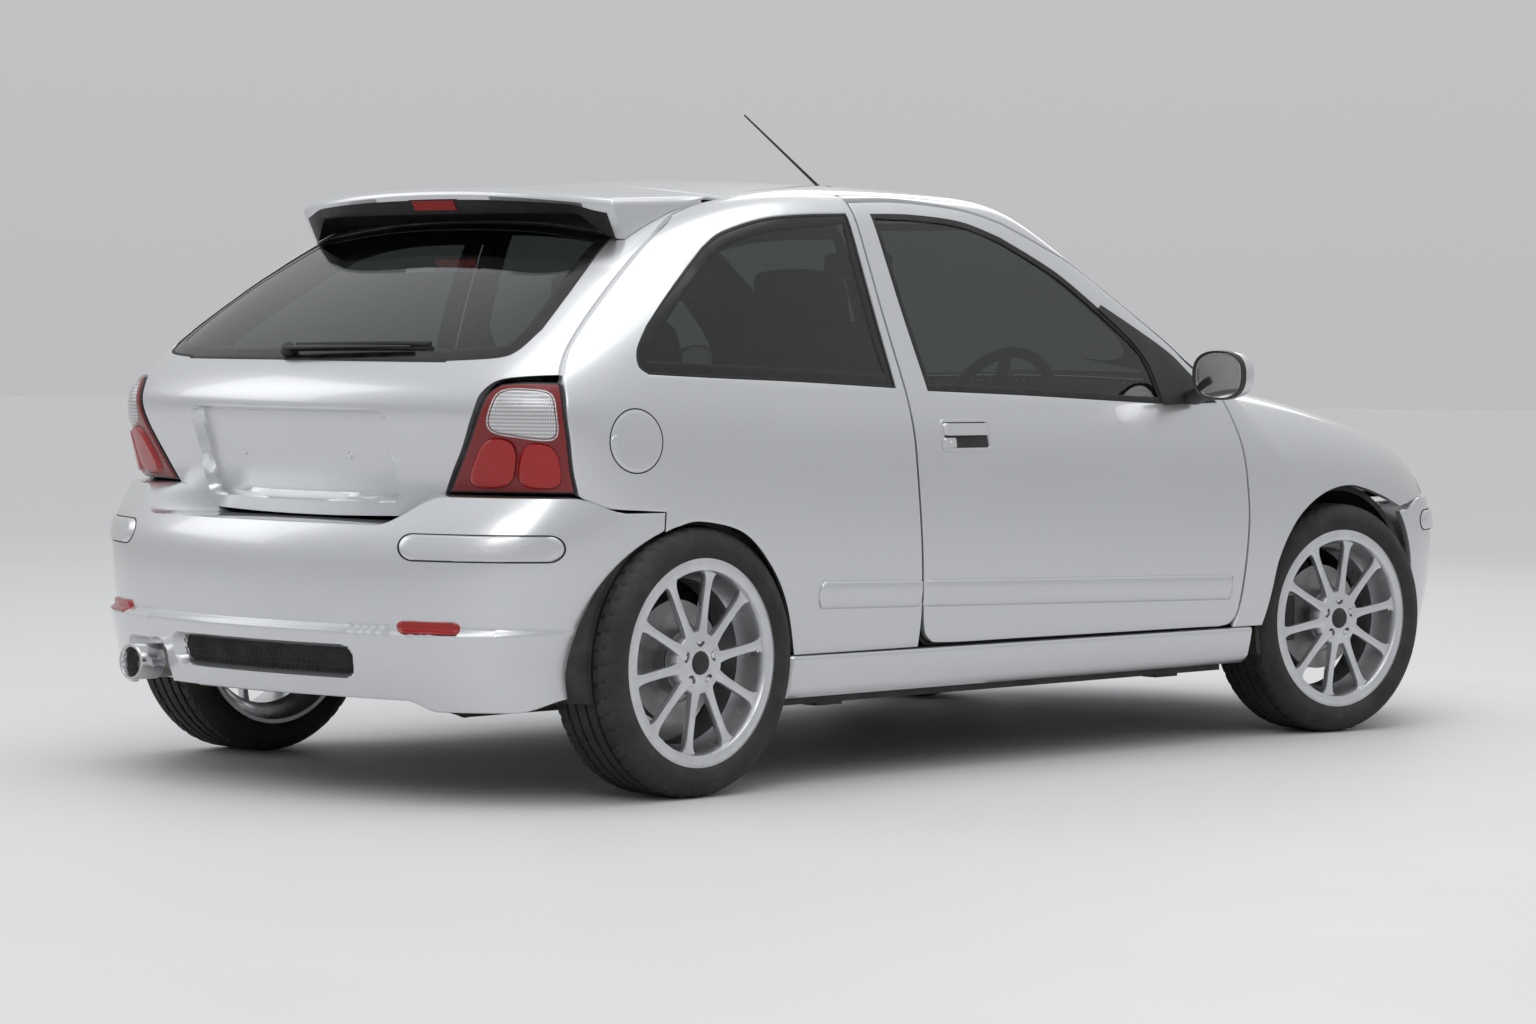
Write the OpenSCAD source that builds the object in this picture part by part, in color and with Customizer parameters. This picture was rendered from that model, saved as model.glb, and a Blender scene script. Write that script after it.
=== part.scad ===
// Three-door hatchback with a body kit, right-hand drive.
// Frame: +X forward, +Y to the car's left, +Z up. The origin is on the ground under the middle of the car.
// Outlines are drawn on a design car of fixed stations, then moved to the sizes set below.

/* [Body size] */
// Distance between the axles
wheelbase = 2507; // [2450:1:2570]
// From the rear axle to the rearmost point
rear_overhang = 690; // [670:1:720]
// From the front axle to the foremost point
front_overhang = 803; // [780:1:840]
// Width of the body without mirrors
body_width = 1690; // [1650:1:1740]
// Height of the roof above the ground
roof_height = 1437; // [1410:1:1480]

/* [Panels] */
// Gap round each panel that opens
shut_gap = 5; // [4:0.5:7]
// Gap between panels that are fixed to each other
seam_gap = 0.5; // [0.3:0.1:0.8]
// Thickness of a door, with its trim
door_thickness = 85; // [70:1:95]
// Thickness of a door's window frame
frame_thickness = 34; // [28:1:40]
// Thickness of the thin lip round a door
door_lip = 4; // [3:0.5:6]
// Thickness of the quarter panels and pillars
wall_thickness = 45; // [35:1:55]
// Thickness of the roof with its lining
roof_thickness = 22; // [16:1:30]
// Thickness of the bonnet with its frame
bonnet_thickness = 24; // [18:1:30]
// Thickness of the tailgate with its trim
tailgate_thickness = 42; // [34:1:50]
// Thickness of the wings
wing_thickness = 3; // [2.5:0.5:4]
// Thickness of the bumper skins
bumper_thickness = 18; // [12:1:24]
// Thickness of the window glass
glass_thickness = 5; // [4:0.5:6]

/* [Wheels] */
// Outer diameter of the tyres
tyre_diameter = 616; // [600:1:624]
// Width of the tyres
tyre_width = 205; // [185:1:211]
// Diameter of the rims at the bead seat
rim_diameter = 432; // [406:1:440]
// Distance between the middles of the left and right tyres
track = 1475; // [1460:1:1485]
// Number of spokes
spoke_count = 10; // [7:1:12]
// Thickness of a spoke
spoke_depth = 24; // [18:1:30]
// Diameter of the brake discs
disc_diameter = 280; // [250:1:300]
// Diameter of the wheel spindles
spindle_diameter = 36; // [30:1:40]
// Running clearance of pins and spindles, on the radius
running_clearance = 0.08; // [0.05:0.01:0.1]
// Angle of the front wheels at rest, to the left
rest_steer = -9.7; // [-12:0.1:12]

/* [Fittings] */
// Diameter of the tailpipe's end
tailpipe_diameter = 80; // [70:1:86]
// Wall of the tailpipe's end
tailpipe_wall = 2; // [1.5:0.5:3]
// Distance between the two number plate screws
plate_screw_spacing = 370; // [280:1:400]
// Diameter of the number plate screw holes
plate_screw_diameter = 6; // [5:0.5:8]
// Diameter of the steering wheel
steering_wheel_diameter = 370; // [350:1:385]
// Thickness of the steering wheel's rim
steering_wheel_grip = 30; // [26:1:34]
// Length of the roof aerial
aerial_length = 376; // [300:1:400]
// Diameter of the fuel flap
fuel_flap_diameter = 145; // [130:1:150]
// Diameter of the hinge pins
hinge_pin_diameter = 12; // [10:1:14]

/* [Hidden] */
$fn = 48;

paint = [0.66, 0.68, 0.70];
black = [0.06, 0.06, 0.065];
dark_glass = [0.10, 0.12, 0.13, 0.6];
steel = [0.45, 0.45, 0.46];
lamp_red = [0.45, 0.03, 0.04];
clear_lens = [0.85, 0.87, 0.9, 0.7];

// Stations of the design car and where the set sizes put them
design_width = 1690;
design_belt = 905;
design_roof = 1437;
design_tail = -2000;
design_nose = 2000;
design_rear_axle = -1310;
design_front_axle = 1197;
beyond = 1000;
tail = -(wheelbase + rear_overhang + front_overhang)/2;
nose = -tail;
rear_axle_x = tail + rear_overhang;
front_axle_x = rear_axle_x + wheelbase;
axle_z = tyre_diameter/2;
x_stations = [
  [design_tail - beyond, tail - beyond],
  [design_tail, tail],
  [design_rear_axle, rear_axle_x],
  [design_front_axle, front_axle_x],
  [design_nose, nose],
  [design_nose + beyond, nose + beyond]
];
z_stations = [
  [-beyond, -beyond],
  [design_belt, design_belt],
  [design_roof, roof_height],
  [design_roof + beyond, roof_height + beyond]
];
function sx(x) = lookup(x, x_stations);
function sy(y) = y*body_width/design_width;
function sz(z) = lookup(z, z_stations);
function st(p) = [sx(p.x), sy(p.y), sz(p.z)];

// Small helpers
function clamp(v, lo, hi) = max(lo, min(hi, v));
function mix(a, b, s) = a + (b - a)*s;
function ease(lo, hi, v) = let (s = clamp((v - lo)/(hi - lo), 0, 1)) s*s*(3 - 2*s);
function flip(p) = [p.x, -p.y, p.z];
function backwards(list) = [for (i = [len(list) - 1:-1:0]) list[i]];
function blend_max(a, b, r) = let (h = max(r - abs(a - b), 0)/r) max(a, b) + h*h*h*r/6;

// Smooth profile through evenly spaced control values
function knot(c, i) =
  i < 0 ? 2*c[0] - c[1] :
  i >= len(c) ? 2*c[len(c) - 1] - c[len(c) - 2] : c[i];
function profile(c, start, step, t) =
  let (
    s = clamp((t - start)/step, 0, len(c) - 1.000001),
    i = floor(s),
    f = s - i
  )
  (pow(1 - f, 3)*knot(c, i - 1) + (3*f*f*f - 6*f*f + 4)*knot(c, i)
    + (3*f + 3*f*f - 3*f*f*f + 1)*knot(c, i + 1) + f*f*f*knot(c, i + 2))/6;

// Smooth curve through a few points, in n steps
function on_curve(p, t) =
  let (
    i = min(floor(t), len(p) - 2),
    f = t - i,
    a = p[max(i - 1, 0)],
    b = p[i],
    c = p[i + 1],
    d = p[min(i + 2, len(p) - 1)]
  )
  0.5*(2*b + (c - a)*f + (2*a - 5*b + 4*c - d)*f*f + (3*b - a - 3*c + d)*f*f*f);
function curve(p, n) = [for (k = [0:n]) on_curve(p, k*(len(p) - 1)/n)];
function open_end(c) = [for (k = [0:len(c) - 2]) c[k]];

// The body's surface: negative inside, zero on the skin
side_profile = [790, 812, 829, 840, 845, 845, 838, 806, 768, 731, 692, 651, 608, 560];
rear_profile = [-1755, -1780, -1820, -1848, -1885, -1790, -1652, -1508, -1366, -1222, -1075];
nose_profile = [1955, 1975, 1975, 1960, 1930, 1890, 1840];
rear_bumper_profile = [-1925, -1962, -1976, -1984, -1976, -1890];
front_bumper_profile = [1950, 1978, 1994, 1996, 1976, 1900];
bumper_ledge = 24;
bumper_ledge_z = 388;
profile_step = 100;
function belt(x) = design_belt - 0.038*x + 0.00001*x*x;
function taper(x) = 52*pow(max(-600 - x, 0)/1000, 3) + 42*pow(max(x - 500, 0)/1000, 3);
function half_width(x, z) = profile(side_profile, -700, profile_step, z - belt(x)) - taper(x);
function roof_z(x, y) =
  let (u = (x + 420)/1000)
  design_roof - 52*u*u - 14*pow(max(u, 0), 3) - 112*y*y/1e6;
function screen_x(y, z) = 895 - (z - 930)*1.7 - 0.0003*y*y;
function bonnet_z(x, y) = let (u = (x - 700)/1000) 978 - 95*u - 95*u*u - 0.00008*y*y;
function ledge(z) = bumper_ledge*(1 - ease(bumper_ledge_z - 8, bumper_ledge_z + 8, z));
function body_depth(p) =
  let (
    side = abs(p.y) - half_width(p.x, p.z),
    rear = profile(rear_profile, 500, profile_step, p.z) + 0.00022*p.y*p.y - p.x,
    front = p.x - profile(nose_profile, 200, profile_step, p.z) + 0.0003*p.y*p.y,
    low = blend_max(side, blend_max(front, p.z - bonnet_z(p.x, p.y), 300), 260),
    screen = (p.x - screen_x(p.y, p.z))*0.55,
    high = blend_max(side, blend_max(screen, p.z - roof_z(p.x, p.y), 100), 100)
  )
  blend_max(min(low, high), rear*0.8, 230 + 190*clamp((p.z - 900)/300, 0, 1));
function rear_bumper_depth(p) =
  let (rear = profile(rear_bumper_profile, 200, profile_step, p.z) - ledge(p.z) - p.x)
  blend_max(abs(p.y) - half_width(p.x, p.z), rear + 0.0003*p.y*p.y, 300);
function front_bumper_depth(p) =
  let (front = p.x - profile(front_bumper_profile, 200, profile_step, p.z))
  blend_max(abs(p.y) - half_width(p.x, p.z), front + 0.00034*p.y*p.y, 320);
function depth_of(kind, p) =
  kind == "rear_bumper" ? rear_bumper_depth(p) :
  kind == "front_bumper" ? front_bumper_depth(p) : body_depth(p);

// Where the lines of sight start that carry an outline onto the skin
function foot(p, way) =
  way == "side" ? [p.x, 0, p.z] :
  way == "top" ? [p.x, p.y, 600] :
  way == "flank" ? [p.x, 250*sign(p.y), 800] :
  way == "wing" ? [p.x, 350*sign(p.y), 550] :
  way == "pillar" ? [p.x, 300*sign(p.y), 1000] :
  way == "tail" ? [-800, p.y, 900] :
  way == "screen" ? [200, p.y, 800] :
  way == "rear_corner" ? [-1400, 0, p.z] : [1300, 0, p.z];
function reach(kind, c, d, inset, lo, hi, n) =
  n == 0 ? (lo + hi)/2 :
  let (m = (lo + hi)/2)
  depth_of(kind, c + d*m) > -inset
    ? reach(kind, c, d, inset, lo, m, n - 1)
    : reach(kind, c, d, inset, m, hi, n - 1);
function skin(p, way, inset = 0, kind = "body") =
  let (c = foot(p, way), d = (p - c)/norm(p - c))
  c + d*reach(kind, c, d, inset, 0, 1600, 16);
function side_points(list) = [for (p = list) skin([p[0], -800, p[1]], "side")];

// Nets of points: a four-sided patch between its edges, and a ring between two loops
function patch(bottom, top, left, right) =
  let (n = len(bottom) - 1, m = len(left) - 1)
  [for (j = [0:m]) [for (i = [0:n])
    let (u = i/n, v = j/m)
    mix(bottom[i], top[i], v) + mix(left[j], right[j], u)
      - mix(mix(bottom[0], bottom[n], u), mix(top[0], top[n], u), v)]];
function ring(outer, inner, cuts) =
  [for (s = cuts) [for (i = [0:len(outer) - 1]) mix(outer[i], inner[i], s)]];
function line(a, b, n) = [for (k = [0:n]) mix(a, b, k/n)];

// Closed solid between an outer net of points and an inner one
module shell(outer, inner, closed) {
  rows = len(outer);
  cols = len(outer[0]);
  last = closed ? cols - 1 : cols - 2;
  jm = floor((rows - 1)/2);
  im = floor((cols - 1)/2);
  facing = cross(outer[jm][im + 1] - outer[jm][im], outer[jm + 1][im] - outer[jm][im])
    *(outer[jm][im] - inner[jm][im]);
  points = concat([for (r = outer) each r], [for (r = inner) each r]);
  function id(j, i, side) = side*rows*cols + j*cols + i%cols;
  skins = [for (j = [0:rows - 2]) for (i = [0:last]) for (s = [0, 1])
    let (a = id(j, i, s), b = id(j, i + 1, s), c = id(j + 1, i + 1, s), d = id(j + 1, i, s))
    each s == 0 ? [[a, b, c], [a, c, d]] : [[a, c, b], [a, d, c]]];
  rims = [for (i = [0:last]) for (j = [0, rows - 1])
    let (a = id(j, i, 0), b = id(j, i + 1, 0), c = id(j, i + 1, 1), d = id(j, i, 1))
    each j == 0 ? [[b, a, d], [b, d, c]] : [[a, b, c], [a, c, d]]];
  ends = closed ? [] : [for (j = [0:rows - 2]) for (i = [0, cols - 1])
    let (a = id(j, i, 0), b = id(j + 1, i, 0), c = id(j + 1, i, 1), d = id(j, i, 1))
    each i == 0 ? [[a, b, c], [a, c, d]] : [[b, a, d], [b, d, c]]];
  faces = concat(skins, rims, ends);
  polyhedron(points, facing > 0 ? [for (f = faces) backwards(f)] : faces);
}

// Panel that follows the skin, from top to inset deep; deep is a depth or a function of point, row, column.
// The inner face stops short of the outer edges by tuck, so that neighbours do not meet below the skin.
module panel(net, way, deep, top = 0, closed = false, kind = "body", tuck = 0) {
  m = len(net) - 1;
  n = len(net[0]) - 1;
  function pulled(j, i) =
    let (
      a = j == 0 ? 1 : j == m && !closed ? m - 1 : j,
      b = closed ? i : i == 0 ? 1 : i == n ? n - 1 : i,
      p = net[j][i],
      d = norm(net[a][b] - p)
    )
    tuck == 0 || d == 0 ? p : mix(p, net[a][b], min(tuck/d, 0.8));
  outer = [for (r = net) [for (p = r) st(skin(p, way, top, kind))]];
  inner = [for (j = [0:m]) [for (i = [0:n])
    st(skin(pulled(j, i), way, top + (is_num(deep) ? deep : deep(net[j][i], j, i)), kind))]];
  shell(outer, inner, closed);
}
module both_sides() {
  children();
  mirror([0, 1, 0]) children();
}
module on_left() {
  mirror([0, 1, 0]) children();
}

// Outlines of the right side, seen from the side as [x, z]
door_rear_top = [-602, 1372];
door_rear_belt = [-594, 922];
door_front_belt = [656, 914];
door_front_top = [-48, 1336];
door_rear_line = [door_rear_top, [-604, 1139], door_rear_belt];
door_low_line = [
  door_rear_belt, [-588, 735], [-560, 520], [-535, 373], [-505, 326], [-440, 315], [-150, 313], [200, 311],
  [560, 309], [655, 309], [697, 323], [716, 374], [727, 560], [720, 662], [699, 792], door_front_belt
];
door_pillar_line = [door_front_belt, [556, 994], [487, 1056], [231, 1221], [86, 1284], door_front_top];
door_top_line = [door_front_top, [-185, 1365], [-401, 1378], door_rear_top];
window_rear_line = [[-544, 1347], [-537, 1140], [-516, 922]];
window_belt_line = [[-516, 922], [-168, 911], [146, 898], [411, 887]];
window_pillar_line = [[411, 887], [393, 986], [341, 1055], [157, 1190], [61, 1243], [-71, 1301]];
window_top_line = [[-71, 1301], [-208, 1337], [-392, 1349], [-544, 1347]];
rear_steps = 4;
low_steps = 26;
pillar_steps = 8;
top_steps = 4;
function loop_of(a, b, c, d) = concat(
  open_end(curve(a, rear_steps)), open_end(curve(b, low_steps)),
  open_end(curve(c, pillar_steps)), open_end(curve(d, top_steps)));
door_loop = loop_of(door_rear_line, door_low_line, door_pillar_line, door_top_line);
window_loop = loop_of(window_rear_line, window_belt_line, window_pillar_line, window_top_line);

door_gap = shut_gap + 1.8;
quarter_seam_x = door_rear_top[0] - door_gap;
quarter_front_line = [
  [quarter_seam_x, 1386], [-604 - door_gap, 1139], door_rear_belt - [door_gap, 0]
];
quarter_sill_z = 308;
arch_rear_top = axle_z + 320;
quarter_post_line = [
  door_rear_belt - [door_gap, 0], [-588 - door_gap, 735], [-560 - door_gap, 520], [-540 - door_gap, 385],
  [-536 - door_gap, quarter_sill_z]
];
quarter_foot = [-972, quarter_sill_z];
quarter_arch_line = [
  quarter_foot, [-1020, 428], [-1085, 522], [-1180, 600], [-1310, arch_rear_top], [-1380, 618], [-1415, 606]
];
quarter_joint_line = [[-1415, 652], [-1490, 656], [-1564, 661], [-1609, 675], [-1632, 690]];
quarter_lamp_line = [[-1632, 690], [-1648, 744], [-1659, 807], [-1668, 880], [-1655, 948]];
quarter_tail_line = [
  [-1655, 948], [-1614, 1002], [-1555, 1054], [-1464, 1122], [-1357, 1197], [-1251, 1268], [-1134, 1329]
];
ditch_rear = [-1010, -545, 1372];
ditch_front = [quarter_seam_x, -590, 1392];
quarter_window_front = [[-632, 1347], [-636, 1138], [-631, 929]];
quarter_window_low = [[-631, 929], [-976, 944], [-1225, 952], [-1440, 960]];
quarter_window_arc = [[-1440, 960], [-1463, 978], [-1452, 1017], [-1402, 1069]];
quarter_window_tail = [[-1402, 1069], [-1322, 1131], [-1235, 1193], [-1152, 1252]];
quarter_window_top = [[-1152, 1252], [-1078, 1290], [-946, 1324], [-810, 1339], [-632, 1347]];
quarter_steps = [3, 28, 4, 5, 4];
quarter_tail_end = [-1134, -548, 1329];
quarter_low = concat(
  open_end(curve(quarter_post_line, 8)), open_end(line(quarter_post_line[4], quarter_foot, 5)),
  curve(quarter_arch_line, 9), open_end(curve(quarter_joint_line, 5)));
quarter_loop = concat(
  open_end(side_points(curve(quarter_front_line, quarter_steps[0]))),
  side_points(quarter_low),
  open_end(side_points(curve(quarter_lamp_line, quarter_steps[2]))),
  open_end(side_points(curve(quarter_tail_line, quarter_steps[3]))),
  open_end(curve([quarter_tail_end, ditch_rear, [-850, -572, 1384], ditch_front], quarter_steps[4])));
quarter_window_loop = side_points(concat(
  open_end(curve(quarter_window_front, quarter_steps[0])),
  open_end(curve(quarter_window_low, quarter_steps[1])),
  open_end(curve(quarter_window_arc, quarter_steps[2])),
  open_end(curve(quarter_window_tail, quarter_steps[3])),
  open_end(curve(quarter_window_top, quarter_steps[4]))));

// Depth of a door below its skin: a thin lip, then the frame above the belt and the whole door below it
door_cuts = [0, 0.05, 0.13, 0.32, 0.56, 0.8, 1];
door_lip_width = 14;
door_step_width = 60;
frame_step_width = 14;
door_box_front = 600;
function door_deep(p, j, i) =
  let (
    span = norm(door_loop[i] - window_loop[i]),
    d = span*door_cuts[j],
    above = ease(0, 60, p.z - belt(p.x)),
    full = mix(door_thickness, frame_thickness, above),
    inside = ease(mix(door_lip_width, 2, above), mix(door_step_width, frame_step_width, above), d)
  )
  mix(door_lip, full, min(inside, max(above, ease(door_box_front, door_box_front - 30, p.x))));

// Door hinges: a pin on the body in a sleeve on the door
hinge_x = 682;
hinge_y = -819;
hinge_heights = [430, 760];
hinge_sleeve_height = 50;
hinge_pin_radius = hinge_pin_diameter/2;
hinge_sleeve_radius = hinge_pin_radius + 4;
hinge_leaf_thickness = 16;
post_y = -728;
hinge_leaf_length = 66;
leaf_clear = 1.2;
module door_sleeves() {
  half = hinge_sleeve_height/2;
  for (z = hinge_heights)
    difference() {
      union() {
        translate([sx(hinge_x), sy(hinge_y), z])
          cylinder(h = hinge_sleeve_height, r = hinge_sleeve_radius, center = true);
        panel([for (h = [z - half, z + half])
          [for (x = [hinge_x - hinge_leaf_length, hinge_x]) [x, -800, h]]],
          "side", hinge_leaf_thickness, top = door_lip + leaf_clear);
      }
      translate([sx(hinge_x), sy(hinge_y), z])
        cylinder(h = hinge_sleeve_height + 2, r = hinge_pin_radius + running_clearance, center = true);
    }
}
module door_pins() {
  arm = 10;
  for (z = hinge_heights)
    translate([sx(hinge_x), sy(hinge_y), z])
      union() {
        cylinder(h = hinge_sleeve_height + 2*arm + 1, r = hinge_pin_radius, center = true);
        for (s = [-1, 1])
          translate([-hinge_pin_radius, 0, s*(hinge_sleeve_height/2 + arm/2 + 0.5) - arm/2])
            cube([2*hinge_pin_radius, sy(post_y) - sy(hinge_y), arm]);
      }
}
module door() {
  loop = [for (p = door_loop) [p[0], -800, p[1]]];
  window = [for (p = window_loop) [p[0], -800, p[1]]];
  panel(ring(loop, window, door_cuts), "side", function(p, j, i) door_deep(p, j, i), closed = true);
  door_sleeves();
}
module door_right() {
  color(paint) door();
}
module door_left() {
  color(paint) on_left() door();
}

// Glass that fills a window loop, set in by the depth of its seal
glass_inset = 4;
function loop_middle(loop) = [for (k = [0:2]) min([for (p = loop) p[k]])/2 + max([for (p = loop) p[k]])/2];
function shrunk(loop, by) =
  let (m = loop_middle(loop))
  [for (p = loop) p - by*(p - m)/norm(p - m)];
module loop_glass(loop, way) {
  edge = shrunk(loop, seam_gap + 0.2);
  m = loop_middle(loop);
  middle = [for (p = edge) mix(m, p, 0.02)];
  outer = [for (r = ring(edge, middle, [0, 0.5, 1])) [for (p = r) skin(p, way, glass_inset)]];
  inner = [for (r = ring(edge, middle, [0, 0.5, 1]))
    [for (p = r) skin(p, way, glass_inset + glass_thickness)]];
  cap_shell(outer, inner);
}

// Closed solid of rings whose last ring shrinks to a point
module cap_shell(outer, inner) {
  n = len(outer[0]);
  rows = len(outer) - 1;
  points = concat(
    [for (j = [0:rows - 1]) each [for (p = outer[j]) st(p)]],
    [for (j = [0:rows - 1]) each [for (p = inner[j]) st(p)]],
    [st(outer[rows][0]), st(inner[rows][0])]);
  size = n*rows;
  facing = cross(points[1] - points[0], points[n] - points[0])*(points[0] - points[size]);
  function id(j, i, s) = s*size + j*n + i%n;
  skins = [for (j = [0:1:rows - 2]) for (i = [0:n - 1]) for (s = [0, 1])
    let (a = id(j, i, s), b = id(j, i + 1, s), c = id(j + 1, i + 1, s), d = id(j + 1, i, s))
    each s == 0 ? [[a, b, c], [a, c, d]] : [[a, c, b], [a, d, c]]];
  tips = [for (i = [0:n - 1]) for (s = [0, 1])
    let (a = id(rows - 1, i, s), b = id(rows - 1, i + 1, s), c = 2*size + s)
    s == 0 ? [a, b, c] : [b, a, c]];
  edges = [for (i = [0:n - 1])
    let (a = id(0, i, 0), b = id(0, i + 1, 0), c = id(0, i + 1, 1), d = id(0, i, 1))
    each [[b, a, d], [b, d, c]]];
  faces = concat(skins, tips, edges);
  polyhedron(points, facing > 0 ? [for (f = faces) backwards(f)] : faces);
}
module door_pane() {
  loop_glass([for (p = window_loop) skin([p[0], -800, p[1]], "side")], "side");
}
module door_glass_right() {
  color(dark_glass) door_pane();
}
module door_glass_left() {
  color(dark_glass) on_left() door_pane();
}
module quarter_glass() {
  color(dark_glass) both_sides() loop_glass(quarter_window_loop, "flank");
}

// Quarter panels: side wall behind the doors, round the quarter windows
quarter_cuts = [0, 0.14, 0.45, 0.8, 1];
quarter_depths = [6, 14, 60, 60, 60];
module quarter_panels() {
  color(paint)
    both_sides()
      panel(ring(quarter_loop, quarter_window_loop, quarter_cuts), "flank",
        function(p, j, i) min(wall_thickness, quarter_depths[j]), closed = true, tuck = wall_thickness);
}

// Windscreen pillars and the rails over the doors
screen_base_corner = [742, -690, 935];
screen_top_corner = [58, -588, 1364];
pillar_low = side_points(concat(
  open_end(curve([[657, 934], [561, 1000], [491, 1062], [235, 1227], [89, 1290], [-46, 1342]], 10)),
  curve([[-46, 1342], [-184, 1372], [-401, 1388], [quarter_seam_x + seam_gap, 1382]], 6)));
screen_side = [for (p = curve([screen_base_corner, [570, -665, 1045], [400, -640, 1150], [230, -614, 1257],
  [120, -598, 1325], screen_top_corner], 10)) skin(p, "pillar")];
roof_side = [for (p = curve([screen_top_corner, [-150, -591, 1392], [-400, -591, 1397],
  [quarter_seam_x + seam_gap, -590, 1392]], 6)) skin(p, "pillar")];
pillar_high = concat(open_end(screen_side), roof_side);
pillar_depths = [12, 22, 18, 4.5];
pillar_tuck = 10;
module pillars() {
  left = line(pillar_low[0], pillar_high[0], 3);
  right = line(pillar_low[16], pillar_high[16], 3);
  color(paint)
    both_sides()
      panel(patch(pillar_low, pillar_high, left, right), "pillar",
        function(p, j, i)
          let (wide = norm(pillar_high[i] - pillar_low[i]))
          min(0.4*wide, pillar_depths[j], 2.5 + 4*i), tuck = pillar_tuck);
}

// Roof between the ditches
roof_rear_x = -946;
roof_front_x = 112;
roof_steps = 8;
module roof_panel() {
  ditch = curve([ditch_front, [-850, -572, 1384], [roof_rear_x, -556, 1377]], 4);
  right = [for (p = concat(open_end(roof_side), ditch)) p + [0, seam_gap + 1.8, 0]];
  left = [for (p = right) flip(p)];
  front = curve([right[0], [roof_front_x - 12, -300, 1400], [roof_front_x, 0, 1400],
    [roof_front_x - 12, 300, 1400], left[0]], roof_steps);
  rear = curve([right[10], [roof_rear_x, -280, 1400], [roof_rear_x, 0, 1420],
    [roof_rear_x, 280, 1400], left[10]], roof_steps);
  color(paint) {
    panel(patch(front, rear, right, left), "top", roof_thickness, tuck = roof_thickness + 4);
    both_sides() tail_ears();
  }
}

// Windscreen and the cowl below it
screen_steps = 8;
cowl_width = 70;
cowl_thickness = 12;
cowl_drop = 8;
function screen_base(y, ahead) = [885 - 0.0003*y*y + ahead, y, 935];
function across(half, n) = [for (k = [0:n]) mix(-half, half, k/n)];
screen_header = curve([screen_top_corner, [roof_front_x - 12, -300, 1400], [roof_front_x, 0, 1400],
  [roof_front_x - 12, 300, 1400], flip(screen_top_corner)], screen_steps);
module windscreen() {
  side = [for (p = screen_side) p + [0, seam_gap + 4 + 12*(1 - ease(930, 1060, p.z)), 0]];
  low = [for (y = across(-side[0].y, screen_steps)) skin(screen_base(y, 0), "top")];
  high = [for (p = screen_header) p + [seam_gap, 0, 0]];
  color(dark_glass)
    panel(patch(low, high, side, [for (p = side) flip(p)]), "screen", glass_thickness, top = glass_inset);
}
cowl_slot = [586, 640];
cowl_half = 684;
module cowl_piece(from, to, n) {
  rear = [for (y = line(from, to, n)) screen_base(y, seam_gap)];
  front = [for (y = line(from, to, n)) screen_base(y, cowl_width)];
  panel([rear, front], "top", cowl_thickness, top = cowl_drop);
}
module cowl() {
  color(black) {
    cowl_piece(-cowl_slot[0], cowl_slot[0], screen_steps);
    both_sides() cowl_piece(-cowl_half, -cowl_slot[1], 2);
  }
}

// Bonnet, hinged on two arms at the bulkhead
bonnet_half = 654;
bonnet_hinge_x = 770;
bonnet_hinge_z = 898;
bonnet_hinge_y = 610;
bonnet_arm_half = 6;
bonnet_pin_radius = 5;
bonnet_lip = 4;
bonnet_rear_corner = screen_base(-bonnet_half, cowl_width + shut_gap + 1);
bonnet_line = [
  bonnet_rear_corner, [1100, -648, 905], [1400, -620, 870], [1600, -580, 830], [1730, -520, 780]
];
bonnet_right = curve(bonnet_line, 10);
bonnet_nose = [[1800, -280, 790], [1818, 0, 790], [1800, 280, 790]];
bonnet_front = curve(concat([bonnet_line[4]], bonnet_nose, [flip(bonnet_line[4])]), 10);
bonnet_margin = shut_gap + 1.4;
lamp_margin = shut_gap + 4;
function beside_bonnet(t, margin = bonnet_margin) = skin(on_curve(bonnet_line, t) - [0, margin, 0], "top");
module bonnet_arm() {
  end = [905, -bonnet_hinge_y, 900];
  top = skin(end, "top", bonnet_thickness).z - 1;
  difference() {
    union() {
      translate([sx(bonnet_hinge_x), -sy(bonnet_hinge_y), bonnet_hinge_z])
        rotate([90, 0, 0])
          cylinder(h = 2*bonnet_arm_half, r = bonnet_pin_radius + 4, center = true);
      translate([sx(bonnet_hinge_x), -sy(bonnet_hinge_y) - bonnet_arm_half, top - 14])
        cube([sx(end.x) - sx(bonnet_hinge_x), 2*bonnet_arm_half, 14]);
    }
    translate([sx(bonnet_hinge_x), -sy(bonnet_hinge_y), bonnet_hinge_z])
      rotate([90, 0, 0])
        cylinder(h = 2*bonnet_arm_half + 2, r = bonnet_pin_radius + running_clearance, center = true);
  }
}
module bonnet_ears() {
  ear = 8;
  ear_low = 860;
  side_gap = bonnet_arm_half + 2;
  for (s = [-1, 1])
    translate([sx(700), -sy(bonnet_hinge_y) + s*(side_gap + ear/2) - ear/2, ear_low])
      cube([sx(bonnet_hinge_x) + bonnet_pin_radius + 3 - sx(700), ear,
        bonnet_hinge_z + bonnet_pin_radius + 2 - ear_low]);
  translate([sx(bonnet_hinge_x), -sy(bonnet_hinge_y), bonnet_hinge_z])
    rotate([90, 0, 0])
      cylinder(h = 2*(side_gap + ear), r = bonnet_pin_radius, center = true);
}
module bonnet() {
  left = [for (p = bonnet_right) flip(p)];
  rear = [for (y = across(bonnet_half, 10)) screen_base(y, cowl_width + shut_gap + 1)];
  color(paint) {
    panel(patch(rear, bonnet_front, bonnet_right, left), "top",
      function(p, j, i) mix(bonnet_thickness, bonnet_lip, ease(4, 7, j)), tuck = bonnet_thickness + 2);
    both_sides() bonnet_arm();
  }
}

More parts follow.
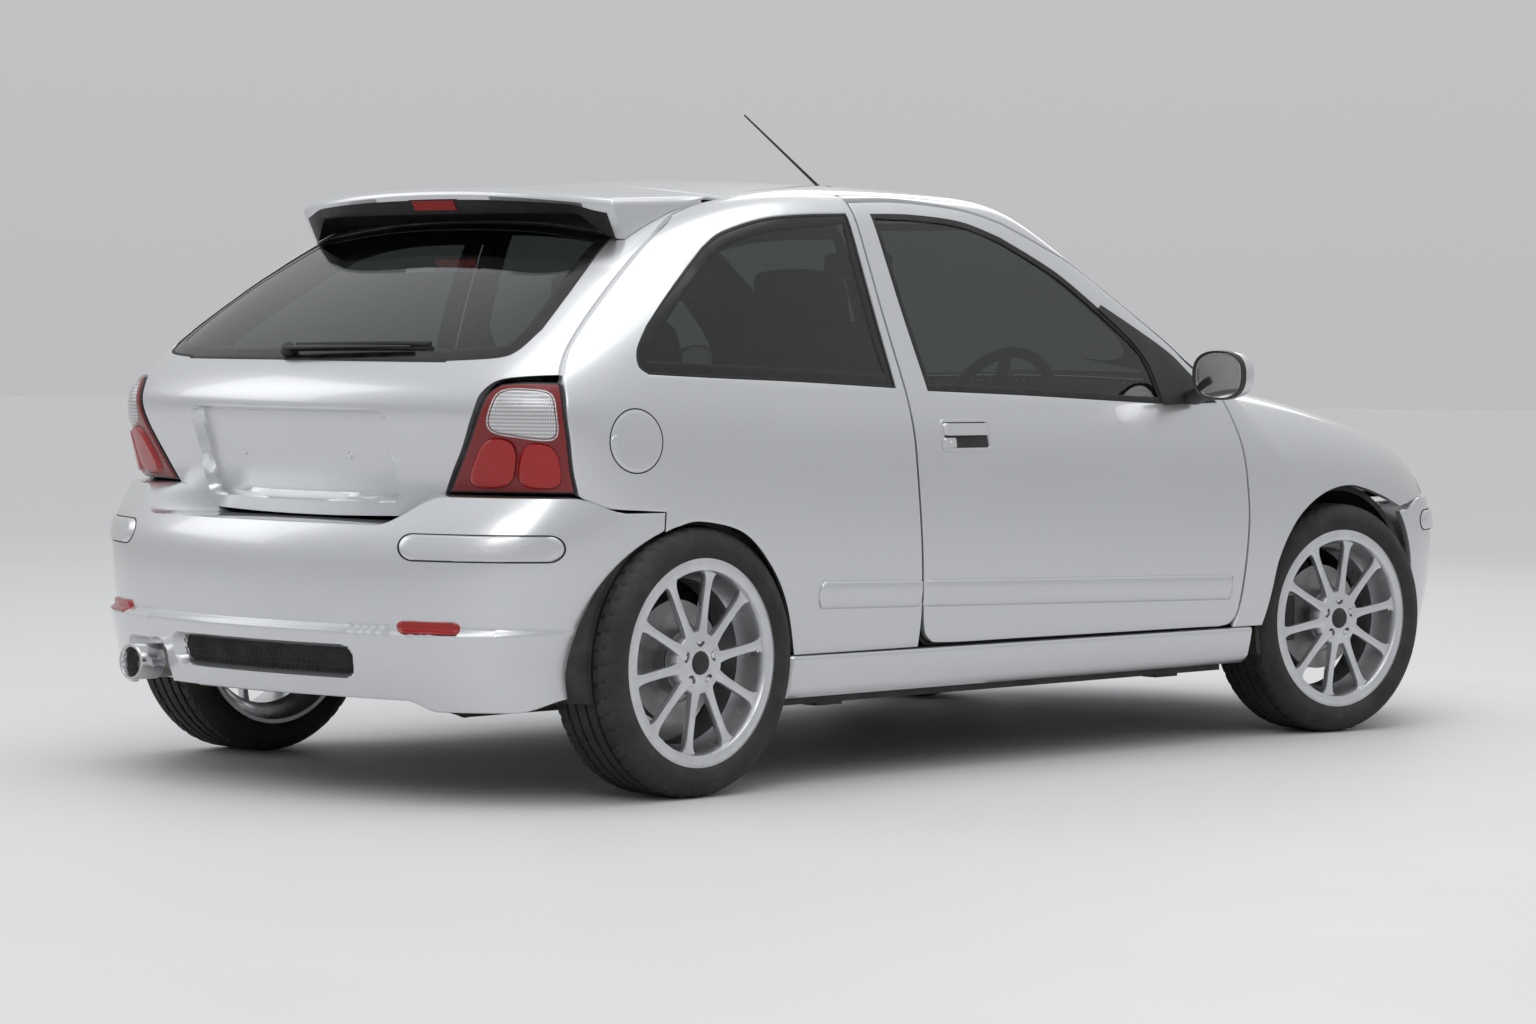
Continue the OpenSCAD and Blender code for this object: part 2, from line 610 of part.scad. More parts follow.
// Front wings, from the doors to the bumper, with the front half of the wheel arches
arch_front_top = axle_z + 358;
wing_gap = shut_gap + 3;
wing_foot_z = 302.5;
wing_rear_line = [[697, wing_foot_z], [717, 374], [727, 560], [720, 662], [699, 792], [656, 914]];
wing_foot = [[697, wing_foot_z], [822, wing_foot_z]];
wing_arch_line = [
  [822, wing_foot_z], [848, 450], [925, 570], [1045, 642], [1190, arch_front_top], [1340, 640], [1464, 603]
];
wing_front = [1640, -757, 640];
wing_end = 2.6;
wing_front_top = beside_bonnet(wing_end);
module wings() {
  shift = [wing_gap, 0];
  rear = side_points(curve([for (p = wing_rear_line) p + shift], 7));
  low = concat(
    open_end(side_points(line(wing_foot[0] + shift, wing_foot[1] + shift, 3))),
    open_end(side_points(curve([for (p = wing_arch_line) p + shift], 13))),
    curve([skin([1464 + wing_gap, -800, 603], "side"), [1560, -785, 618], wing_front], 3));
  high = concat(
    open_end(curve([rear[7], [740, -722, 930], beside_bonnet(0)], 4)),
    [for (k = [0:15]) beside_bonnet(wing_end*k/15)]);
  front = curve([wing_front, [1600, -720, 740], wing_front_top], 7);
  color(paint)
    both_sides()
      panel(patch(low, high, rear, front), "wing", wing_thickness);
}

// Bumpers, wrapped round the corners
bumper_columns = 26;
bumper_rows = 7;
rear_corner_x = -1400;
front_corner_x = 1300;
rear_arch_half = 332;
front_arch_half = 385;
bumper_clear = 6;
function arch_reach(half, z) = sqrt(max(half*half - pow(z - axle_z, 2), 0));
function corner_point(centre_x, way, a, z) = [centre_x + way*cos(a)*600, 600*sin(a), z];
module bumper(centre_x, way, ends, low, high, corner, kind) {
  function net(inset, short) = [for (j = [0:bumper_rows]) [for (i = [0:bumper_columns])
    let (
      u = 2*i/bumper_columns - 1,
      z = mix(low(abs(u)), high(abs(u)), j/bumper_rows)
    )
    skin(corner_point(centre_x, way, ends(z)*u*short, z), corner, inset, kind)]];
  outer = net(0, 1);
  inner = net(bumper_thickness, 0.95);
  edge = outer[bumper_rows];
  shelf = [for (p = edge)
    let (q = skin(p + [0, 0, 3], corner, -bumper_clear), out = norm([p.x, p.y]) > norm([q.x, q.y]) + 8)
    out ? q : skin(p, corner, 6, kind) + [0, 0, 3]];
  under = [for (p = shelf) p - [0, 0, 12]];
  color(paint)
    shell([for (r = concat(outer, [shelf])) [for (p = r) st(p)]],
      [for (r = concat(inner, [under])) [for (p = r) st(p)]], false);
}
tailpipe_y = 362;
tailpipe_z = 274;
tailpipe_depth = 200;
notch_half = 76;
notch_high = 322;
module rear_bumper() {
  difference() {
    rear_bumper_skin();
    color(paint)
      block([tail - 20, tail + 160], [tailpipe_y - notch_half, tailpipe_y + notch_half], [150, notch_high]);
  }
}
module rear_bumper_skin() {
  bumper(rear_corner_x, -1,
    function(z)
      let (clear = arch_reach(rear_arch_half, z) + bumper_clear)
      atan2(800, max(rear_corner_x - design_rear_axle + clear, 28)),
    function(u) 208 + 30*ease(0.85, 1, u),
    function(u) 612 + 66*ease(0.42, 0.58, u) - 30*ease(0.72, 0.9, u),
    "rear_corner", "rear_bumper");
}
module front_bumper() {
  bumper(front_corner_x, 1,
    function(z)
      let (clear = arch_reach(front_arch_half, z) + bumper_clear)
      atan2(800, design_front_axle - front_corner_x + clear),
    function(u) 195 + 40*ease(0.85, 1, u),
    function(u) 586 + 36*ease(0.42, 0.8, u) - 34*ease(0.84, 0.98, u),
    "front_corner", "front_bumper");
}

// Tailgate, its glass, the roof spoiler and the wiper
tail_top = [[-985, 0, 1414], [-985, -300, 1404], [-1000, -505, 1382]];
tail_side = [
  [-1000, -505, 1382], [-1134, -538, 1333], [-1251, -583, 1270], [-1357, -608, 1199], [-1464, -637, 1124],
  [-1555, -665, 1056], [-1614, -688, 1004], [-1648, -712, 957]
];
tail_lamp = [
  [-1648, -712, 957], [-1716, -660, 954], [-1752, -612, 944], [-1778, -590, 917], [-1792, -578, 872],
  [-1788, -543, 804], [-1778, -498, 739], [-1770, -462, 684], [-1774, -442, 648], [-1790, -415, 630]
];
recess_half = 326;
recess_edge = 12;
recess_depth = 20;
recess_low = 668;
recess_high = 871;
plate_screw_z = 769;
tail_low_y = [-415, -recess_half - recess_edge, -recess_half, -150, 0];
tail_low = [for (y = tail_low_y) [-1800, y, 626]];
glass_top = [[-1262, 0, 1308], [-1262, -260, 1303], [-1275, -500, 1279]];
glass_side = [[-1275, -500, 1279], [-1441, -557, 1177], [-1530, -584, 1114], [-1600, -604, 1060]];
glass_corner = [[-1600, -604, 1060], [-1674, -603, 1012], [-1714, -567, 994], [-1752, -450, 986]];
glass_low = [for (y = tail_low_y) [-1790, y, 983]];
tail_steps = [3, 7, 9];
function both_halves(half) =
  let (n = len(half))
  concat(half, [for (k = [n - 2:-1:1]) flip(half[k])]);
tail_loop = shrunk(both_halves(concat(
  open_end(curve(tail_top, tail_steps[0])), open_end(curve(tail_side, tail_steps[1])),
  open_end(curve(tail_lamp, tail_steps[2])), tail_low)), 1.5);
glass_loop = both_halves(concat(
  open_end(curve(glass_top, tail_steps[0])), open_end(curve(glass_side, tail_steps[1])),
  open_end(curve(glass_corner, tail_steps[2])), glass_low));
tail_cuts = [0, 0.07, 0.117, 0.15, 0.42, 0.68, 0.715, 1];
tail_lip = 5;
function recess(p) =
  recess_depth*ease(recess_half + recess_edge, recess_half, abs(p.y))
    *ease(recess_low - 1, recess_low + 11, p.z)*ease(recess_high + 1, recess_high - 11, p.z);
module tailgate() {
  net = ring(tail_loop, glass_loop, tail_cuts);
  outer = [for (r = net) [for (p = r) let (q = skin(p, "tail")) st(skin(p, "tail", recess(q)))]];
  inner = [for (j = [0:len(net) - 1]) [for (p = net[j])
    st(skin(p, "tail", mix(tail_lip, tailgate_thickness, ease(0.03, 0.22, tail_cuts[j]))))]];
  color(paint) {
    difference() {
      shell(outer, inner, true);
      for (s = [-1, 1])
        translate([sx(-1900), s*plate_screw_spacing/2, plate_screw_z])
          rotate([0, 90, 0])
            cylinder(h = 150, d = plate_screw_diameter);
    }
    both_sides() tail_lug();
  }
}
tail_hinge_x = -958;
tail_hinge_z = 1402;
tail_hinge_y = 80;
tail_pin_radius = 3;
tail_sleeve_radius = 5.5;
tail_lug_half = 10;
module tail_lug() {
  low = sz(1384);
  difference() {
    union() {
      translate([sx(tail_hinge_x), -tail_hinge_y, sz(tail_hinge_z)])
        rotate([90, 0, 0])
          cylinder(h = 2*tail_lug_half, r = tail_sleeve_radius, center = true);
      translate([sx(tail_hinge_x) - tail_sleeve_radius, -tail_hinge_y - tail_lug_half, low])
        cube([2*tail_sleeve_radius, 2*tail_lug_half, sz(tail_hinge_z) - low]);
      translate([sx(-1012), -tail_hinge_y - tail_lug_half, low])
        cube([sx(tail_hinge_x) - sx(-1012), 2*tail_lug_half, 8]);
    }
    translate([sx(tail_hinge_x), -tail_hinge_y, sz(tail_hinge_z)])
      rotate([90, 0, 0])
        cylinder(h = 2*tail_lug_half + 2, r = tail_pin_radius + running_clearance, center = true);
  }
}
module tail_ears() {
  ear = 8;
  side_gap = tail_lug_half + 2;
  translate([sx(tail_hinge_x), -tail_hinge_y, sz(tail_hinge_z)])
    union() {
      rotate([90, 0, 0]) cylinder(h = 2*(side_gap + ear), r = tail_pin_radius, center = true);
      for (s = [-1, 1])
        translate([-5, s*(side_gap + ear/2) - ear/2, -5])
          cube([sx(roof_rear_x) - 0.3 - sx(tail_hinge_x) + 5, ear, 10]);
    }
}
module rear_glass() {
  color(dark_glass) loop_glass(glass_loop, "tail");
}
spoiler_lead = -968;
spoiler_trail = -1392;
spoiler_half = 520;
spoiler_trail_top = 1392;
spoiler_end_drop = 30;
// Where the underside leaves the tailgate, its height there and its rise behind
spoiler_leave = -1240;
spoiler_floor = 1312;
spoiler_rise = 0.13;
// How far the foot of each end stands ahead of its top
spoiler_lean = 40;
spoiler_columns = 14;
spoiler_rows = 6;
function spoiler_x(u, v) = mix(spoiler_lead - 22*u*u, spoiler_trail + 70*u*u*u*u, v);
function spoiler_end(u) = ease(0.8, 1, abs(u));
function spoiler_under(p, u) =
  let (
    rest = p.z + seam_gap + 0.4,
    free = max(rest, spoiler_floor + spoiler_rise*(spoiler_leave - p.x))
  )
  [p.x, p.y, p.x > spoiler_leave ? rest : mix(free, rest, spoiler_end(u))];
module spoiler() {
  us = [for (i = [0:spoiler_columns]) 2*i/spoiler_columns - 1];
  vs = [for (j = [0:spoiler_rows]) j/spoiler_rows];
  seat = [for (v = vs) [for (u = us)
    skin([spoiler_x(u, v) + spoiler_lean*v*spoiler_end(u), u*(spoiler_half + 22*v), 1300], "top")]];
  under = [for (r = seat) [for (i = [0:spoiler_columns]) spoiler_under(r[i], us[i])]];
  top = [for (j = [0:spoiler_rows]) [for (i = [0:spoiler_columns])
    let (
      u = us[i],
      v = vs[j],
      plane = mix(seat[0][i].z + 4, spoiler_trail_top - spoiler_end_drop*u*u, v)
    )
    [spoiler_x(u, v), seat[j][i].y, max(plane, under[j][i].z + 3)]]];
  color(paint)
    shell([for (r = top) [for (p = r) st(p)]], [for (r = under) [for (p = r) st(p)]], false);
}
wiper_pivot = [-1772, 55, 1000];
wiper_tip = [-1750, -330, 1012];
wiper_pin_radius = 9;
module rod(a, b, r) {
  d = b - a;
  translate(a)
    rotate([0, acos(d.z/norm(d)), atan2(d.y, d.x)])
      cylinder(h = norm(d), r = r);
}
module rear_wiper() {
  stand = 16;
  base = skin(wiper_pivot, "tail", glass_inset);
  out = [-0.84, 0, 0.54];
  tip = skin(wiper_tip, "tail", glass_inset) + out*stand;
  color(black)
    union() {
      rod(st(base + out*1.2), st(base + out*(stand + 8)), wiper_pin_radius);
      rod(st(base + out*stand), st(tip), 6);
    }
}

// Rear lamps on the corners of the body
lamp_bottom = [[-1764, -473, 692], [-1720, -640, 694], [-1640, -752, 695]];
lamp_top = [[-1748, -626, 936], [-1716, -668, 941], [-1664, -716, 941]];
lamp_inner = [
  [-1764, -473, 692], [-1774, -512, 739], [-1784, -557, 804], [-1787, -592, 872], [-1772, -606, 913],
  [-1748, -626, 936]];
lamp_outer = [
  [-1640, -752, 695], [-1655, -752, 744], [-1666, -752, 807], [-1675, -743, 880], [-1664, -716, 941]
];
lamp_depth = 26;
lamp_lip = 6;
lamp_tuck = 20;
function lamp_deep(j, i, m, n) = j == 0 || i == 0 || j == m || i == n ? lamp_lip : lamp_depth;
module rear_lamps() {
  color(lamp_red)
    both_sides()
      panel(patch(curve(lamp_bottom, 6), curve(lamp_top, 6), curve(lamp_inner, 6), curve(lamp_outer, 6)),
        "rear_corner", function(p, j, i) lamp_deep(j, i, 6, 6), tuck = lamp_tuck);
}

// Headlamps and grille
headlamp_bottom = [[1652, -752, 640], [1800, -640, 618], [1890, -450, 606]];
headlamp_top = [for (k = [0:6]) beside_bonnet(mix(wing_end + 0.06, 4, k/6), lamp_margin)];
headlamp_inner = [[1890, -450, 606], [1840, -470, 700], headlamp_top[6]];
headlamp_outer = [[1652, -752, 640], [1612, -716, 740], headlamp_top[0]];
module headlamps() {
  color(clear_lens)
    both_sides()
      panel(
        patch(curve(headlamp_bottom, 6), headlamp_top, curve(headlamp_outer, 5), curve(headlamp_inner, 5)),
        "front_corner", function(p, j, i) lamp_deep(j, i, 5, 6), tuck = lamp_tuck);
}
module grille() {
  high = [for (k = [1:9]) skin(bonnet_front[k] + [lamp_margin, 0, 0], "top")];
  low = curve([[1890, -438, 600], [1930, 0, 600], [1890, 438, 600]], 8);
  right = curve([low[0], [1850, -446, 690], high[0]], 4);
  color(black)
    panel(patch(low, high, right, [for (p = right) flip(p)]), "front_corner", 20, top = 4, tuck = 24);
}

// Side skirts below the doors, flat against the sills
skirt_rear_x = -990;
skirt_front_x = 790;
skirt_proud = 9;
skirt_low = 203;
sill_y = 765;
function skirt_top(x) = quarter_sill_z - seam_gap - 0.003*(x + 990);
module side_skirts() {
  columns = 10;
  heights = [0, 0.25, 0.9, 1];
  proud = [-14, skirt_proud, skirt_proud, skirt_proud - 4];
  outer = [for (j = [0:3]) [for (i = [0:columns])
    let (
      x = mix(skirt_rear_x, skirt_front_x, i/columns),
      z = mix(skirt_low, skirt_top(x), heights[j])
    )
    st(skin([x, -800, z], "side", -proud[j]))]];
  inner = [for (r = outer) [for (p = r) [p.x, -sy(sill_y) - 0.3, p.z]]];
  color(paint) both_sides() shell(outer, inner, false);
}

// Floor with sills, bulkhead, boot floor, rear panel and the front longitudinals
floor_z = 188;
floor_thickness = 24;
boot_z = 400;
floor_step_x = -985;
sheet = 12;
sill_width = 75;
module block(x, y, z) {
  translate([x[0], y[0], z[0]]) cube([x[1] - x[0], y[1] - y[0], z[1] - z[0]]);
}
jack_places = [-800, 500];
module floor_pan() {
  front = sx(712);
  step = sx(floor_step_x);
  back = sx(-1745);
  half = sy(sill_y);
  house = track/2 - tyre_width/2 - 45;
  color(steel)
    union() {
      block([step, front], [-half, half], [floor_z, floor_z + floor_thickness]);
      block([sx(-540), front], [-110, 110], [floor_z, 330]);
      block([front - sheet, sx(850)], [-575, 575], [880 - sheet, 880]);
      for (s = [-1, 1]) {
        mirror([0, s < 0 ? 1 : 0, 0]) {
          block([sx(-960), front], [half - sill_width, half], [floor_z, 288]);
          block([sx(640), front], [half - sill_width, -sy(post_y)], [floor_z, 880]);
          block([sx(700), sx(1740)], [380, 440], [400, 470]);
          block([sx(-1600), step], [house - sheet, house], [boot_z - 40, 720]);
          for (x = jack_places)
            block([sx(x - 45), sx(x + 45)], [half - 55, half - 10], [floor_z - 8, floor_z]);
          on_left() door_pins();
          on_left() bonnet_ears();
        }
      }
      block([front - sheet, front], [-half + sill_width, half - sill_width], [floor_z, 880]);
      block([step - sheet, step], [-house, house], [floor_z, boot_z]);
      block([back, step], [-house, house], [boot_z - sheet, boot_z]);
      block([back, back + sheet], [-house - 20, house + 20], [320, 600]);
      block([sx(1728), sx(1740)], [-440, 440], [300, 560]);
    }
}

// Running gear
kingpin_y = 665;
kingpin_radius = 12;
kingpin_low = 150;
kingpin_high = 160;
knuckle_half_height = 120;
wheel_face = 45;
rim_half = 94.5;
spindle_end = 72;
module steered(side) {
  translate([front_axle_x, side*kingpin_y, axle_z])
    rotate([0, 0, rest_steer])
      translate([-front_axle_x, -side*kingpin_y, -axle_z])
        children();
}
module wheel_at(x, side) {
  translate([x, side*track/2, axle_z])
    rotate([side > 0 ? -90 : 90, 0, 0])
      children();
}
module spindle(x, side, root) {
  length = spindle_end + track/2 - root;
  wheel_at(x, side) translate([0, 0, spindle_end - length]) cylinder(h = length, d = spindle_diameter);
}
module knuckle(side) {
  eye = 26;
  color(steel)
    steered(side) {
      union() {
        spindle(front_axle_x, side, kingpin_y - 20);
        translate([front_axle_x, side*kingpin_y, axle_z])
          cylinder(h = 2*knuckle_half_height, r = eye, center = true);
        translate([front_axle_x, side*kingpin_y, axle_z])
          cylinder(h = kingpin_low + kingpin_high, r = kingpin_radius, center = true);
        translate([front_axle_x - 120, side*kingpin_y - 16, axle_z - 20]) cube([120, 32, 70]);
        difference() {
          translate([front_axle_x - 160, side*(kingpin_y + 48) - 45, axle_z - 60]) cube([56, 90, 120]);
          wheel_at(front_axle_x, side)
            translate([0, 0, -16 - shut_gap]) cylinder(h = 22 + 2*shut_gap, d = disc_diameter + 2*shut_gap);
        }
      }
    }
}
module knuckle_left() {
  knuckle(1);
}
module knuckle_right() {
  knuckle(-1);
}
module rim_shape() {
  b = rim_diameter/2;
  w = rim_half;
  section = [
    [b + 23, w], [b + 23, w - 7], [b + 6, w - 10], [b + 1, w - 26], [b - 3, 38], [b - 20, 22], [b - 20, -44],
    [b - 3, -60], [b + 1, -w + 14], [b + 6, -w + 8], [b + 23, -w + 6], [b + 23, -w],
    [b + 14, -w], [b - 5, -w + 20],
    [b - 10, -58], [b - 27, -42], [b - 27, 20], [b - 10, 36], [b - 6, w - 24], [b - 2, w - 14], [b + 14, w]
  ];
  hub = 74;
  pad = wheel_face;
  face = w - 10;
  difference() {
    union() {
      rotate_extrude($fn = 96) polygon(section);
      translate([0, 0, pad]) cylinder(h = face - pad - 4, r = hub);
      for (k = [0:spoke_count - 1])
        rotate([0, 0, k*360/spoke_count])
          translate([0, 0, face - spoke_depth])
            linear_extrude(height = spoke_depth)
              polygon([[hub - 30, -13], [b - 4, -17], [b - 4, 17], [hub - 30, 13]]);
    }
    translate([0, 0, pad - 1]) cylinder(h = 29, r = spindle_diameter/2 + running_clearance);
    for (k = [0:4])
      rotate([0, 0, k*72 + 18])
        translate([50, 0, pad + 12])
          cylinder(h = 60, r = 11);
  }
}
module disc_shape() {
  translate([0, 0, -16])
    difference() {
      cylinder(h = 22, d = disc_diameter);
      translate([0, 0, -1]) cylinder(h = 24, r = 70);
    }
  difference() {
    translate([0, 0, -16]) cylinder(h = wheel_face + 16 - 0.3, r = 72);
    translate([0, 0, -17]) cylinder(h = wheel_face + 8, r = 62);
    translate([0, 0, -17]) cylinder(h = 80, r = spindle_diameter/2 + running_clearance);
  }
}
module rim(x, side) {
  color([0.72, 0.73, 0.75]) wheel_at(x, side) rim_shape();
  color(steel) wheel_at(x, side) disc_shape();
}
module tyre_shape() {
  b = rim_diameter/2;
  t = tyre_diameter/2;
  w = tyre_width/2;
  bead = rim_half - 10;
  right = [
    [b + 8, bead - 12], [b + 20, bead - 2], [b + 28, w - 9], [b + 38, w - 3], [b + 53, w], [t - 22, w - 2],
    [t - 10, w - 9], [t - 3, w - 20], [t, w - 34]
  ];
  inside = [[t - 9, w - 30], [t - 20, w - 14], [b + 50, w - 8], [b + 34, w - 13], [b + 20, bead - 14]];
  rotate_extrude($fn = 96)
    polygon(concat(
      right, [for (p = backwards(right)) [p[0], -p[1]]],
      [for (p = backwards(inside)) [p[0], -p[1]]], inside));
}
module tyre(x, side) {
  color(black) wheel_at(x, side) tyre_shape();
}
module tyre_front_left() {
  steered(1) tyre(front_axle_x, 1);
}
module tyre_front_right() {
  steered(-1) tyre(front_axle_x, -1);
}
module tyre_rear_left() {
  tyre(rear_axle_x, 1);
}
module tyre_rear_right() {
  tyre(rear_axle_x, -1);
}
module rim_front_left() {
  steered(1) rim(front_axle_x, 1);
}
module rim_front_right() {
  steered(-1) rim(front_axle_x, -1);
}
module rim_rear_left() {
  rim(rear_axle_x, 1);
}
module rim_rear_right() {
  rim(rear_axle_x, -1);
}
arm_thickness = 26;
subframe_low = axle_z - knuckle_half_height - 0.3 - arm_thickness;
subframe_height = 60;
module front_subframe() {
  reach_out = kingpin_y;
  low = subframe_low;
  high = axle_z + knuckle_half_height + 0.3;
  color(steel)
    difference() {
      union() {
        block([front_axle_x - 140, front_axle_x + 90], [-400, 400], [low, low + subframe_height]);
        for (s = [0, 1])
          mirror([0, s, 0]) {
            block([front_axle_x - 26, front_axle_x + 26], [380, reach_out], [low, low + arm_thickness]);
            translate([front_axle_x, reach_out, low]) cylinder(h = arm_thickness, r = 26);
            block([front_axle_x - 24, front_axle_x + 24], [590, reach_out], [high, high + arm_thickness]);
            translate([front_axle_x, reach_out, high]) cylinder(h = arm_thickness, r = 24);
            rod([front_axle_x, 600, high + 8], [front_axle_x, 560, 790], 26);
            block([front_axle_x - 60, front_axle_x + 60], [420, 590], [770, 790]);
            block([front_axle_x - 60, front_axle_x + 60], [410, 426], [470.3, 780]);
            block([front_axle_x - 120, front_axle_x + 70], [384, 400], [low + 30, 399.7]);
          }
      }
      for (s = [0, 1])
        mirror([0, s, 0]) {
          translate([front_axle_x, reach_out, low - 1])
            cylinder(h = arm_thickness + 2, r = kingpin_radius + running_clearance);
          translate([front_axle_x, reach_out, high - 1])
            cylinder(h = arm_thickness + 2, r = kingpin_radius + running_clearance);
        }
    }
}
module rear_axle() {
  beam_x = rear_axle_x + 130;
  beam_z = axle_z - 55;
  arm_y = track/2 - tyre_width/2 - 75;
  step = sx(floor_step_x) - sheet;
  color(steel)
    union() {
      translate([beam_x, 0, beam_z]) rotate([90, 0, 0]) cylinder(h = 2*arm_y, r = 38, center = true);
      for (s = [-1, 1]) {
        block([rear_axle_x - 60, step - 0.3], [s*arm_y - 16, s*arm_y + 16], [axle_z - 100, axle_z - 20]);
        block([rear_axle_x - 60, rear_axle_x + 60],
          [s*arm_y - 16, s*arm_y + 16], [axle_z - 60, axle_z + 50]);
        spindle(rear_axle_x, s, arm_y);
      }
    }
}
module engine_block() {
  color(steel)
    block([front_axle_x - 200, front_axle_x + 300], [-340, 340], [subframe_low + subframe_height, 760]);
}
module exhaust() {
  pipe = 24;
  z = 150;
  kink = sx(-1270);
  box = [sx(-1720), sx(-1500)];
  length = box[0] + 5 - tail;
  color([0.55, 0.55, 0.56])
    union() {
      rod([sx(900), 0, z], [kink, 0, z], pipe);
      rod([kink, 0, z], [box[1] - 10, 200, 250], pipe);
      translate([kink, 0, z]) sphere(r = pipe + 1);
      block([sx(-410), sx(-390)], [-8, 8], [z, floor_z]);
      block(box, [170, 450], [200, 350]);
      block([box[0] + 90, box[0] + 110], [290, 310], [340, boot_z - sheet]);
      difference() {
        translate([tail, tailpipe_y, tailpipe_z])
          rotate([0, 90, 0]) cylinder(h = length, d = tailpipe_diameter);
        translate([tail - 1, tailpipe_y, tailpipe_z])
          rotate([0, 90, 0])
            cylinder(h = tailpipe_depth + 1, d = tailpipe_diameter - 2*tailpipe_wall);
      }
    }
}

// Cabin
seat_floor = floor_z + floor_thickness + 0.3;
seat_y = 360;
module seat_profile(points, width) {
  rotate([90, 0, 0]) linear_extrude(height = width, center = true) polygon(points);
}
module front_seats() {
  color(black)
    for (s = [-1, 1])
      translate([sx(-100), s*seat_y, seat_floor])
        union() {
          seat_profile([[-180, 0], [200, 0], [230, 130], [300, 200], [290, 300], [200, 320],
            [-150, 260], [-240, 240],
            [-260, 140]], 496);
          seat_profile([[-260, 180], [-150, 240], [-170, 330], [-300, 820], [-345, 860],
            [-400, 850], [-390, 780]], 480);
          seat_profile([[-330, 840], [-350, 960], [-380, 990], [-430, 985], [-430, 900], [-390, 840]], 270);
        }
}
module rear_bench() {
  half = 570;
  color(black)
    seat_profile([
      [sx(-970), seat_floor], [sx(-640), seat_floor],
      [sx(-560), seat_floor + 200], [sx(-560), seat_floor + 280],
      [sx(-900), seat_floor + 250], [sx(-1040), seat_floor + 720], [sx(-1090), seat_floor + 740],
      [sx(-1130), seat_floor + 720], [sx(-1060), boot_z + 1], [sx(-970), boot_z + 1]], 2*half);
}
column_angle = 25;
steering_ratio = 13;
column_y = -365;
wheel_x = 265;
wheel_z = 860;
column_radius = 14;
module along_column() {
  translate([sx(wheel_x), sy(column_y), wheel_z]) rotate([0, 90 + column_angle, 0]) children();
}
module dashboard() {
  color(black)
    union() {
      rotate([90, 0, 0])
        linear_extrude(height = 2*(sy(sill_y) - sill_width - 4), center = true)
          polygon([[sx(699.5), 560], [sx(699.5), 895], [sx(640), 912],
            [sx(440), 880], [sx(405), 830], [sx(430), 700],
            [sx(500), 560]]);
      along_column() translate([0, 0, -20]) cylinder(h = 260, r = column_radius);
    }
}
module steering_wheel() {
  r = steering_wheel_diameter/2;
  g = steering_wheel_grip/2;
  color(black)
    along_column()
      rotate([0, 0, -rest_steer*steering_ratio])
        difference() {
          union() {
            rotate_extrude($fn = 64) translate([r - g, 0]) circle(r = g, $fn = 24);
            translate([0, 0, -24]) cylinder(h = 60, r = 62);
            for (k = [0, 1, 2])
              rotate([0, 0, k*90 - 90]) translate([0, -16, -8]) cube([r - g, 32, 16]);
          }
          translate([0, 0, -21]) cylinder(h = 90, r = column_radius + running_clearance);
        }
}

// Door mirrors, aerial and fuel flap
module mirror_body() {
  foot_net = [for (z = [900, 925]) [for (x = [470, 520]) [x, -800, z]]];
  pads = [for (r = foot_net) for (p = r) each [st(skin(p, "side", -0.5)), st(skin(p, "side", -12))]];
  color(paint)
    hull() {
      for (p = pads) translate(p) sphere(r = 0.1, $fn = 6);
      translate([sx(505), -sy(855), 945]) sphere(r = 38, $fn = 14);
      translate([sx(490), -sy(960), 955]) sphere(r = 46, $fn = 14);
      translate([sx(495), -sy(950), 985]) sphere(r = 42, $fn = 14);
    }
}
module mirror_right() {
  mirror_body();
}
module mirror_left() {
  on_left() mirror_body();
}
module aerial() {
  base = skin([8, 0, 1400], "top");
  lean = [-322, 0, 196]/norm([-322, 0, 196]);
  color(black)
    union() {
      translate(st(base) + [0, 0, 1.5]) cylinder(h = 22, r1 = 22, r2 = 12);
      rod(st(base) + [0, 0, 14], st(base) + [0, 0, 14] + lean*aerial_length, 3);
    }
}
module fuel_flap() {
  p = [-1500, -800, 812];
  a = skin(p, "side");
  dx = skin(p + [20, 0, 0], "side") - a;
  dz = skin(p + [0, 0, 20], "side") - a;
  n = cross(dx, dz)/norm(cross(dx, dz));
  color(paint) rod(st(a + n*0.4), st(a + n*4), fuel_flap_diameter/2);
}

roof_panel();
pillars();
quarter_panels();
floor_pan();
wings();
cowl();
windscreen();
quarter_glass();
side_skirts();
front_bumper();
rear_bumper();
headlamps();
grille();
rear_lamps();
aerial();
fuel_flap();
exhaust();
engine_block();
front_subframe();
rear_axle();
front_seats();
rear_bench();
dashboard();
steering_wheel();
bonnet();
tailgate();
rear_glass();
spoiler();
rear_wiper();
door_left();
door_right();
door_glass_left();
door_glass_right();
mirror_left();
mirror_right();
knuckle_left();
knuckle_right();
tyre_front_left();
tyre_front_right();
tyre_rear_left();
tyre_rear_right();
rim_front_left();
rim_front_right();
rim_rear_left();
rim_rear_right();
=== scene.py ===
"""Looks of a small silver hatchback with a body kit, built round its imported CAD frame.

Lengths inside the classes are in millimetres, in the frame of the CAD part, and are turned into metres when a
mesh is made. The right side of the car is drawn and the left side is its mirror image.
"""

import logging
import math
from dataclasses import dataclass
from enum import Enum
from typing import Callable, Optional, Sequence, Union

import bmesh
import bpy
import numpy as np
from mathutils import Matrix, Vector


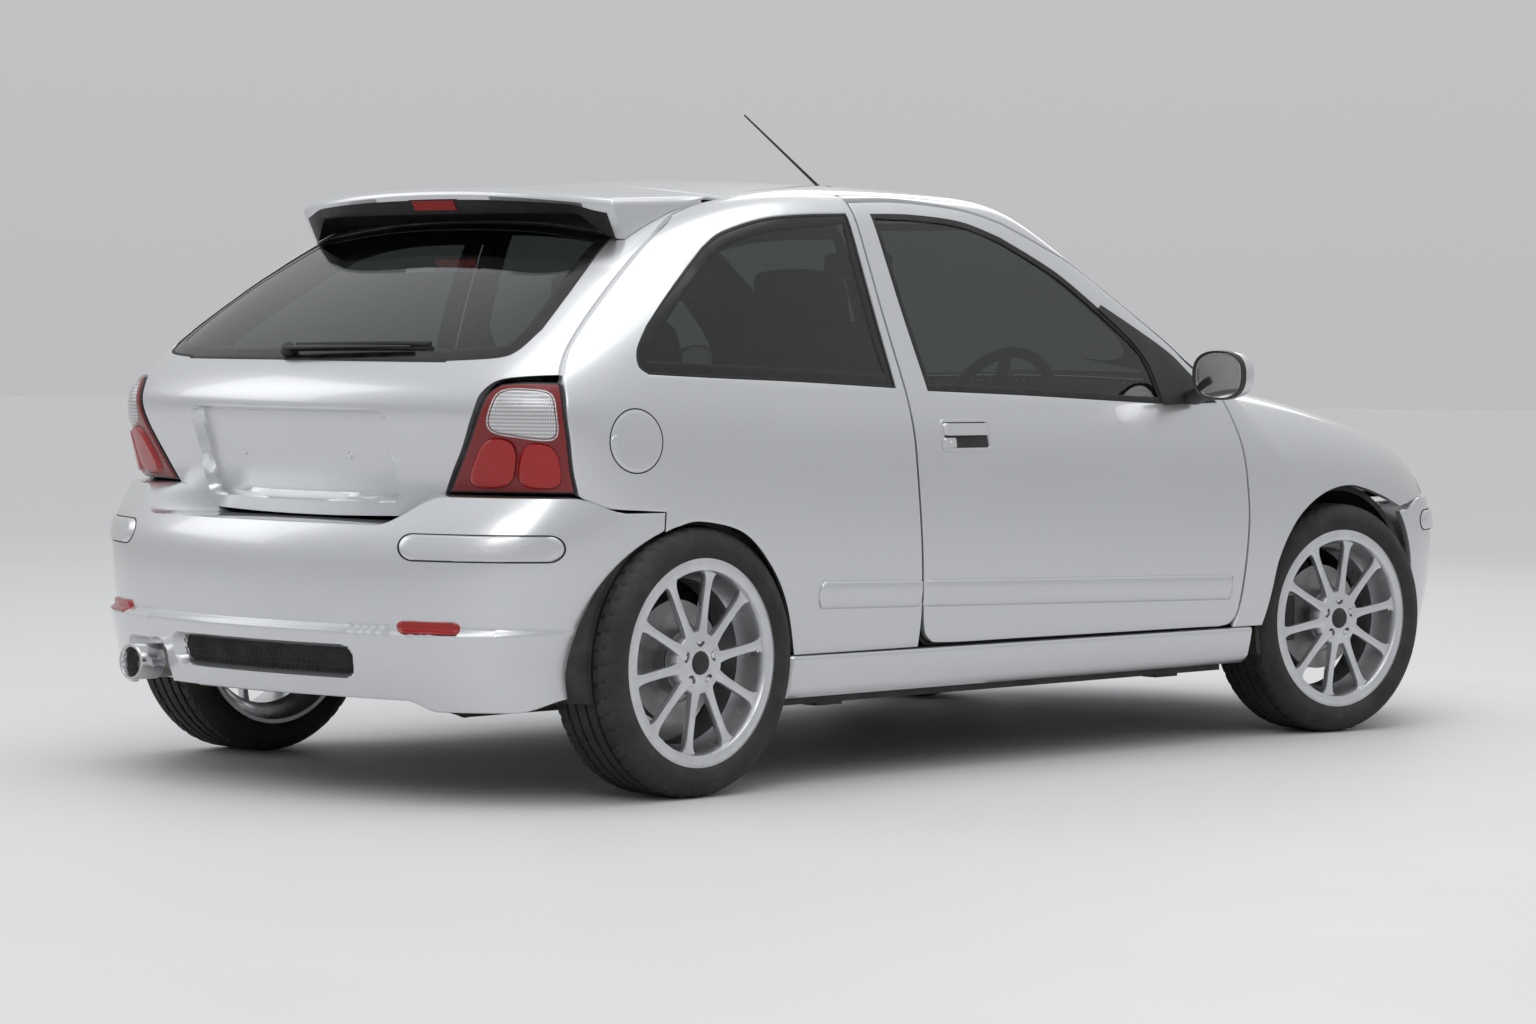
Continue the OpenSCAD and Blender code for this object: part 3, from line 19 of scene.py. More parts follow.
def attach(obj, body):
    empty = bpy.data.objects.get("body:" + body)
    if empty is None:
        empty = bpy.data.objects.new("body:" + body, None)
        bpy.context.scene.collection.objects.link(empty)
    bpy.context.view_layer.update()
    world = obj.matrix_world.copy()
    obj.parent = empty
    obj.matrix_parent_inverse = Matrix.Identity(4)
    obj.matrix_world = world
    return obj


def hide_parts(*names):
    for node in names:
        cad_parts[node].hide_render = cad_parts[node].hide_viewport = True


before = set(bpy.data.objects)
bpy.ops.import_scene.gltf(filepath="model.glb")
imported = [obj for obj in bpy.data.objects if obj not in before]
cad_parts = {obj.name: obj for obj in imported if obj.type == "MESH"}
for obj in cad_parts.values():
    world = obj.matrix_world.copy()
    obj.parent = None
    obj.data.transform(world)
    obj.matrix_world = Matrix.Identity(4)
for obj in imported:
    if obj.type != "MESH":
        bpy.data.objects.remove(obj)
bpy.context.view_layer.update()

LOG = logging.getLogger("hatchback")
MM = 0.001
Points = np.ndarray
Inset = Union[float, np.ndarray]
Colour = tuple[float, float, float]
Thing = bpy.types.Object
Socket = bpy.types.NodeSocket
Tree = bpy.types.NodeTree
UP = np.array([0, 0, 1.0])


class Way(Enum):
    """Lines of sight that carry an outline onto the skin."""

    SIDE = "side"
    TOP = "top"
    FLANK = "flank"
    WING = "wing"
    PILLAR = "pillar"
    TAIL = "tail"
    SCREEN = "screen"
    REAR_CORNER = "rear_corner"
    FRONT_CORNER = "front_corner"


class Form(Enum):
    """Which surface a panel follows."""

    BODY = "body"
    REAR_BUMPER = "rear_bumper"
    FRONT_BUMPER = "front_bumper"


class Side(Enum):
    """Side of the car, with the sign of its Y."""

    RIGHT = -1
    LEFT = 1

    @property
    def word(self) -> str:
        """Name of the side as it stands in node names."""
        return self.name.lower()

    def of(self, points: Points) -> Points:
        """Points drawn for the right side, brought to this side."""
        return points if self is Side.RIGHT else flip(points)


def ease(low: float, high: float, value: Points) -> Points:
    """Smooth step from 0 at low to 1 at high."""
    s = np.clip((np.asarray(value, float) - low) / (high - low), 0, 1)
    return s * s * (3 - 2 * s)


def blend_max(a: Points, b: Points, radius: Inset) -> Points:
    """Larger of two fields, with a rounded meeting of the given radius."""
    h = np.maximum(radius - np.abs(a - b), 0) / radius
    return np.maximum(a, b) + h**3 * radius / 6


def along(points: Sequence, t: Points) -> Points:
    """Points of a smooth curve through a few points, at positions counted in those points.

    Args:
        points: a few points.
        t: positions, counted in those points.

    Returns:
        A point for each position.
    """
    p, t = np.asarray(points, float), np.asarray(t, float)
    i = np.minimum(t.astype(int), len(p) - 2)
    f = (t - i)[:, None]
    a, b = p[np.maximum(i - 1, 0)], p[i]
    c, d = p[i + 1], p[np.minimum(i + 2, len(p) - 1)]
    return 0.5 * (2 * b + (c - a) * f + (2 * a - 5 * b + 4 * c - d) * f**2 + (3 * b - a - 3 * c + d) * f**3)


def curve(points: Sequence, count: int) -> Points:
    """Smooth curve of count + 1 points through a few points."""
    return along(points, np.linspace(0, len(points) - 1, count + 1))


def straight(a: Sequence, b: Sequence, count: int) -> Points:
    """Straight run of count + 1 points from a to b."""
    s = np.linspace(0, 1, count + 1)[:, None]
    return np.asarray(a, float) + s * (np.asarray(b, float) - np.asarray(a, float))


def joined(*runs: Points) -> Points:
    """Runs of points in one list, each without its last point but the last one."""
    return np.concatenate([r[:-1] for r in runs[:-1]] + [runs[-1]])


def lobe(value: Points, power: float) -> Points:
    """Signed power, which squares up a circle's sine and cosine."""
    return np.sign(value) * np.abs(value) ** power


def flip(points: Points) -> Points:
    """Mirror image on the other side of the car."""
    return np.asarray(points, float) * np.array([1, -1, 1])


def opening(p: Points, y: Sequence[float], z: Sequence[float], corner: float, soft: float = 5.0) -> Points:
    """Mask of a rounded opening as seen from an end of the car.

    Args:
        p: points on the skin.
        y: its two sides.
        z: its lower and upper edge.
        corner: radius of its corners.
        soft: half of the width of its rounded edge.

    Returns:
        1 inside and 0 outside.
    """
    dy = np.abs(p[..., 1] - (y[0] + y[1]) / 2) - ((y[1] - y[0]) / 2 - corner)
    dz = np.abs(p[..., 2] - (z[0] + z[1]) / 2) - ((z[1] - z[0]) / 2 - corner)
    away = np.hypot(np.maximum(dy, 0), np.maximum(dz, 0)) + np.minimum(np.maximum(dy, dz), 0) - corner
    return 1 - ease(-soft, soft, away)


def round_loop(points: Sequence, steps: int) -> Points:
    """Smooth closed loop through points, with a number of steps between each two.

    Args:
        points: points to pass.
        steps: steps between each two.

    Returns:
        The closed loop.
    """
    loop = np.array(points, dtype=float)
    closed = np.concatenate([loop[-1:], loop, loop[:2]])
    return along(closed, np.linspace(1, len(loop) + 1, len(loop) * steps + 1))[:-1]


def coons(bottom: Points, top: Points, left: Points, right: Points) -> Points:
    """Four-sided net of points between its edges.

    Args:
        bottom: first row.
        top: last row.
        left: first column.
        right: last column.

    Returns:
        Rows of points.
    """
    u = np.linspace(0, 1, len(bottom))[None, :, None]
    v = np.linspace(0, 1, len(left))[:, None, None]
    low, high = bottom[None], top[None]
    corners = (1 - v) * ((1 - u) * bottom[0] + u * bottom[-1]) + v * ((1 - u) * top[0] + u * top[-1])
    return (1 - v) * low + v * high + (1 - u) * left[:, None] + u * right[:, None] - corners


def ring(outer: Points, inner: Points, rows: int) -> Points:
    """Net between two closed loops with the same number of points."""
    s = np.linspace(0, 1, rows + 1)[:, None, None]
    return outer[None] * (1 - s) + inner[None] * s


class Skin:
    """The car's outer surface as a depth in millimetres, negative inside."""

    SIDE = (790, 812, 829, 840, 845, 845, 838, 806, 768, 731, 692, 651, 608, 560)
    REAR = (-1755, -1780, -1820, -1848, -1885, -1790, -1652, -1508, -1366, -1222, -1075)
    NOSE = (1955, 1975, 1975, 1960, 1930, 1890, 1840)
    REAR_BUMPER = (-1925, -1962, -1976, -1984, -1976, -1890)
    FRONT_BUMPER = (1950, 1978, 1994, 1996, 1976, 1900)
    STEP = 100.0
    LEDGE = 24.0
    LEDGE_Z = 388.0

    @classmethod
    def profile(cls, control: Sequence[float], start: float, t: Points) -> Points:
        """Smooth value along evenly spaced control values.

        Args:
            control: values, a step apart.
            start: place of the first one.
            t: places.

        Returns:
            A value for each place.
        """
        c = np.concatenate([[2 * control[0] - control[1]], control, [2 * control[-1] - control[-2]] * 2])
        s = np.clip((np.asarray(t, float) - start) / cls.STEP, 0, len(control) - 1.000001)
        i = np.floor(s).astype(int)
        f = s - i
        weights = ((1 - f) ** 3, 3 * f**3 - 6 * f**2 + 4, 3 * f + 3 * f**2 - 3 * f**3 + 1, f**3)
        return sum(w * c[i + k] for k, w in enumerate(weights)) / 6

    @classmethod
    def belt(cls, x: Points) -> Points:
        """Height of the waist line."""
        return 905 - 0.038 * x + 0.00001 * x * x

    @classmethod
    def half_width(cls, x: Points, z: Points) -> Points:
        """Half of the body's width."""
        taper = 52 * (np.maximum(-600 - x, 0) / 1000) ** 3 + 42 * (np.maximum(x - 500, 0) / 1000) ** 3
        return cls.profile(cls.SIDE, -700, z - cls.belt(x)) - taper

    @classmethod
    def depth(cls, form: Form, p: Points) -> Points:
        """Depth of points below the surface of a form, as a negative number.

        Args:
            form: surface to measure from.
            p: points.

        Returns:
            Distances, negative inside.
        """
        x, y, z = p[..., 0], p[..., 1], p[..., 2]
        side = np.abs(y) - cls.half_width(x, z)
        if form is Form.REAR_BUMPER:
            lip = cls.LEDGE * (1 - ease(cls.LEDGE_Z - 8, cls.LEDGE_Z + 8, z))
            rear = cls.profile(cls.REAR_BUMPER, 200, z) - lip - x
            return blend_max(side, rear + 0.0003 * y * y, 300)
        if form is Form.FRONT_BUMPER:
            return blend_max(side, x - cls.profile(cls.FRONT_BUMPER, 200, z) + 0.00034 * y * y, 320)
        u, v = (x + 420) / 1000, (x - 700) / 1000
        roof = 1437 - 52 * u * u - 14 * np.maximum(u, 0) ** 3 - 112 * y * y / 1e6
        bonnet = 978 - 95 * v - 95 * v * v - 0.00008 * y * y
        rear = cls.profile(cls.REAR, 500, z) + 0.00022 * y * y - x
        front = x - cls.profile(cls.NOSE, 200, z) + 0.0003 * y * y
        screen = (x - (895 - (z - 930) * 1.7 - 0.0003 * y * y)) * 0.55
        low = blend_max(side, blend_max(front, z - bonnet, 300), 260)
        high = blend_max(side, blend_max(screen, z - roof, 100), 100)
        return blend_max(np.minimum(low, high), rear * 0.8, 230 + 190 * np.clip((z - 900) / 300, 0, 1))

    @staticmethod
    def foot(p: Points, way: Way) -> Points:
        """Start of the line of sight of each point.

        Args:
            p: points.
            way: line of sight.

        Returns:
            A start for each point.
        """
        x, y, z = p[..., 0], p[..., 1], p[..., 2]
        full = np.broadcast_to
        spots = {
            Way.SIDE: (x, 0.0, z),
            Way.TOP: (x, y, 600.0),
            Way.FLANK: (x, 250 * np.sign(y), 800.0),
            Way.WING: (x, 350 * np.sign(y), 550.0),
            Way.PILLAR: (x, 300 * np.sign(y), 1000.0),
            Way.TAIL: (-800.0, y, 900.0),
            Way.SCREEN: (200.0, y, 800.0),
            Way.REAR_CORNER: (-1400.0, 0.0, z),
            Way.FRONT_CORNER: (1300.0, 0.0, z),
        }
        return np.stack([full(c, x.shape) for c in spots[way]], -1).astype(float)

    @classmethod
    def carry(cls, points: Points, way: Way, inset: Inset = 0.0, form: Form = Form.BODY) -> Points:
        """Carries points along their line of sight onto the surface.

        Args:
            points: approximate points.
            way: line of sight.
            inset: depth below the surface, one number or one for each point.
            form: surface to follow.

        Returns:
            The points at that depth.
        """
        p = np.asarray(points, float)
        start = cls.foot(p, way)
        d = p - start
        d /= np.linalg.norm(d, axis=-1, keepdims=True)
        low, high = np.zeros(p.shape[:-1]), np.full(p.shape[:-1], 1600.0)
        for _ in range(24):
            middle = (low + high) / 2
            outside = cls.depth(form, start + d * middle[..., None]) > -np.asarray(inset)
            high = np.where(outside, middle, high)
            low = np.where(outside, low, middle)
        return start + d * low[..., None]

    @classmethod
    def normal(cls, points: Points, form: Form = Form.BODY) -> Points:
        """Outward direction of the surface at each point.

        Args:
            points: points on the surface.
            form: surface.

        Returns:
            Unit vectors.
        """
        step = 2.0
        slopes = [cls.depth(form, points + step * e) - cls.depth(form, points - step * e) for e in np.eye(3)]
        n = np.stack(slopes, -1)
        return n / np.linalg.norm(n, axis=-1, keepdims=True)

    @classmethod
    def side(cls, flat: Points) -> Points:
        """Points of the right side from their [x, z] as seen from the side.

        Args:
            flat: [x, z] pairs.

        Returns:
            Points on the skin.
        """
        flat = np.asarray(flat, float)
        p = np.stack([flat[:, 0], np.full(len(flat), -800.0), flat[:, 1]], 1)
        return cls.carry(p, Way.SIDE)


class Mesher:
    """Turns nets of points into mesh objects."""

    @staticmethod
    def show(mesh: bpy.types.Mesh) -> Thing:
        """Puts a new mesh in the scene under its own name.

        Args:
            mesh: the mesh.

        Returns:
            Its object.
        """
        made = bpy.data.objects.new(mesh.name, mesh)
        bpy.context.scene.collection.objects.link(made)
        return made

    @classmethod
    def make(cls, name: str, verts: Points, faces: Sequence, smooth: float = 35.0) -> Thing:
        """Makes an object from points in millimetres.

        Args:
            name: its name.
            verts: points.
            faces: lists of point numbers.
            smooth: angle in degrees above which an edge is sharp.

        Returns:
            The new object, linked to the scene.
        """
        mesh = bpy.data.meshes.new(name)
        mesh.from_pydata((np.asarray(verts, float) * MM).tolist(), [], [list(map(int, f)) for f in faces])
        mesh.validate()
        mesh.shade_smooth()
        mesh.set_sharp_from_angle(angle=math.radians(smooth))
        return cls.show(mesh)

    @staticmethod
    def cells(rows: int, cols: int, closed: bool = False, offset: int = 0) -> Points:
        """Quads of a net with the given numbers of points.

        Args:
            rows: number of rows.
            cols: number of columns.
            closed: whether the last column joins the first.
            offset: number of the first point.

        Returns:
            Four point numbers for each quad.
        """
        last = cols if closed else cols - 1
        j, i = np.meshgrid(np.arange(rows - 1), np.arange(last), indexing="ij")
        n = (i + 1) % cols
        quads = np.stack([j * cols + i, j * cols + n, (j + 1) * cols + n, (j + 1) * cols + i], -1)
        return quads.reshape(-1, 4) + offset

    @classmethod
    def net(cls, name: str, net: Points, closed: bool = False, out: Optional[Points] = None,
            smooth: float = 35.0) -> Thing:
        """Makes a sheet from a net of points.

        Args:
            name: its name.
            net: rows of points.
            closed: whether the last column joins the first.
            out: direction that the middle of the sheet faces, or None to keep the order.
            smooth: angle in degrees above which an edge is sharp.

        Returns:
            The new object.
        """
        rows, cols = net.shape[:2]
        faces = cls.cells(rows, cols, closed)
        if out is not None:
            j, i = rows // 2, cols // 2
            facing = np.cross(net[j, i] - net[j, i - 1], net[j, i] - net[j - 1, i])
            if np.dot(facing, out) < 0:
                faces = faces[:, ::-1]
        return cls.make(name, net.reshape(-1, 3), faces, smooth)

    @classmethod
    def solid(cls, name: str, outer: Points, inner: Points, closed: bool = False,
              smooth: float = 35.0) -> Thing:
        """Closed solid between an outer and an inner net of the same size.

        Args:
            name: its name.
            outer: rows of points outside.
            inner: rows of points inside.
            closed: whether the last column joins the first.
            smooth: angle in degrees above which an edge is sharp.

        Returns:
            The new object.
        """
        rows, cols = outer.shape[:2]
        size = rows * cols
        front = cls.cells(rows, cols, closed)
        back = cls.cells(rows, cols, closed, size)[:, ::-1]
        i = np.arange(cols if closed else cols - 1)
        n = (i + 1) % cols
        top = (rows - 1) * cols
        rims = [np.stack([n, i, i + size, n + size], 1),
                np.stack([top + i, top + n, top + n + size, top + i + size], 1)]
        if not closed:
            j = np.arange(rows - 1) * cols
            e = cols - 1
            rims.append(np.stack([j, j + cols, j + cols + size, j + size], 1))
            rims.append(np.stack([j + cols + e, j + e, j + e + size, j + cols + e + size], 1))
        faces = np.concatenate([front, back] + rims)
        j, i = rows // 2, cols // 2
        facing = np.cross(outer[j, i] - outer[j, i - 1], outer[j, i] - outer[j - 1, i])
        if np.dot(facing, outer[j, i] - inner[j, i]) < 0:
            faces = faces[:, ::-1]
        verts = np.concatenate([outer.reshape(-1, 3), inner.reshape(-1, 3)])
        return cls.make(name, verts, faces, smooth)

    @classmethod
    def lathe(cls, name: str, section: Points, count: int, smooth: float = 35.0, closed: bool = True) -> Thing:
        """Turns a section of [radius, height] points round the Z axis.

        Args:
            name: its name.
            section: points of the section, in order.
            count: number of steps round the axis.
            smooth: angle in degrees above which an edge is sharp.
            closed: whether the section is a closed outline.

        Returns:
            The new object.
        """
        s = np.asarray(section, float)
        if closed:
            s = np.concatenate([s, s[:1]])
        a = np.linspace(0, 2 * math.pi, count, endpoint=False)
        net = np.stack([s[:, None, 0] * np.cos(a), s[:, None, 0] * np.sin(a), np.repeat(s[:, 1:], count, 1)],
                       -1)
        return cls.net(name, net, True, None, smooth)

    @classmethod
    def tube(cls, name: str, path: Points, radius: Inset, sides: int = 12, closed: bool = False,
             flat: float = 1.0) -> Thing:
        """Round or oval tube along a path.

        Args:
            name: its name.
            path: points of the middle line.
            radius: one radius, or one for each point.
            sides: points round the tube.
            closed: whether the path is a loop.
            flat: height of the section over its width.

        Returns:
            The new object.
        """
        p = np.asarray(path, float)
        ahead = np.roll(p, -1, 0) - np.roll(p, 1, 0)
        if not closed:
            ahead[0], ahead[-1] = p[1] - p[0], p[-1] - p[-2]
        t = ahead / np.linalg.norm(ahead, axis=1, keepdims=True)
        up = np.empty_like(p)
        lean = np.array([0.0, 0.0, 1.0]) if abs(t[0, 2]) < 0.8 else np.array([1.0, 0.0, 0.0])
        for k, along in enumerate(t):
            lean = lean - along * np.dot(lean, along)
            lean /= np.linalg.norm(lean)
            up[k] = lean
        across = np.cross(t, up)
        r = np.broadcast_to(np.asarray(radius, float), (len(p),))[:, None, None]
        w = np.linspace(0, 2 * math.pi, sides, endpoint=False)[None, :, None]
        net = p[:, None] + r * (np.cos(w) * across[:, None] + flat * np.sin(w) * up[:, None])
        if closed:
            net = np.concatenate([net, net[:1]])
        made = cls.net(name, net, True)
        cls.close(made)
        return made

    @staticmethod
    def stand(made: Thing, spot: Points, out: Sequence[float] = (0, 0, 1)) -> Thing:
        """Moves a piece from the origin to a spot, with its Z axis turned outward.

        Args:
            made: the piece.
            spot: where it goes.
            out: direction of its Z axis.

        Returns:
            The piece.
        """
        turn = Vector(out).to_track_quat("Z", "Y").to_matrix().to_4x4()
        made.data.transform(Matrix.Translation(Vector(spot) * MM) @ turn)
        return made

    @staticmethod
    def close(made: Thing) -> None:
        """Fills the open ends of a mesh and turns its faces outward.

        Args:
            made: the piece.
        """
        work = bmesh.new()
        work.from_mesh(made.data)
        bmesh.ops.remove_doubles(work, verts=work.verts, dist=1e-6)
        bmesh.ops.holes_fill(work, edges=[e for e in work.edges if e.is_boundary], sides=0)
        bmesh.ops.recalc_face_normals(work, faces=work.faces)
        work.to_mesh(made.data)
        work.free()
        made.data.set_sharp_from_angle(angle=math.radians(35))

    @classmethod
    def merge(cls, name: str, parts: Sequence[Thing]) -> Thing:
        """Joins several new objects into one mesh.

        Args:
            name: name of the joined object.
            parts: objects at the origin, which are taken out of the scene.

        Returns:
            The joined object.
        """
        work = bmesh.new()
        for part in parts:
            work.from_mesh(part.data)
            bpy.data.objects.remove(part)
        mesh = bpy.data.meshes.new(name)
        work.to_mesh(mesh)
        work.free()
        return cls.show(mesh)

    @classmethod
    def rounded_box(cls, name: str, size: Sequence[float], radius: float, place: Matrix) -> Thing:
        """Box with rounded edges.

        Args:
            name: its name.
            size: lengths of its sides.
            radius: radius of its edges.
            place: where it goes, in millimetres.

        Returns:
            The new object.
        """
        work = bmesh.new()
        bmesh.ops.create_cube(work, size=1.0)
        bmesh.ops.scale(work, vec=Vector(size), verts=work.verts)
        bmesh.ops.bevel(work, geom=work.edges[:], offset=radius, segments=4, profile=0.5, affect="EDGES")
        bmesh.ops.transform(work, matrix=Matrix.Scale(MM, 4) @ place, verts=work.verts)
        mesh = bpy.data.meshes.new(name)
        work.to_mesh(mesh)
        work.free()
        mesh.shade_smooth()
        mesh.set_sharp_from_angle(angle=math.radians(40))
        return cls.show(mesh)


class Press:
    """Makes body panels, panes and bands that follow the skin."""

    HEM = ((1.8, 0.0), (0.6, 0.45), (0.0, 1.6), (0.0, 14.0))
    SHALLOW = ((1.2, 0.0), (0.4, 0.3), (0.0, 1.0), (0.0, 3.0))

    @staticmethod
    def roll(net: Points, inset: Points, hem: Sequence, axis: int, last: bool) -> tuple[Points, Points]:
        """Adds the rows of a rolled edge to one side of a net.

        Args:
            net: rows of points.
            inset: depth of each point.
            hem: pairs of distance from the edge and depth, from the panel outward.
            axis: 0 for the first and last row, 1 for the columns.
            last: whether the last row or column is meant.

        Returns:
            The longer net and its depths.
        """
        n, d = np.moveaxis(net, axis, 0), np.moveaxis(inset, axis, 0)
        if last:
            n, d = n[::-1], d[::-1]
        run = n[1] - n[0]
        run = run / np.maximum(np.linalg.norm(run, axis=-1, keepdims=True), 1e-9)
        extra = [n[0] + run * pull for pull, _ in hem][::-1]
        depths = [np.maximum(d[0], deep) for _, deep in hem][::-1]
        n, d = np.concatenate([extra, n[1:]]), np.concatenate([depths, d[1:]])
        if last:
            n, d = n[::-1], d[::-1]
        return np.moveaxis(n, 0, axis), np.moveaxis(d, 0, axis)

    @classmethod
    def panel(cls, name: str, net: Points, way: Way, side: Side = Side.RIGHT, form: Form = Form.BODY,
              closed: bool = False, edges: Sequence[int] = (1, 1, 1, 1), hem: Optional[Sequence] = None,
              lift: float = 0.0, dent: Optional[Callable[[Points], Points]] = None) -> Thing:
        """Makes a panel with rolled edges on the skin.

        Args:
            name: its name.
            net: rows of points near the skin, on the right side.
            way: line of sight that carries the points onto the skin.
            side: side of the car that the panel is for.
            form: surface to follow.
            closed: whether the last column joins the first.
            edges: which edges are rolled: first row, last row, first column, last column.
            hem: the rolled edge, or None for the usual one.
            lift: height above the skin.
            dent: gives extra depth for points on the skin.

        Returns:
            The new object.
        """
        inset = np.zeros(net.shape[:2])
        for k, (axis, last) in enumerate(((0, False), (0, True), (1, False), (1, True))):
            if edges[k] and not (closed and axis == 1):
                net, inset = cls.roll(net, inset, hem or cls.HEM, axis, last)
        if dent is not None:
            inset = inset + dent(Skin.carry(net, way, 0.0, form))
        placed = Skin.carry(net, way, inset - lift, form)
        out = Skin.normal(placed[placed.shape[0] // 2, placed.shape[1] // 2], form)
        return Mesher.net(name, side.of(placed), closed, side.of(out))

    @classmethod
    def pane(cls, name: str, net: Points, way: Way, side: Side = Side.RIGHT, inset: float = 4.0,
             thick: float = 4.0, form: Form = Form.BODY) -> Thing:
        """Makes a closed sheet of glass below the skin.

        Args:
            name: its name.
            net: rows of points near the skin, on the right side.
            way: line of sight that carries the points.
            side: side of the car.
            inset: depth of its outer face.
            thick: thickness.
            form: surface to follow.

        Returns:
            The new object.
        """
        rows, cols = (np.linspace(0, k - 1, k // 2 + 1).round().astype(int) for k in net.shape[:2])
        net = net[np.ix_(rows, cols)]
        return Mesher.solid(name, *(side.of(Skin.carry(net, way, d, form)) for d in (inset, inset + thick)))

    @staticmethod
    def shrink(loop: Points, width: float, form: Form = Form.BODY, even: int = 3) -> Points:
        """Moves a closed loop on the skin inward by a width.

        Args:
            loop: points on the skin.
            width: distance to move.
            form: surface that the loop lies on.
            even: how many neighbours even out the direction.

        Returns:
            The moved loop.
        """
        t = np.roll(loop, -1, 0) - np.roll(loop, 1, 0)
        inward = np.cross(Skin.normal(loop, form), t)
        inward /= np.linalg.norm(inward, axis=1, keepdims=True)
        if np.sum(inward * (loop.mean(0) - loop)) < 0:
            inward = -inward
        inward = sum(np.roll(inward, k, 0) for k in range(-even, even + 1))
        return loop + width * inward / np.linalg.norm(inward, axis=1, keepdims=True)

    @classmethod
    def band(cls, name: str, loop: Points, width: float, way: Way, side: Side = Side.RIGHT, lift: float = 0.0,
             form: Form = Form.BODY, rows: int = 3, even: int = 3) -> Thing:
        """Makes a flat band inside a closed loop.

        Args:
            name: its name.
            loop: points on the skin.
            width: width of the band, inward.
            way: line of sight that carries the points.
            side: side of the car.
            lift: height above the skin.
            form: surface to follow.
            rows: steps across the band.
            even: how many neighbours even out the inner edge.

        Returns:
            The new object.
        """
        net = ring(loop, cls.shrink(loop, width, form, even), rows)
        return cls.panel(name, net, way, side, form, True, hem=cls.SHALLOW, lift=lift)

    @classmethod
    def pad(cls, name: str, outline: Points, way: Way, proud: float, side: Side = Side.RIGHT,
            form: Form = Form.BODY, round_over: float = 6.0, rows: int = 14) -> Thing:
        """Makes a raised pad with rounded edges inside a closed outline.

        Args:
            name: its name.
            outline: points near the skin.
            way: line of sight that carries the points.
            proud: height of the pad above the skin.
            side: side of the car.
            form: surface to follow.
            round_over: width of the rounded edge.
            rows: steps from the edge to the middle.

        Returns:
            The new object.
        """
        loop = Skin.carry(outline, way, 0.0, form)
        middle = loop.mean(0)
        net = ring(loop, middle + (loop - middle) * 0.02, rows)
        reach = np.linalg.norm(net - loop[None], axis=-1)
        s = np.clip(reach / round_over, 0, 1)
        height = proud * np.sqrt(np.clip(1 - (1 - s) ** 2, 0, 1))
        height[0] = -1.5
        placed = Skin.carry(net, way, -height, form)
        out = side.of(Skin.normal(placed[rows // 2, 0], form))
        made = Mesher.net(name, side.of(placed), True, None, 60.0)
        work = bmesh.new()
        work.from_mesh(made.data)
        bmesh.ops.contextual_create(work, geom=list(work.verts)[-len(loop):])
        bmesh.ops.recalc_face_normals(work, faces=work.faces)
        if sum(f.normal.dot(Vector(out)) * f.calc_area() for f in work.faces) < 0:
            bmesh.ops.reverse_faces(work, faces=work.faces)
        work.to_mesh(made.data)
        work.free()
        return made


class Effect(Enum):
    """Surface effects that several finishes share."""

    FLAKE = "flake"
    GRAIN = "grain"
    WEAVE = "weave"
    DUST = "dust"
    SMEAR = "smear"
    RIBS = "ribs"


class Graph:
    """A node tree, with a short way to add nodes."""

    def __init__(self, tree: Tree) -> None:
        """Takes the tree to fill."""
        self.tree = tree

    def add(self, kind: str, inputs: dict, **settings: object) -> bpy.types.Node:
        """Adds a shader node.

        Args:
            kind: type of the node, without its first word.
            inputs: a socket or a plain value for each input, by its name or place.
            settings: properties of the node.

        Returns:
            The node.
        """
        node = self.tree.nodes.new(f"ShaderNode{kind}")
        for key, value in settings.items():
            setattr(node, key, value)
        for key, value in inputs.items():
            if isinstance(value, Socket):
                self.tree.links.new(value, node.inputs[key])
            else:
                node.inputs[key].default_value = value
        return node

    def span(self, value: Socket, low: float, high: float, start: float = 0.0, end: float = 1.0) -> Socket:
        """Stretches a value from start and end to low and high."""
        ends = {"From Min": start, "From Max": end, "To Min": low, "To Max": high}
        return self.add("MapRange", {"Value": value, **ends}).outputs[0]


class Group(Graph):
    """Node group of one shared effect."""

    def __init__(self, name: str, outputs: Sequence[str], **inputs: float) -> None:
        """Starts the group with its sockets.

        Args:
            name: name of the group.
            outputs: names of its outputs.
            inputs: names and first values of its inputs.
        """
        super().__init__(bpy.data.node_groups.new(name, "ShaderNodeTree"))
        face = self.tree.interface
        for key, value in inputs.items():
            face.new_socket(key, in_out="INPUT", socket_type="NodeSocketFloat").default_value = value
        for key in outputs:
            face.new_socket(key, in_out="OUTPUT", socket_type="NodeSocketFloat")
        self.enter = self.tree.nodes.new("NodeGroupInput").outputs
        self.leave = self.tree.nodes.new("NodeGroupOutput").inputs
        self.place = self.add("TexCoord", {}).outputs["Object"]

    def math(self, work: str, a: object, b: object) -> Socket:
        """One value from two, each a socket or a number."""
        return self.add("Math", {0: a, 1: b}, operation=work).outputs[0]

    def noise(self, scale: object, detail: float) -> Socket:
        """Value of a noise texture."""
        return self.add("TexNoise", {"Vector": self.place, "Scale": scale, "Detail": detail}).outputs["Fac"]

    def cell(self, **settings: object) -> bpy.types.Node:
        """Cell texture at the group's scale."""
        return self.add("TexVoronoi", {"Vector": self.place, "Scale": self.enter["Scale"]}, **settings)

    def wave(self, way: str, scale: str, wobble: float = 0.0) -> Socket:
        """Value of waves along an axis, at the scale that an input names."""
        inputs = {"Vector": self.place, "Scale": self.enter[scale], "Distortion": wobble}
        return self.add("TexWave", inputs, bands_direction=way).outputs["Fac"]

    def done(self, **values: Socket) -> Tree:
        """Links the values to the outputs and gives the group.

        Args:
            values: a socket for each output.

        Returns:
            The group.
        """
        for key, value in values.items():
            self.tree.links.new(value, self.leave[key])
        return self.tree


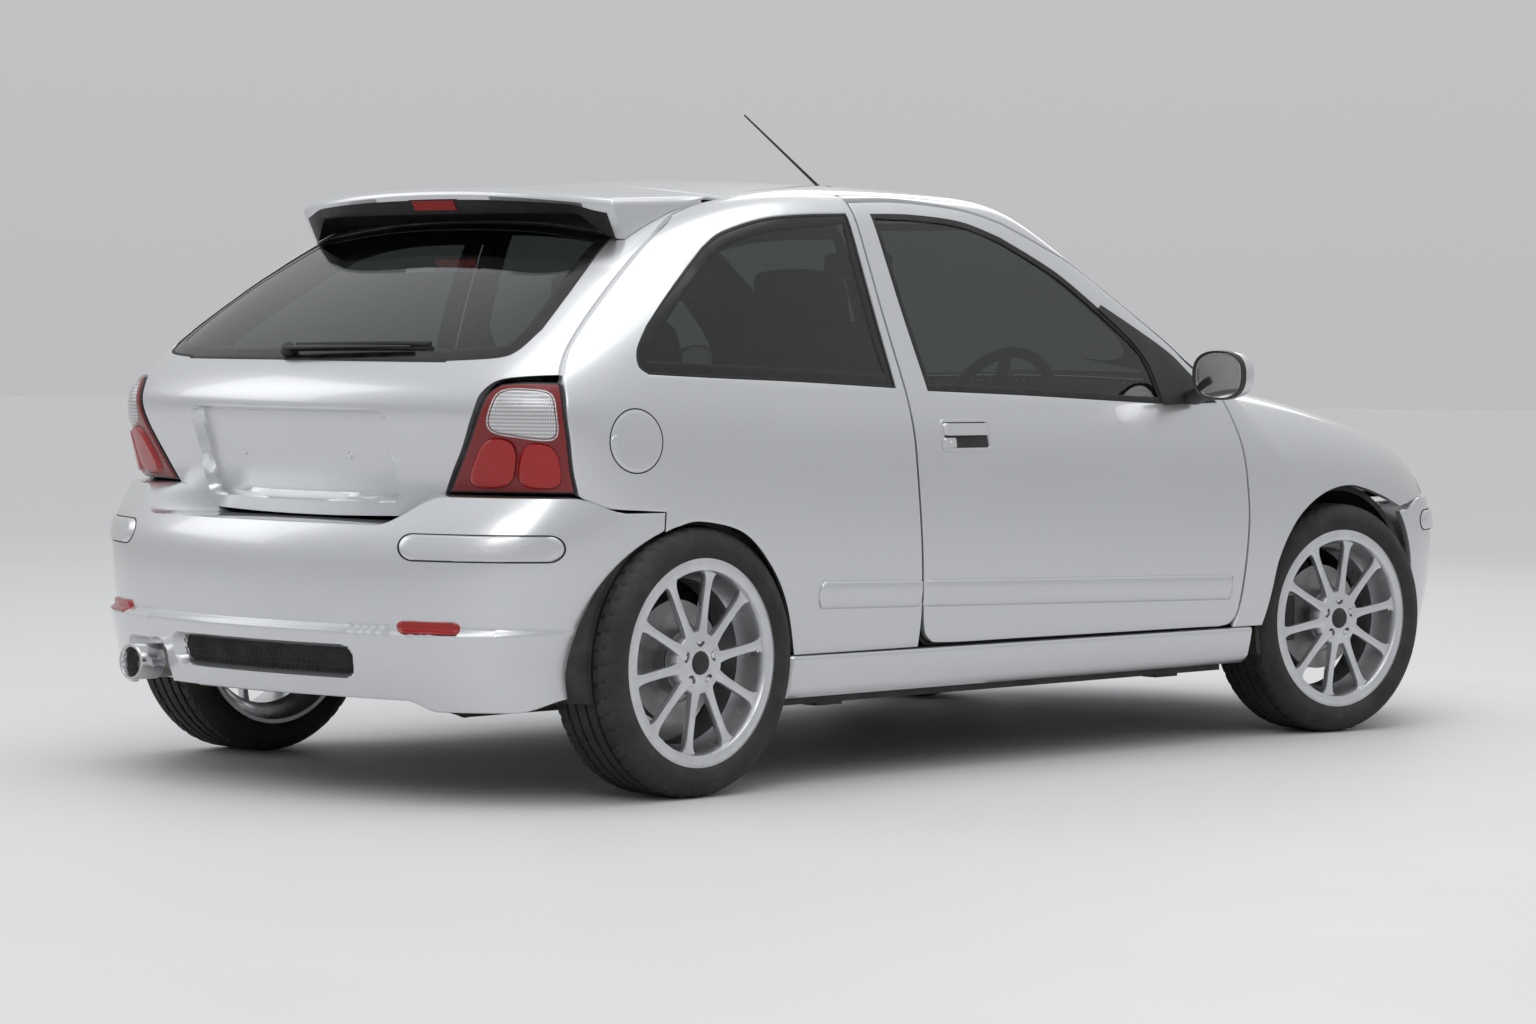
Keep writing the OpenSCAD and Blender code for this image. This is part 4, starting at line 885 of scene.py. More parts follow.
class Effects:
    """Node groups of the shared effects, each made once."""

    made: dict[Effect, Tree] = {}

    @classmethod
    def get(cls, effect: Effect) -> Tree:
        """Node group of an effect.

        Args:
            effect: the effect.

        Returns:
            Its group.
        """
        if effect not in cls.made:
            cls.made[effect] = getattr(cls, effect.value)()
        return cls.made[effect]

    @staticmethod
    def flake() -> Tree:
        """Metal flakes in paint: Glint is a random value for each flake, Cloud a slow drift of the tone.

        Returns:
            The group.
        """
        g = Group("flake", ("Glint", "Cloud"), Scale=2500.0)
        glint = g.add("SeparateColor", {0: g.cell().outputs["Color"]}).outputs[0]
        return g.done(Glint=glint, Cloud=g.noise(3.0, 2.0))

    @staticmethod
    def grain() -> Tree:
        """Pebbled grain of moulded plastic and leather: Height for the bump, Shade for the tone.

        Returns:
            The group.
        """
        g = Group("grain", ("Height", "Shade"), Scale=600.0, Mottle=20.0)
        fine = g.noise(g.enter["Scale"], 3.0)
        height = g.math("SUBTRACT", fine, g.cell(feature="SMOOTH_F1").outputs["Distance"])
        return g.done(Height=height, Shade=g.noise(g.enter["Mottle"], 4.0))

    @staticmethod
    def weave() -> Tree:
        """Plain weave of two crossing yarns: Height for the bump, Shade for the tone.

        Returns:
            The group.
        """
        g = Group("weave", ("Height", "Shade"), Scale=220.0)
        warp, weft, rise = (g.wave(way, "Scale", 0.6) for way in "XYZ")
        both = g.math("MULTIPLY", g.math("ADD", warp, weft), 0.5)
        return g.done(Height=g.math("MULTIPLY", both, rise), Shade=g.noise(40.0, 4.0))

    @staticmethod
    def dust() -> Tree:
        """Thin dust that gathers low down and on faces that look up: Mask is where it lies.

        Returns:
            The group.
        """
        g = Group("dust", ("Mask",), Scale=14.0, Amount=0.3)
        normal = g.add("SeparateXYZ", {0: g.add("NewGeometry", {}).outputs["Normal"]})
        up = g.math("ADD", g.math("MULTIPLY", normal.outputs["Z"], 0.35), 0.65)
        cloud = g.noise(g.enter["Scale"], 6.0)
        spots = g.math("MULTIPLY", g.math("POWER", cloud, 2.0), up)
        return g.done(Mask=g.math("MULTIPLY", spots, g.enter["Amount"]))

    @staticmethod
    def smear() -> Tree:
        """Uneven gloss from handling and wiping: Value drifts between 0 and 1."""
        g = Group("smear", ("Value",), Scale=9.0)
        return g.done(Value=g.noise(g.enter["Scale"], 5.0))

    @staticmethod
    def ribs() -> Tree:
        """Fine prisms moulded in a lamp lens: Height for the bump, Shade for the tone.

        Returns:
            The group.
        """
        g = Group("ribs", ("Height", "Shade"), Across=60.0, Up=60.0)
        waves = g.wave("Y", "Across"), g.wave("Z", "Up")
        return g.done(Height=g.math("ADD", *waves), Shade=g.math("MULTIPLY", *waves))


class Shade(Graph):
    """Node tree of one material, with short ways to fill it."""

    def __init__(self, name: str) -> None:
        """Starts a material with its shader.

        Args:
            name: name of the finish.
        """
        self.material = bpy.data.materials.new(f"finish_{name}")
        self.material.use_nodes = True
        super().__init__(self.material.node_tree)
        self.shader = self.tree.nodes["Principled BSDF"]

    def set(self, **values: object) -> None:
        """Sets plain values on the shader, with _ for each space of a socket's name."""
        for key, value in values.items():
            self.shader.inputs[key.replace("_", " ")].default_value = value

    def effect(self, effect: Effect, **values: float) -> bpy.types.Node:
        """Places a shared effect with its own values."""
        return self.add("Group", values, node_tree=Effects.get(effect))

    def feed(self, socket: str, source: Socket) -> None:
        """Links a value to a socket of the shader."""
        self.tree.links.new(source, self.shader.inputs[socket])

    def between(self, mask: Socket, a: object, b: Sequence[float]) -> Socket:
        """Mixes two colours by a mask.

        Args:
            mask: 0 for a and 1 for b.
            a: a colour or a socket.
            b: a colour.

        Returns:
            The socket with the mixed colour.
        """
        first = a if isinstance(a, Socket) else (*a, 1.0)
        return self.add("Mix", {"Factor": mask, 6: first, 7: (*b, 1.0)}, data_type="RGBA").outputs[2]

    def bump(self, height: Socket, strength: float, distance: float) -> None:
        """Roughens the surface by a height in metres."""
        node = self.add("Bump", {"Strength": strength, "Distance": distance, "Height": height})
        self.feed("Normal", node.outputs["Normal"])


@dataclass(frozen=True)
class Finish:
    """A finish, with the record's material slot that it belongs to."""

    name: str
    slot: str

    def material(self) -> bpy.types.Material:
        """The finish's material, made on its first use."""
        return bpy.data.materials.get(f"finish_{self.name}") or self.build()

    def build(self) -> bpy.types.Material:
        """Makes the material."""
        raise NotImplementedError


@dataclass(frozen=True)
class Paint(Finish):
    """Metallic paint with flakes under a clear coat."""

    tone: Colour = (0.60, 0.61, 0.625)
    glint: Colour = (0.74, 0.75, 0.765)
    rough: float = 0.30
    metal: float = 0.86

    def build(self) -> bpy.types.Material:
        """Makes the material.

        Returns:
            The material.
        """
        s = Shade(self.name)
        s.set(Metallic=self.metal, Coat_Weight=1.0, Coat_Roughness=0.025, Coat_IOR=1.5)
        flake = s.effect(Effect.FLAKE, Scale=2600.0)
        dust = s.effect(Effect.DUST, Scale=5.0, Amount=0.10)
        tone = s.between(s.span(flake.outputs["Glint"], 0.0, 1.0, 0.55, 1.0), self.tone, self.glint)
        s.feed("Base Color", s.between(dust.outputs["Mask"], tone, (0.50, 0.49, 0.47)))
        s.feed("Roughness", s.span(flake.outputs["Cloud"], self.rough - 0.02, self.rough + 0.03, 0.3, 0.7))
        s.bump(flake.outputs["Glint"], 0.03, 0.0002)
        return s.material


@dataclass(frozen=True)
class Glass(Finish):
    """Clear or tinted glass."""

    tint: Colour = (0.24, 0.26, 0.255)

    def build(self) -> bpy.types.Material:
        """Makes the material.

        Returns:
            The material.
        """
        s = Shade(self.name)
        s.set(Metallic=0.0, Transmission_Weight=1.0, IOR=1.45)
        smear = s.effect(Effect.SMEAR, Scale=6.0)
        s.feed("Roughness", s.span(smear.outputs["Value"], 0.0, 0.012, 0.45, 0.8))
        darker = tuple(c * 0.94 for c in self.tint)
        s.feed("Base Color", s.between(s.span(smear.outputs["Value"], 0.0, 1.0, 0.3, 0.7), self.tint, darker))
        return s.material


@dataclass(frozen=True)
class Moulding(Finish):
    """Grained plastic, rubber or leather."""

    tone: Colour = (0.02, 0.02, 0.021)
    rough: float = 0.5
    scale: float = 700.0
    relief: float = 0.25
    depth: float = 0.0004
    dusty: float = 0.12
    coat: float = 0.0
    sheen: float = 0.0

    def build(self) -> bpy.types.Material:
        """Makes the material.

        Returns:
            The material.
        """
        s = Shade(self.name)
        s.set(Specular_IOR_Level=0.32, Coat_Weight=self.coat, Coat_Roughness=0.1, Sheen_Weight=self.sheen)
        grain = s.effect(Effect.GRAIN, Scale=self.scale, Mottle=25.0)
        dust = s.effect(Effect.DUST, Scale=16.0, Amount=self.dusty)
        paler = tuple(min(1.0, c * 1.35 + 0.003) for c in self.tone)
        tone = s.between(s.span(grain.outputs["Shade"], 0.0, 1.0, 0.35, 0.7), self.tone, paler)
        s.feed("Base Color", s.between(dust.outputs["Mask"], tone, (0.34, 0.32, 0.29)))
        s.feed("Roughness", s.span(grain.outputs["Shade"], self.rough - 0.06, self.rough + 0.08, 0.3, 0.7))
        s.bump(grain.outputs["Height"], self.relief, self.depth)
        return s.material


@dataclass(frozen=True)
class Cloth(Finish):
    """Woven trim."""

    tone: Colour = (0.03, 0.031, 0.033)
    pale: Colour = (0.06, 0.061, 0.064)
    scale: float = 260.0

    def build(self) -> bpy.types.Material:
        """Makes the material.

        Returns:
            The material.
        """
        s = Shade(self.name)
        s.set(Roughness=0.85, Sheen_Weight=0.35, Sheen_Roughness=0.4)
        weave = s.effect(Effect.WEAVE, Scale=self.scale)
        s.feed("Base Color", s.between(s.span(weave.outputs["Height"], 0.0, 1.0, 0.1, 0.8), self.tone,
                                       self.pale))
        s.feed("Roughness", s.span(weave.outputs["Shade"], 0.78, 0.92, 0.3, 0.7))
        s.bump(weave.outputs["Height"], 0.4, 0.0006)
        return s.material


@dataclass(frozen=True)
class Metal(Finish):
    """Bare, cast or plated metal."""

    tone: Colour = (0.55, 0.55, 0.56)
    rough: float = 0.32
    metal: float = 0.95
    scale: float = 400.0
    relief: float = 0.06
    grime: float = 0.12
    coat: float = 0.0

    def build(self) -> bpy.types.Material:
        """Makes the material.

        Returns:
            The material.
        """
        s = Shade(self.name)
        s.set(Metallic=self.metal, Coat_Weight=self.coat, Coat_Roughness=0.05)
        grain = s.effect(Effect.GRAIN, Scale=self.scale, Mottle=18.0)
        dust = s.effect(Effect.DUST, Scale=22.0, Amount=self.grime)
        darker = tuple(c * 0.86 for c in self.tone)
        tone = s.between(s.span(grain.outputs["Shade"], 0.0, 1.0, 0.3, 0.7), self.tone, darker)
        s.feed("Base Color", s.between(dust.outputs["Mask"], tone, (0.20, 0.18, 0.16)))
        s.feed("Roughness", s.span(grain.outputs["Shade"], self.rough - 0.05, self.rough + 0.08, 0.3, 0.7))
        s.bump(grain.outputs["Height"], self.relief, 0.0004)
        return s.material


@dataclass(frozen=True)
class Lens(Finish):
    """Moulded lamp lens with fine prisms under its smooth face."""

    tone: Colour = (0.23, 0.004, 0.005)
    bright: Colour = (0.55, 0.02, 0.02)
    across: float = 70.0
    up: float = 70.0
    relief: float = 0.15
    metal: float = 0.0

    def build(self) -> bpy.types.Material:
        """Makes the material.

        Returns:
            The material.
        """
        s = Shade(self.name)
        s.set(Metallic=self.metal, Coat_Weight=0.4, Coat_Roughness=0.02, Specular_IOR_Level=0.4)
        ribs = s.effect(Effect.RIBS, Across=self.across, Up=self.up)
        smear = s.effect(Effect.SMEAR, Scale=30.0)
        s.feed("Base Color", s.between(s.span(ribs.outputs["Shade"], 0.0, 1.0, 0.0, 0.9), self.tone,
                                       self.bright))
        s.feed("Roughness", s.span(smear.outputs["Value"], 0.10, 0.22, 0.3, 0.7))
        s.bump(ribs.outputs["Height"], self.relief, 0.0008)
        return s.material


@dataclass(frozen=True)
class Stage(Finish):
    """Pale studio floor."""

    tone: Colour = (0.70, 0.70, 0.705)

    def build(self) -> bpy.types.Material:
        """Makes the material.

        Returns:
            The material.
        """
        s = Shade(self.name)
        smear = s.effect(Effect.SMEAR, Scale=1.5)
        darker = tuple(c * 0.97 for c in self.tone)
        s.feed("Base Color", s.between(smear.outputs["Value"], self.tone, darker))
        s.feed("Roughness", s.span(smear.outputs["Value"], 0.50, 0.62, 0.3, 0.7))
        return s.material


SILVER = Paint("silver_paint", "body_paint")
GLASS = Glass("tinted_glass", "window_glass")
CLEAR = Glass("clear_lens", "clear_lens", tint=(0.96, 0.97, 0.98))
SEAL = Moulding("rubber_seal", "black_trim", tone=(0.008, 0.008, 0.009), rough=0.55, scale=900.0, relief=0.12)
FRIT = Moulding("black_frit", "black_trim", tone=(0.004, 0.004, 0.0045), rough=0.2, relief=0.02, dusty=0.02,
                coat=0.15)
TRIM = Moulding("black_trim", "black_trim", tone=(0.016, 0.016, 0.017), rough=0.42)
LINER = Moulding("arch_liner", "black_trim", tone=(0.010, 0.010, 0.010), rough=0.8, scale=300.0, relief=0.5,
                 dusty=0.35)
CABIN = Moulding("cabin_plastic", "cabin_plastic", tone=(0.025, 0.025, 0.027), rough=0.62, scale=520.0,
                 relief=0.35)
LEATHER = Moulding("seat_leather", "seat_cloth", tone=(0.022, 0.022, 0.024), rough=0.46, scale=420.0,
                   relief=0.4, depth=0.0007, sheen=0.15)
CLOTH = Cloth("seat_cloth", "seat_cloth")
LINING = Cloth("roof_lining", "cabin_plastic", tone=(0.11, 0.11, 0.108), pale=(0.17, 0.17, 0.165))
TYRE = Moulding("tyre_rubber", "tyre_rubber", tone=(0.012, 0.012, 0.0125), rough=0.66, scale=380.0, relief=0.25,
                dusty=0.22)
ALLOY = Metal("wheel_alloy", "wheel_alloy", tone=(0.66, 0.67, 0.685), rough=0.30, metal=0.85, relief=0.02,
              grime=0.06, coat=0.8)
DISC = Metal("brake_disc", "dark_steel", tone=(0.34, 0.34, 0.345), rough=0.36, scale=250.0, relief=0.12)
CAST = Metal("cast_iron", "dark_steel", tone=(0.085, 0.083, 0.08), rough=0.6, metal=0.75, relief=0.4, grime=0.3)
CHROME = Metal("bright_metal", "exhaust_steel", tone=(0.78, 0.78, 0.79), rough=0.10, relief=0.01, grime=0.05)
REFLECTOR = Metal("lamp_reflector", "wheel_alloy", tone=(0.55, 0.56, 0.58), rough=0.24, relief=0.01, grime=0.02)
PIPE = Metal("exhaust_steel", "exhaust_steel", tone=(0.42, 0.40, 0.38), rough=0.38, relief=0.15, grime=0.25)
ENGINE = Metal("engine_metal", "engine_metal", tone=(0.30, 0.30, 0.31), rough=0.5, relief=0.35, grime=0.3)
UNDER = Moulding("underseal", "dark_steel", tone=(0.016, 0.016, 0.017), rough=0.75, scale=160.0, relief=0.6,
                 dusty=0.3)
RED = Lens("red_lens", "red_lens", tone=(0.20, 0.001, 0.002), bright=(0.66, 0.008, 0.008), across=95.0, up=95.0,
           relief=0.3)
DEEP_RED = Lens("deep_red_lens", "red_lens", tone=(0.13, 0.001, 0.002), bright=(0.30, 0.004, 0.004),
                across=120.0, up=120.0)
RIBBED = Lens("ribbed_lens", "clear_lens", tone=(0.36, 0.36, 0.37), bright=(0.80, 0.81, 0.82), across=95.0,
              up=38.0, relief=0.3, metal=0.35)
FLOOR = Stage("studio_floor", "body_paint")


def dress(piece: Thing, finish: Finish, body: str, *stands_for: str) -> Thing:
    """Gives a piece its finish and the body that it rides on.

    Args:
        piece: the piece.
        finish: its finish.
        body: name of the CAD body that carries it.
        stands_for: CAD nodes that it replaces.

    Returns:
        The piece.
    """
    piece.data.materials.clear()
    piece.data.materials.append(finish.material())
    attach(piece, body)
    if stands_for:
        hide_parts(*stands_for)
    LOG.info("%s on %s in %s", piece.name, body, finish.name)
    return piece


class Lines:
    """Outlines of the right side that neighbouring panels share."""

    DOOR = (
        ((-602, 1372), (-604, 1139), (-594, 922)),
        ((-594, 922), (-588, 735), (-560, 520), (-535, 373), (-505, 326), (-440, 315), (-150, 313),
         (200, 311),
         (560, 309), (655, 309), (697, 323), (716, 374), (727, 560), (720, 662), (699, 792), (656, 914)),
        ((656, 914), (556, 994), (487, 1056), (231, 1221), (86, 1284), (-48, 1336)),
        ((-48, 1336), (-185, 1365), (-401, 1378), (-602, 1372)),
    )
    WINDOW = (
        ((-544, 1347), (-537, 1140), (-516, 922)),
        ((-516, 922), (-168, 911), (146, 898), (411, 887)),
        ((411, 887), (393, 986), (341, 1055), (157, 1190), (61, 1243), (-71, 1301)),
        ((-71, 1301), (-208, 1337), (-392, 1349), (-544, 1347)),
    )
    DOOR_STEPS = (4, 26, 8, 4)
    QUARTER_WINDOW = (
        ((-632, 1347), (-636, 1138), (-631, 929)),
        ((-631, 929), (-976, 944), (-1225, 952), (-1440, 960)),
        ((-1440, 960), (-1463, 978), (-1452, 1017), (-1402, 1069)),
        ((-1402, 1069), (-1322, 1131), (-1235, 1193), (-1152, 1252)),
        ((-1152, 1252), (-1078, 1290), (-946, 1324), (-810, 1339), (-632, 1347)),
    )
    QUARTER_STEPS = (3, 28, 4, 5, 4)
    SCREEN_SIDE = ((742, -690, 935), (570, -665, 1045), (400, -640, 1150), (230, -614, 1257), (120, -598, 1325),
                   (58, -588, 1364))
    ROOF_SIDE = ((58, -588, 1364), (-150, -591, 1392), (-400, -591, 1397), (-608.3, -590, 1392))
    BONNET = ((830.7, -654, 935), (1100, -648, 905), (1400, -620, 870), (1600, -580, 830), (1730, -520, 780))

    @staticmethod
    def loop(runs: Sequence, steps: Sequence[int], fine: int) -> Points:
        """Closed loop on the right side from runs of [x, z] points."""
        return Skin.side(np.concatenate([curve(r, n * fine)[:-1] for r, n in zip(runs, steps)]))

    @classmethod
    def screen_side(cls, count: int) -> Points:
        """Edge between a windscreen pillar and the glass, from the bottom."""
        return Skin.carry(curve(cls.SCREEN_SIDE, count), Way.PILLAR)

    @classmethod
    def roof_side(cls, count: int) -> Points:
        """Edge between the roof and the rail over the door, from the front."""
        return Skin.carry(curve(cls.ROOF_SIDE, count), Way.PILLAR)

    @staticmethod
    def screen_base(y: Points, ahead: float) -> Points:
        """Foot of the windscreen, a distance ahead of the glass."""
        y = np.asarray(y, float)
        return np.stack([885 - 0.0003 * y * y + ahead, y, np.full(y.shape, 935.0)], -1)

    @classmethod
    def beside_bonnet(cls, t: Points, margin: float) -> Points:
        """Line beside the bonnet's right edge, a margin out from it."""
        return Skin.carry(along(cls.BONNET, t) - [0, margin, 0], Way.TOP)


@dataclass
class BodyShell:
    """Fixed painted panels of the body: roof, pillars, quarters, wings, sills and cowl."""

    fine: int = 6
    rows: int = 32
    roof_gap: float = 2.3
    skirt_x: tuple[float, float] = (-990.0, 790.0)
    wing_gap: float = 8.0
    flap_centre: tuple[float, float] = (-1500.0, 812.0)
    flap_radius: float = 72.5

    def build(self) -> None:
        """Builds and dresses every panel."""
        self.roof()
        for side in Side:
            self.pillar(side)
            self.quarter(side)
            self.wing(side)
            self.skirt(side)
            self.seals(side)
            self.liners(side)
        self.cowl()
        self.fuel_flap()

    def roof(self) -> None:
        """Roof skin between its two ditches, and the gutter behind it."""
        tail = curve(((-608.8, -590, 1392), (-850, -572, 1384), (-946, -556, 1377)), 4 * self.fine)
        right = joined(Lines.roof_side(6 * self.fine), tail) + [0, self.roof_gap, 0]
        front = curve((right[0], (100, -300, 1400), (112, 0, 1400), (100, 300, 1400), flip(right[0])), 72)
        rear = curve((right[-1], (-946, -280, 1400), (-946, 0, 1420), (-946, 280, 1400), flip(right[-1])), 72)
        skin = Press.panel("roof_skin", coons(front, rear, right, flip(right)), Way.TOP)
        dress(skin, SILVER, "body", "roof_panel")
        lining = Press.panel("roof_lining", coons(front, rear, right, flip(right))[4:-2, 3:-3], Way.TOP,
                             lift=-26.0)
        dress(lining, LINING, "body")
        row = Skin.carry(rear[4:69], Way.TOP, 20.0)
        gutter = np.stack([row, row + [-8.0, 0, -8.0]])
        dress(Mesher.net("roof_gutter", gutter, False, UP), SEAL, "body")
        for side in Side:
            edge = joined(Lines.roof_side(36), tail) + [0, self.roof_gap / 2, -7]
            dress(Mesher.tube(f"roof_ditch_{side.word}", side.of(edge), 5.0, 8), SEAL, "body")

    def pillar(self, side: Side) -> None:
        """Windscreen pillar and the rail over the door.

        Args:
            side: side of the car.
        """
        f = self.fine
        low = Skin.side(joined(
            curve(((657, 934), (561, 1000), (491, 1062), (235, 1227), (89, 1290), (-46, 1342)), 10 * f),
            curve(((-46, 1342), (-184, 1372), (-401, 1388), (-608.3, 1382)), 6 * f)))
        high = joined(Lines.screen_side(10 * f), Lines.roof_side(6 * f))
        made = Press.panel(f"pillar_skin_{side.word}", ring(low, high, 12), Way.PILLAR, side)
        dress(made, SILVER, "body", "pillars")
        inner = Press.panel(f"pillar_trim_{side.word}", ring(low, high, 6), Way.PILLAR, side, lift=-24.0)
        dress(inner, CABIN, "body")

    def quarter_loops(self, fine: int) -> tuple[Points, Points]:
        """Outer outline and window outline of the quarter panel, point for point.

        Args:
            fine: steps for each step of the coarse outline.

        Returns:
            The two loops.
        """
        runs = [
            curve(((-608.8, 1386), (-610.8, 1139), (-600.8, 922)), 3 * fine)[:-1],
            curve(((-600.8, 922), (-594.8, 735), (-566.8, 520), (-546.8, 385), (-542.8, 308)), 8 * fine)[:-1],
            straight((-542.8, 308), (-972, 308), 5 * fine)[:-1],
            curve(((-972, 308), (-1020, 428), (-1085, 522), (-1180, 600), (-1310, 628), (-1380, 618),
                   (-1415, 606)),
                  9 * fine)[:-1],
            straight((-1415, 606), (-1415, 652), fine)[:-1],
            curve(((-1415, 652), (-1490, 656), (-1564, 661), (-1609, 675), (-1632, 690)), 5 * fine)[:-1],
            curve(((-1632, 690), (-1648, 744), (-1659, 807), (-1668, 880), (-1655, 948)), 4 * fine)[:-1],
            curve(((-1655, 948), (-1614, 1002), (-1555, 1054), (-1464, 1122), (-1357, 1197), (-1251, 1268),
                   (-1134, 1329)), 5 * fine)[:-1],
        ]
        ditch = curve(((-1134, -548, 1329), (-1010, -545, 1372), (-850, -572, 1384), (-608.8, -590, 1392)),
                      4 * fine)
        outer = np.concatenate([Skin.side(np.concatenate(runs)), Skin.carry(ditch[:-1], Way.FLANK)])
        return outer, Lines.loop(Lines.QUARTER_WINDOW, Lines.QUARTER_STEPS, fine)

    def quarter(self, side: Side) -> None:
        """Quarter panel round its window, with the trim inside it.

        Args:
            side: side of the car.
        """
        outer, window = self.quarter_loops(self.fine)
        made = Press.panel(f"quarter_skin_{side.word}", ring(outer, window, self.rows), Way.FLANK, side,
                           closed=True)
        dress(made, SILVER, "body", "quarter_panels")
        inner = Press.panel(f"quarter_trim_{side.word}", ring(outer, window, 8), Way.FLANK, side, closed=True,
                            lift=-58.0)
        dress(inner, CABIN, "body")

    def wing(self, side: Side) -> None:
        """Front wing round its arch.

        Args:
            side: side of the car.
        """
        f, gap = self.fine, np.array([self.wing_gap, 0])
        rear = Skin.side(curve(((697, 302.5), (717, 374), (727, 560), (720, 662), (699, 792), (656, 914)),
                               7 * f) + gap)
        foot = straight((697, 302.5), (822, 302.5), 3 * f) + gap
        arch = curve(((822, 302.5), (848, 450), (925, 570), (1045, 642), (1190, 666), (1340, 640), (1464, 603)),
                     13 * f) + gap
        flat = Skin.side(joined(foot, arch))
        nose = Skin.carry(curve((flat[-1], (1560, -785, 618), (1640, -757, 640)), 3 * f), Way.WING)
        low = joined(flat, nose)
        beside = Lines.beside_bonnet(np.linspace(0, 2.6, 15 * f + 1), 6.4)
        high = joined(Skin.carry(curve((rear[-1], (740, -722, 930), beside[0]), 4 * f), Way.WING), beside)
        front = Skin.carry(curve((nose[-1], (1600, -720, 740), beside[-1]), 7 * f), Way.WING)
        made = Press.panel(f"wing_skin_{side.word}", coons(low, high, rear, front), Way.WING, side)
        dress(made, SILVER, "body", "wings")

    def skirt(self, side: Side) -> None:
        """Sill skirt with a bright ledge along its top.

        Args:
            side: side of the car.
        """
        x = np.linspace(*self.skirt_x, 140)
        heights = (0.0, 0.03, 0.14, 0.25, 0.55, 0.86, 0.93, 0.975, 1.0, 1.0)
        proud = (-30.0, -6.0, 5.0, 9.0, 9.5, 9.0, 7.5, 4.0, -2.0, -14.0)
        ends = 1 - np.clip(np.minimum(x - self.skirt_x[0], self.skirt_x[1] - x) / 9, 0, 1)
        top = 307.5 - 0.003 * (x + 990)
        rows = []
        for h, out in zip(heights, proud):
            z = 203 + (top - 203) * h
            p = np.stack([x, np.full(x.shape, -800.0), z], 1)
            rows.append(Skin.carry(p, Way.SIDE, -(out - 14 * ends**2)))
        net = np.array(rows)
        net[:, :, 1] = np.minimum(net[:, :, 1], -766.0)
        made = Mesher.net(f"skirt_skin_{side.word}", side.of(net), False, np.array([0, side.value, 0.0]))
        dress(made, SILVER, "body", "side_skirts")

    def seals(self, side: Side) -> None:
        """Rubber seals that show dark in the shut lines.

        Args:
            side: side of the car.
        """
        door = Lines.loop(Lines.DOOR, Lines.DOOR_STEPS, 4)
        ahead = 46 * ease(door[:, 0].max() - 90, door[:, 0].max() - 20, door[:, 0])
        loop = Skin.carry(Press.shrink(door, -3.5), Way.SIDE, 26.0 + ahead)
        dress(Mesher.tube(f"door_seal_{side.word}", side.of(loop), 8.0, 10, closed=True), SEAL, "body")

    def liners(self, side: Side) -> None:
        """Dark liners inside the wheel arches.

        Args:
            side: side of the car.
        """
        for name, x, radius, wall in (("front", 1197.0, 368.0, 410.0), ("rear", -1310.0, 338.0, 506.0)):
            a = np.radians(np.linspace(-14, 194, 70))
            section = ((786.0, radius - 26), (786.0, radius - 10), (740.0, radius - 4), (600.0, radius - 4),
                       (wall + 14, radius - 6), (wall, radius - 22), (wall, 120.0))
            net = np.array([[(x + r * math.cos(t), side.value * y, 308 + r * math.sin(t)) for t in a]
                            for y, r in section])
            net[:, :, 2] = np.maximum(net[:, :, 2], 196.0)
            made = Mesher.net(f"arch_liner_{name}_{side.word}", net, False, np.array([0, 0, -1.0]))
            dress(made, LINER, "body")

    def cowl(self) -> None:
        """Black scuttle panel between bonnet and windscreen, with its slots and wipers."""
        y = np.linspace(-684, 684, 160)
        net = np.array([Lines.screen_base(y, a) for a in np.linspace(-4, 70, 14)])

        def slots(p: Points) -> Points:
            """Depth of the air slots."""
            wave = np.sin(p[..., 1] / 9.0) ** 8 * ease(20, 30, p[..., 0] - 885 + 0.0003 * p[..., 1] ** 2)
            return 5.0 * wave * (np.abs(p[..., 1]) < 420)

        made = Press.panel("scuttle", net, Way.TOP, hem=Press.SHALLOW, lift=-8.0, dent=slots)
        dress(made, TRIM, "body", "cowl")
        for name, pivot, tip in (("driver", -130.0, 470.0), ("passenger", 360.0, 640.0)):
            start = Skin.carry(Lines.screen_base(np.array([-pivot]), 34.0), Way.TOP, -2.0)[0]
            end = Skin.carry(Lines.screen_base(np.array([-tip]), -70.0), Way.SCREEN, -5.0)[0]
            path = Skin.carry(straight(start, end, 24), Way.SCREEN, -7.0)
            path[0] = start
            arm = Mesher.tube(f"screen_wiper_arm_{name}", path, np.linspace(9, 5, 25), 8, flat=0.6)
            dress(arm, TRIM, "body")
            sweep = Skin.carry(straight(end + (end - start) * 0.45, end - (end - start) * 0.75 + (8, 0, 6), 30),
                               Way.SCREEN, -3.0)
            dress(Mesher.tube(f"screen_wiper_blade_{name}", sweep, 5.0, 8, flat=1.3), SEAL, "body")

    def fuel_flap(self) -> None:
        """Fuel flap, a dark band painted round it as the shade in its gap, and its finger hollow."""
        a = np.linspace(0, 2 * math.pi, 96, endpoint=False)
        x, z = self.flap_centre
        rim = Skin.side(np.stack([x + self.flap_radius * np.cos(a), z + self.flap_radius * np.sin(a)], 1))
        # Painted shade: a thin dark band on the skin where the gap round the flap is in shadow.
        gap = Press.band("fuel_flap_gap", Press.shrink(rim, -1.5), 4.0, Way.SIDE, lift=0.35, rows=2)
        dress(gap, SEAL, "body")
        dress(Press.pad("fuel_flap_lid", Press.shrink(rim, 1.2), Way.SIDE, 0.9, round_over=3.0), SILVER, "body",
              "fuel_flap")
        spot = Skin.side(np.stack([x - 58 + 11 * np.cos(a[::4]), z + 15 * np.sin(a[::4])], 1))
        dress(Press.pad("fuel_flap_grip", spot, Way.SIDE, 2.4, round_over=8.0, rows=8), SILVER, "body")


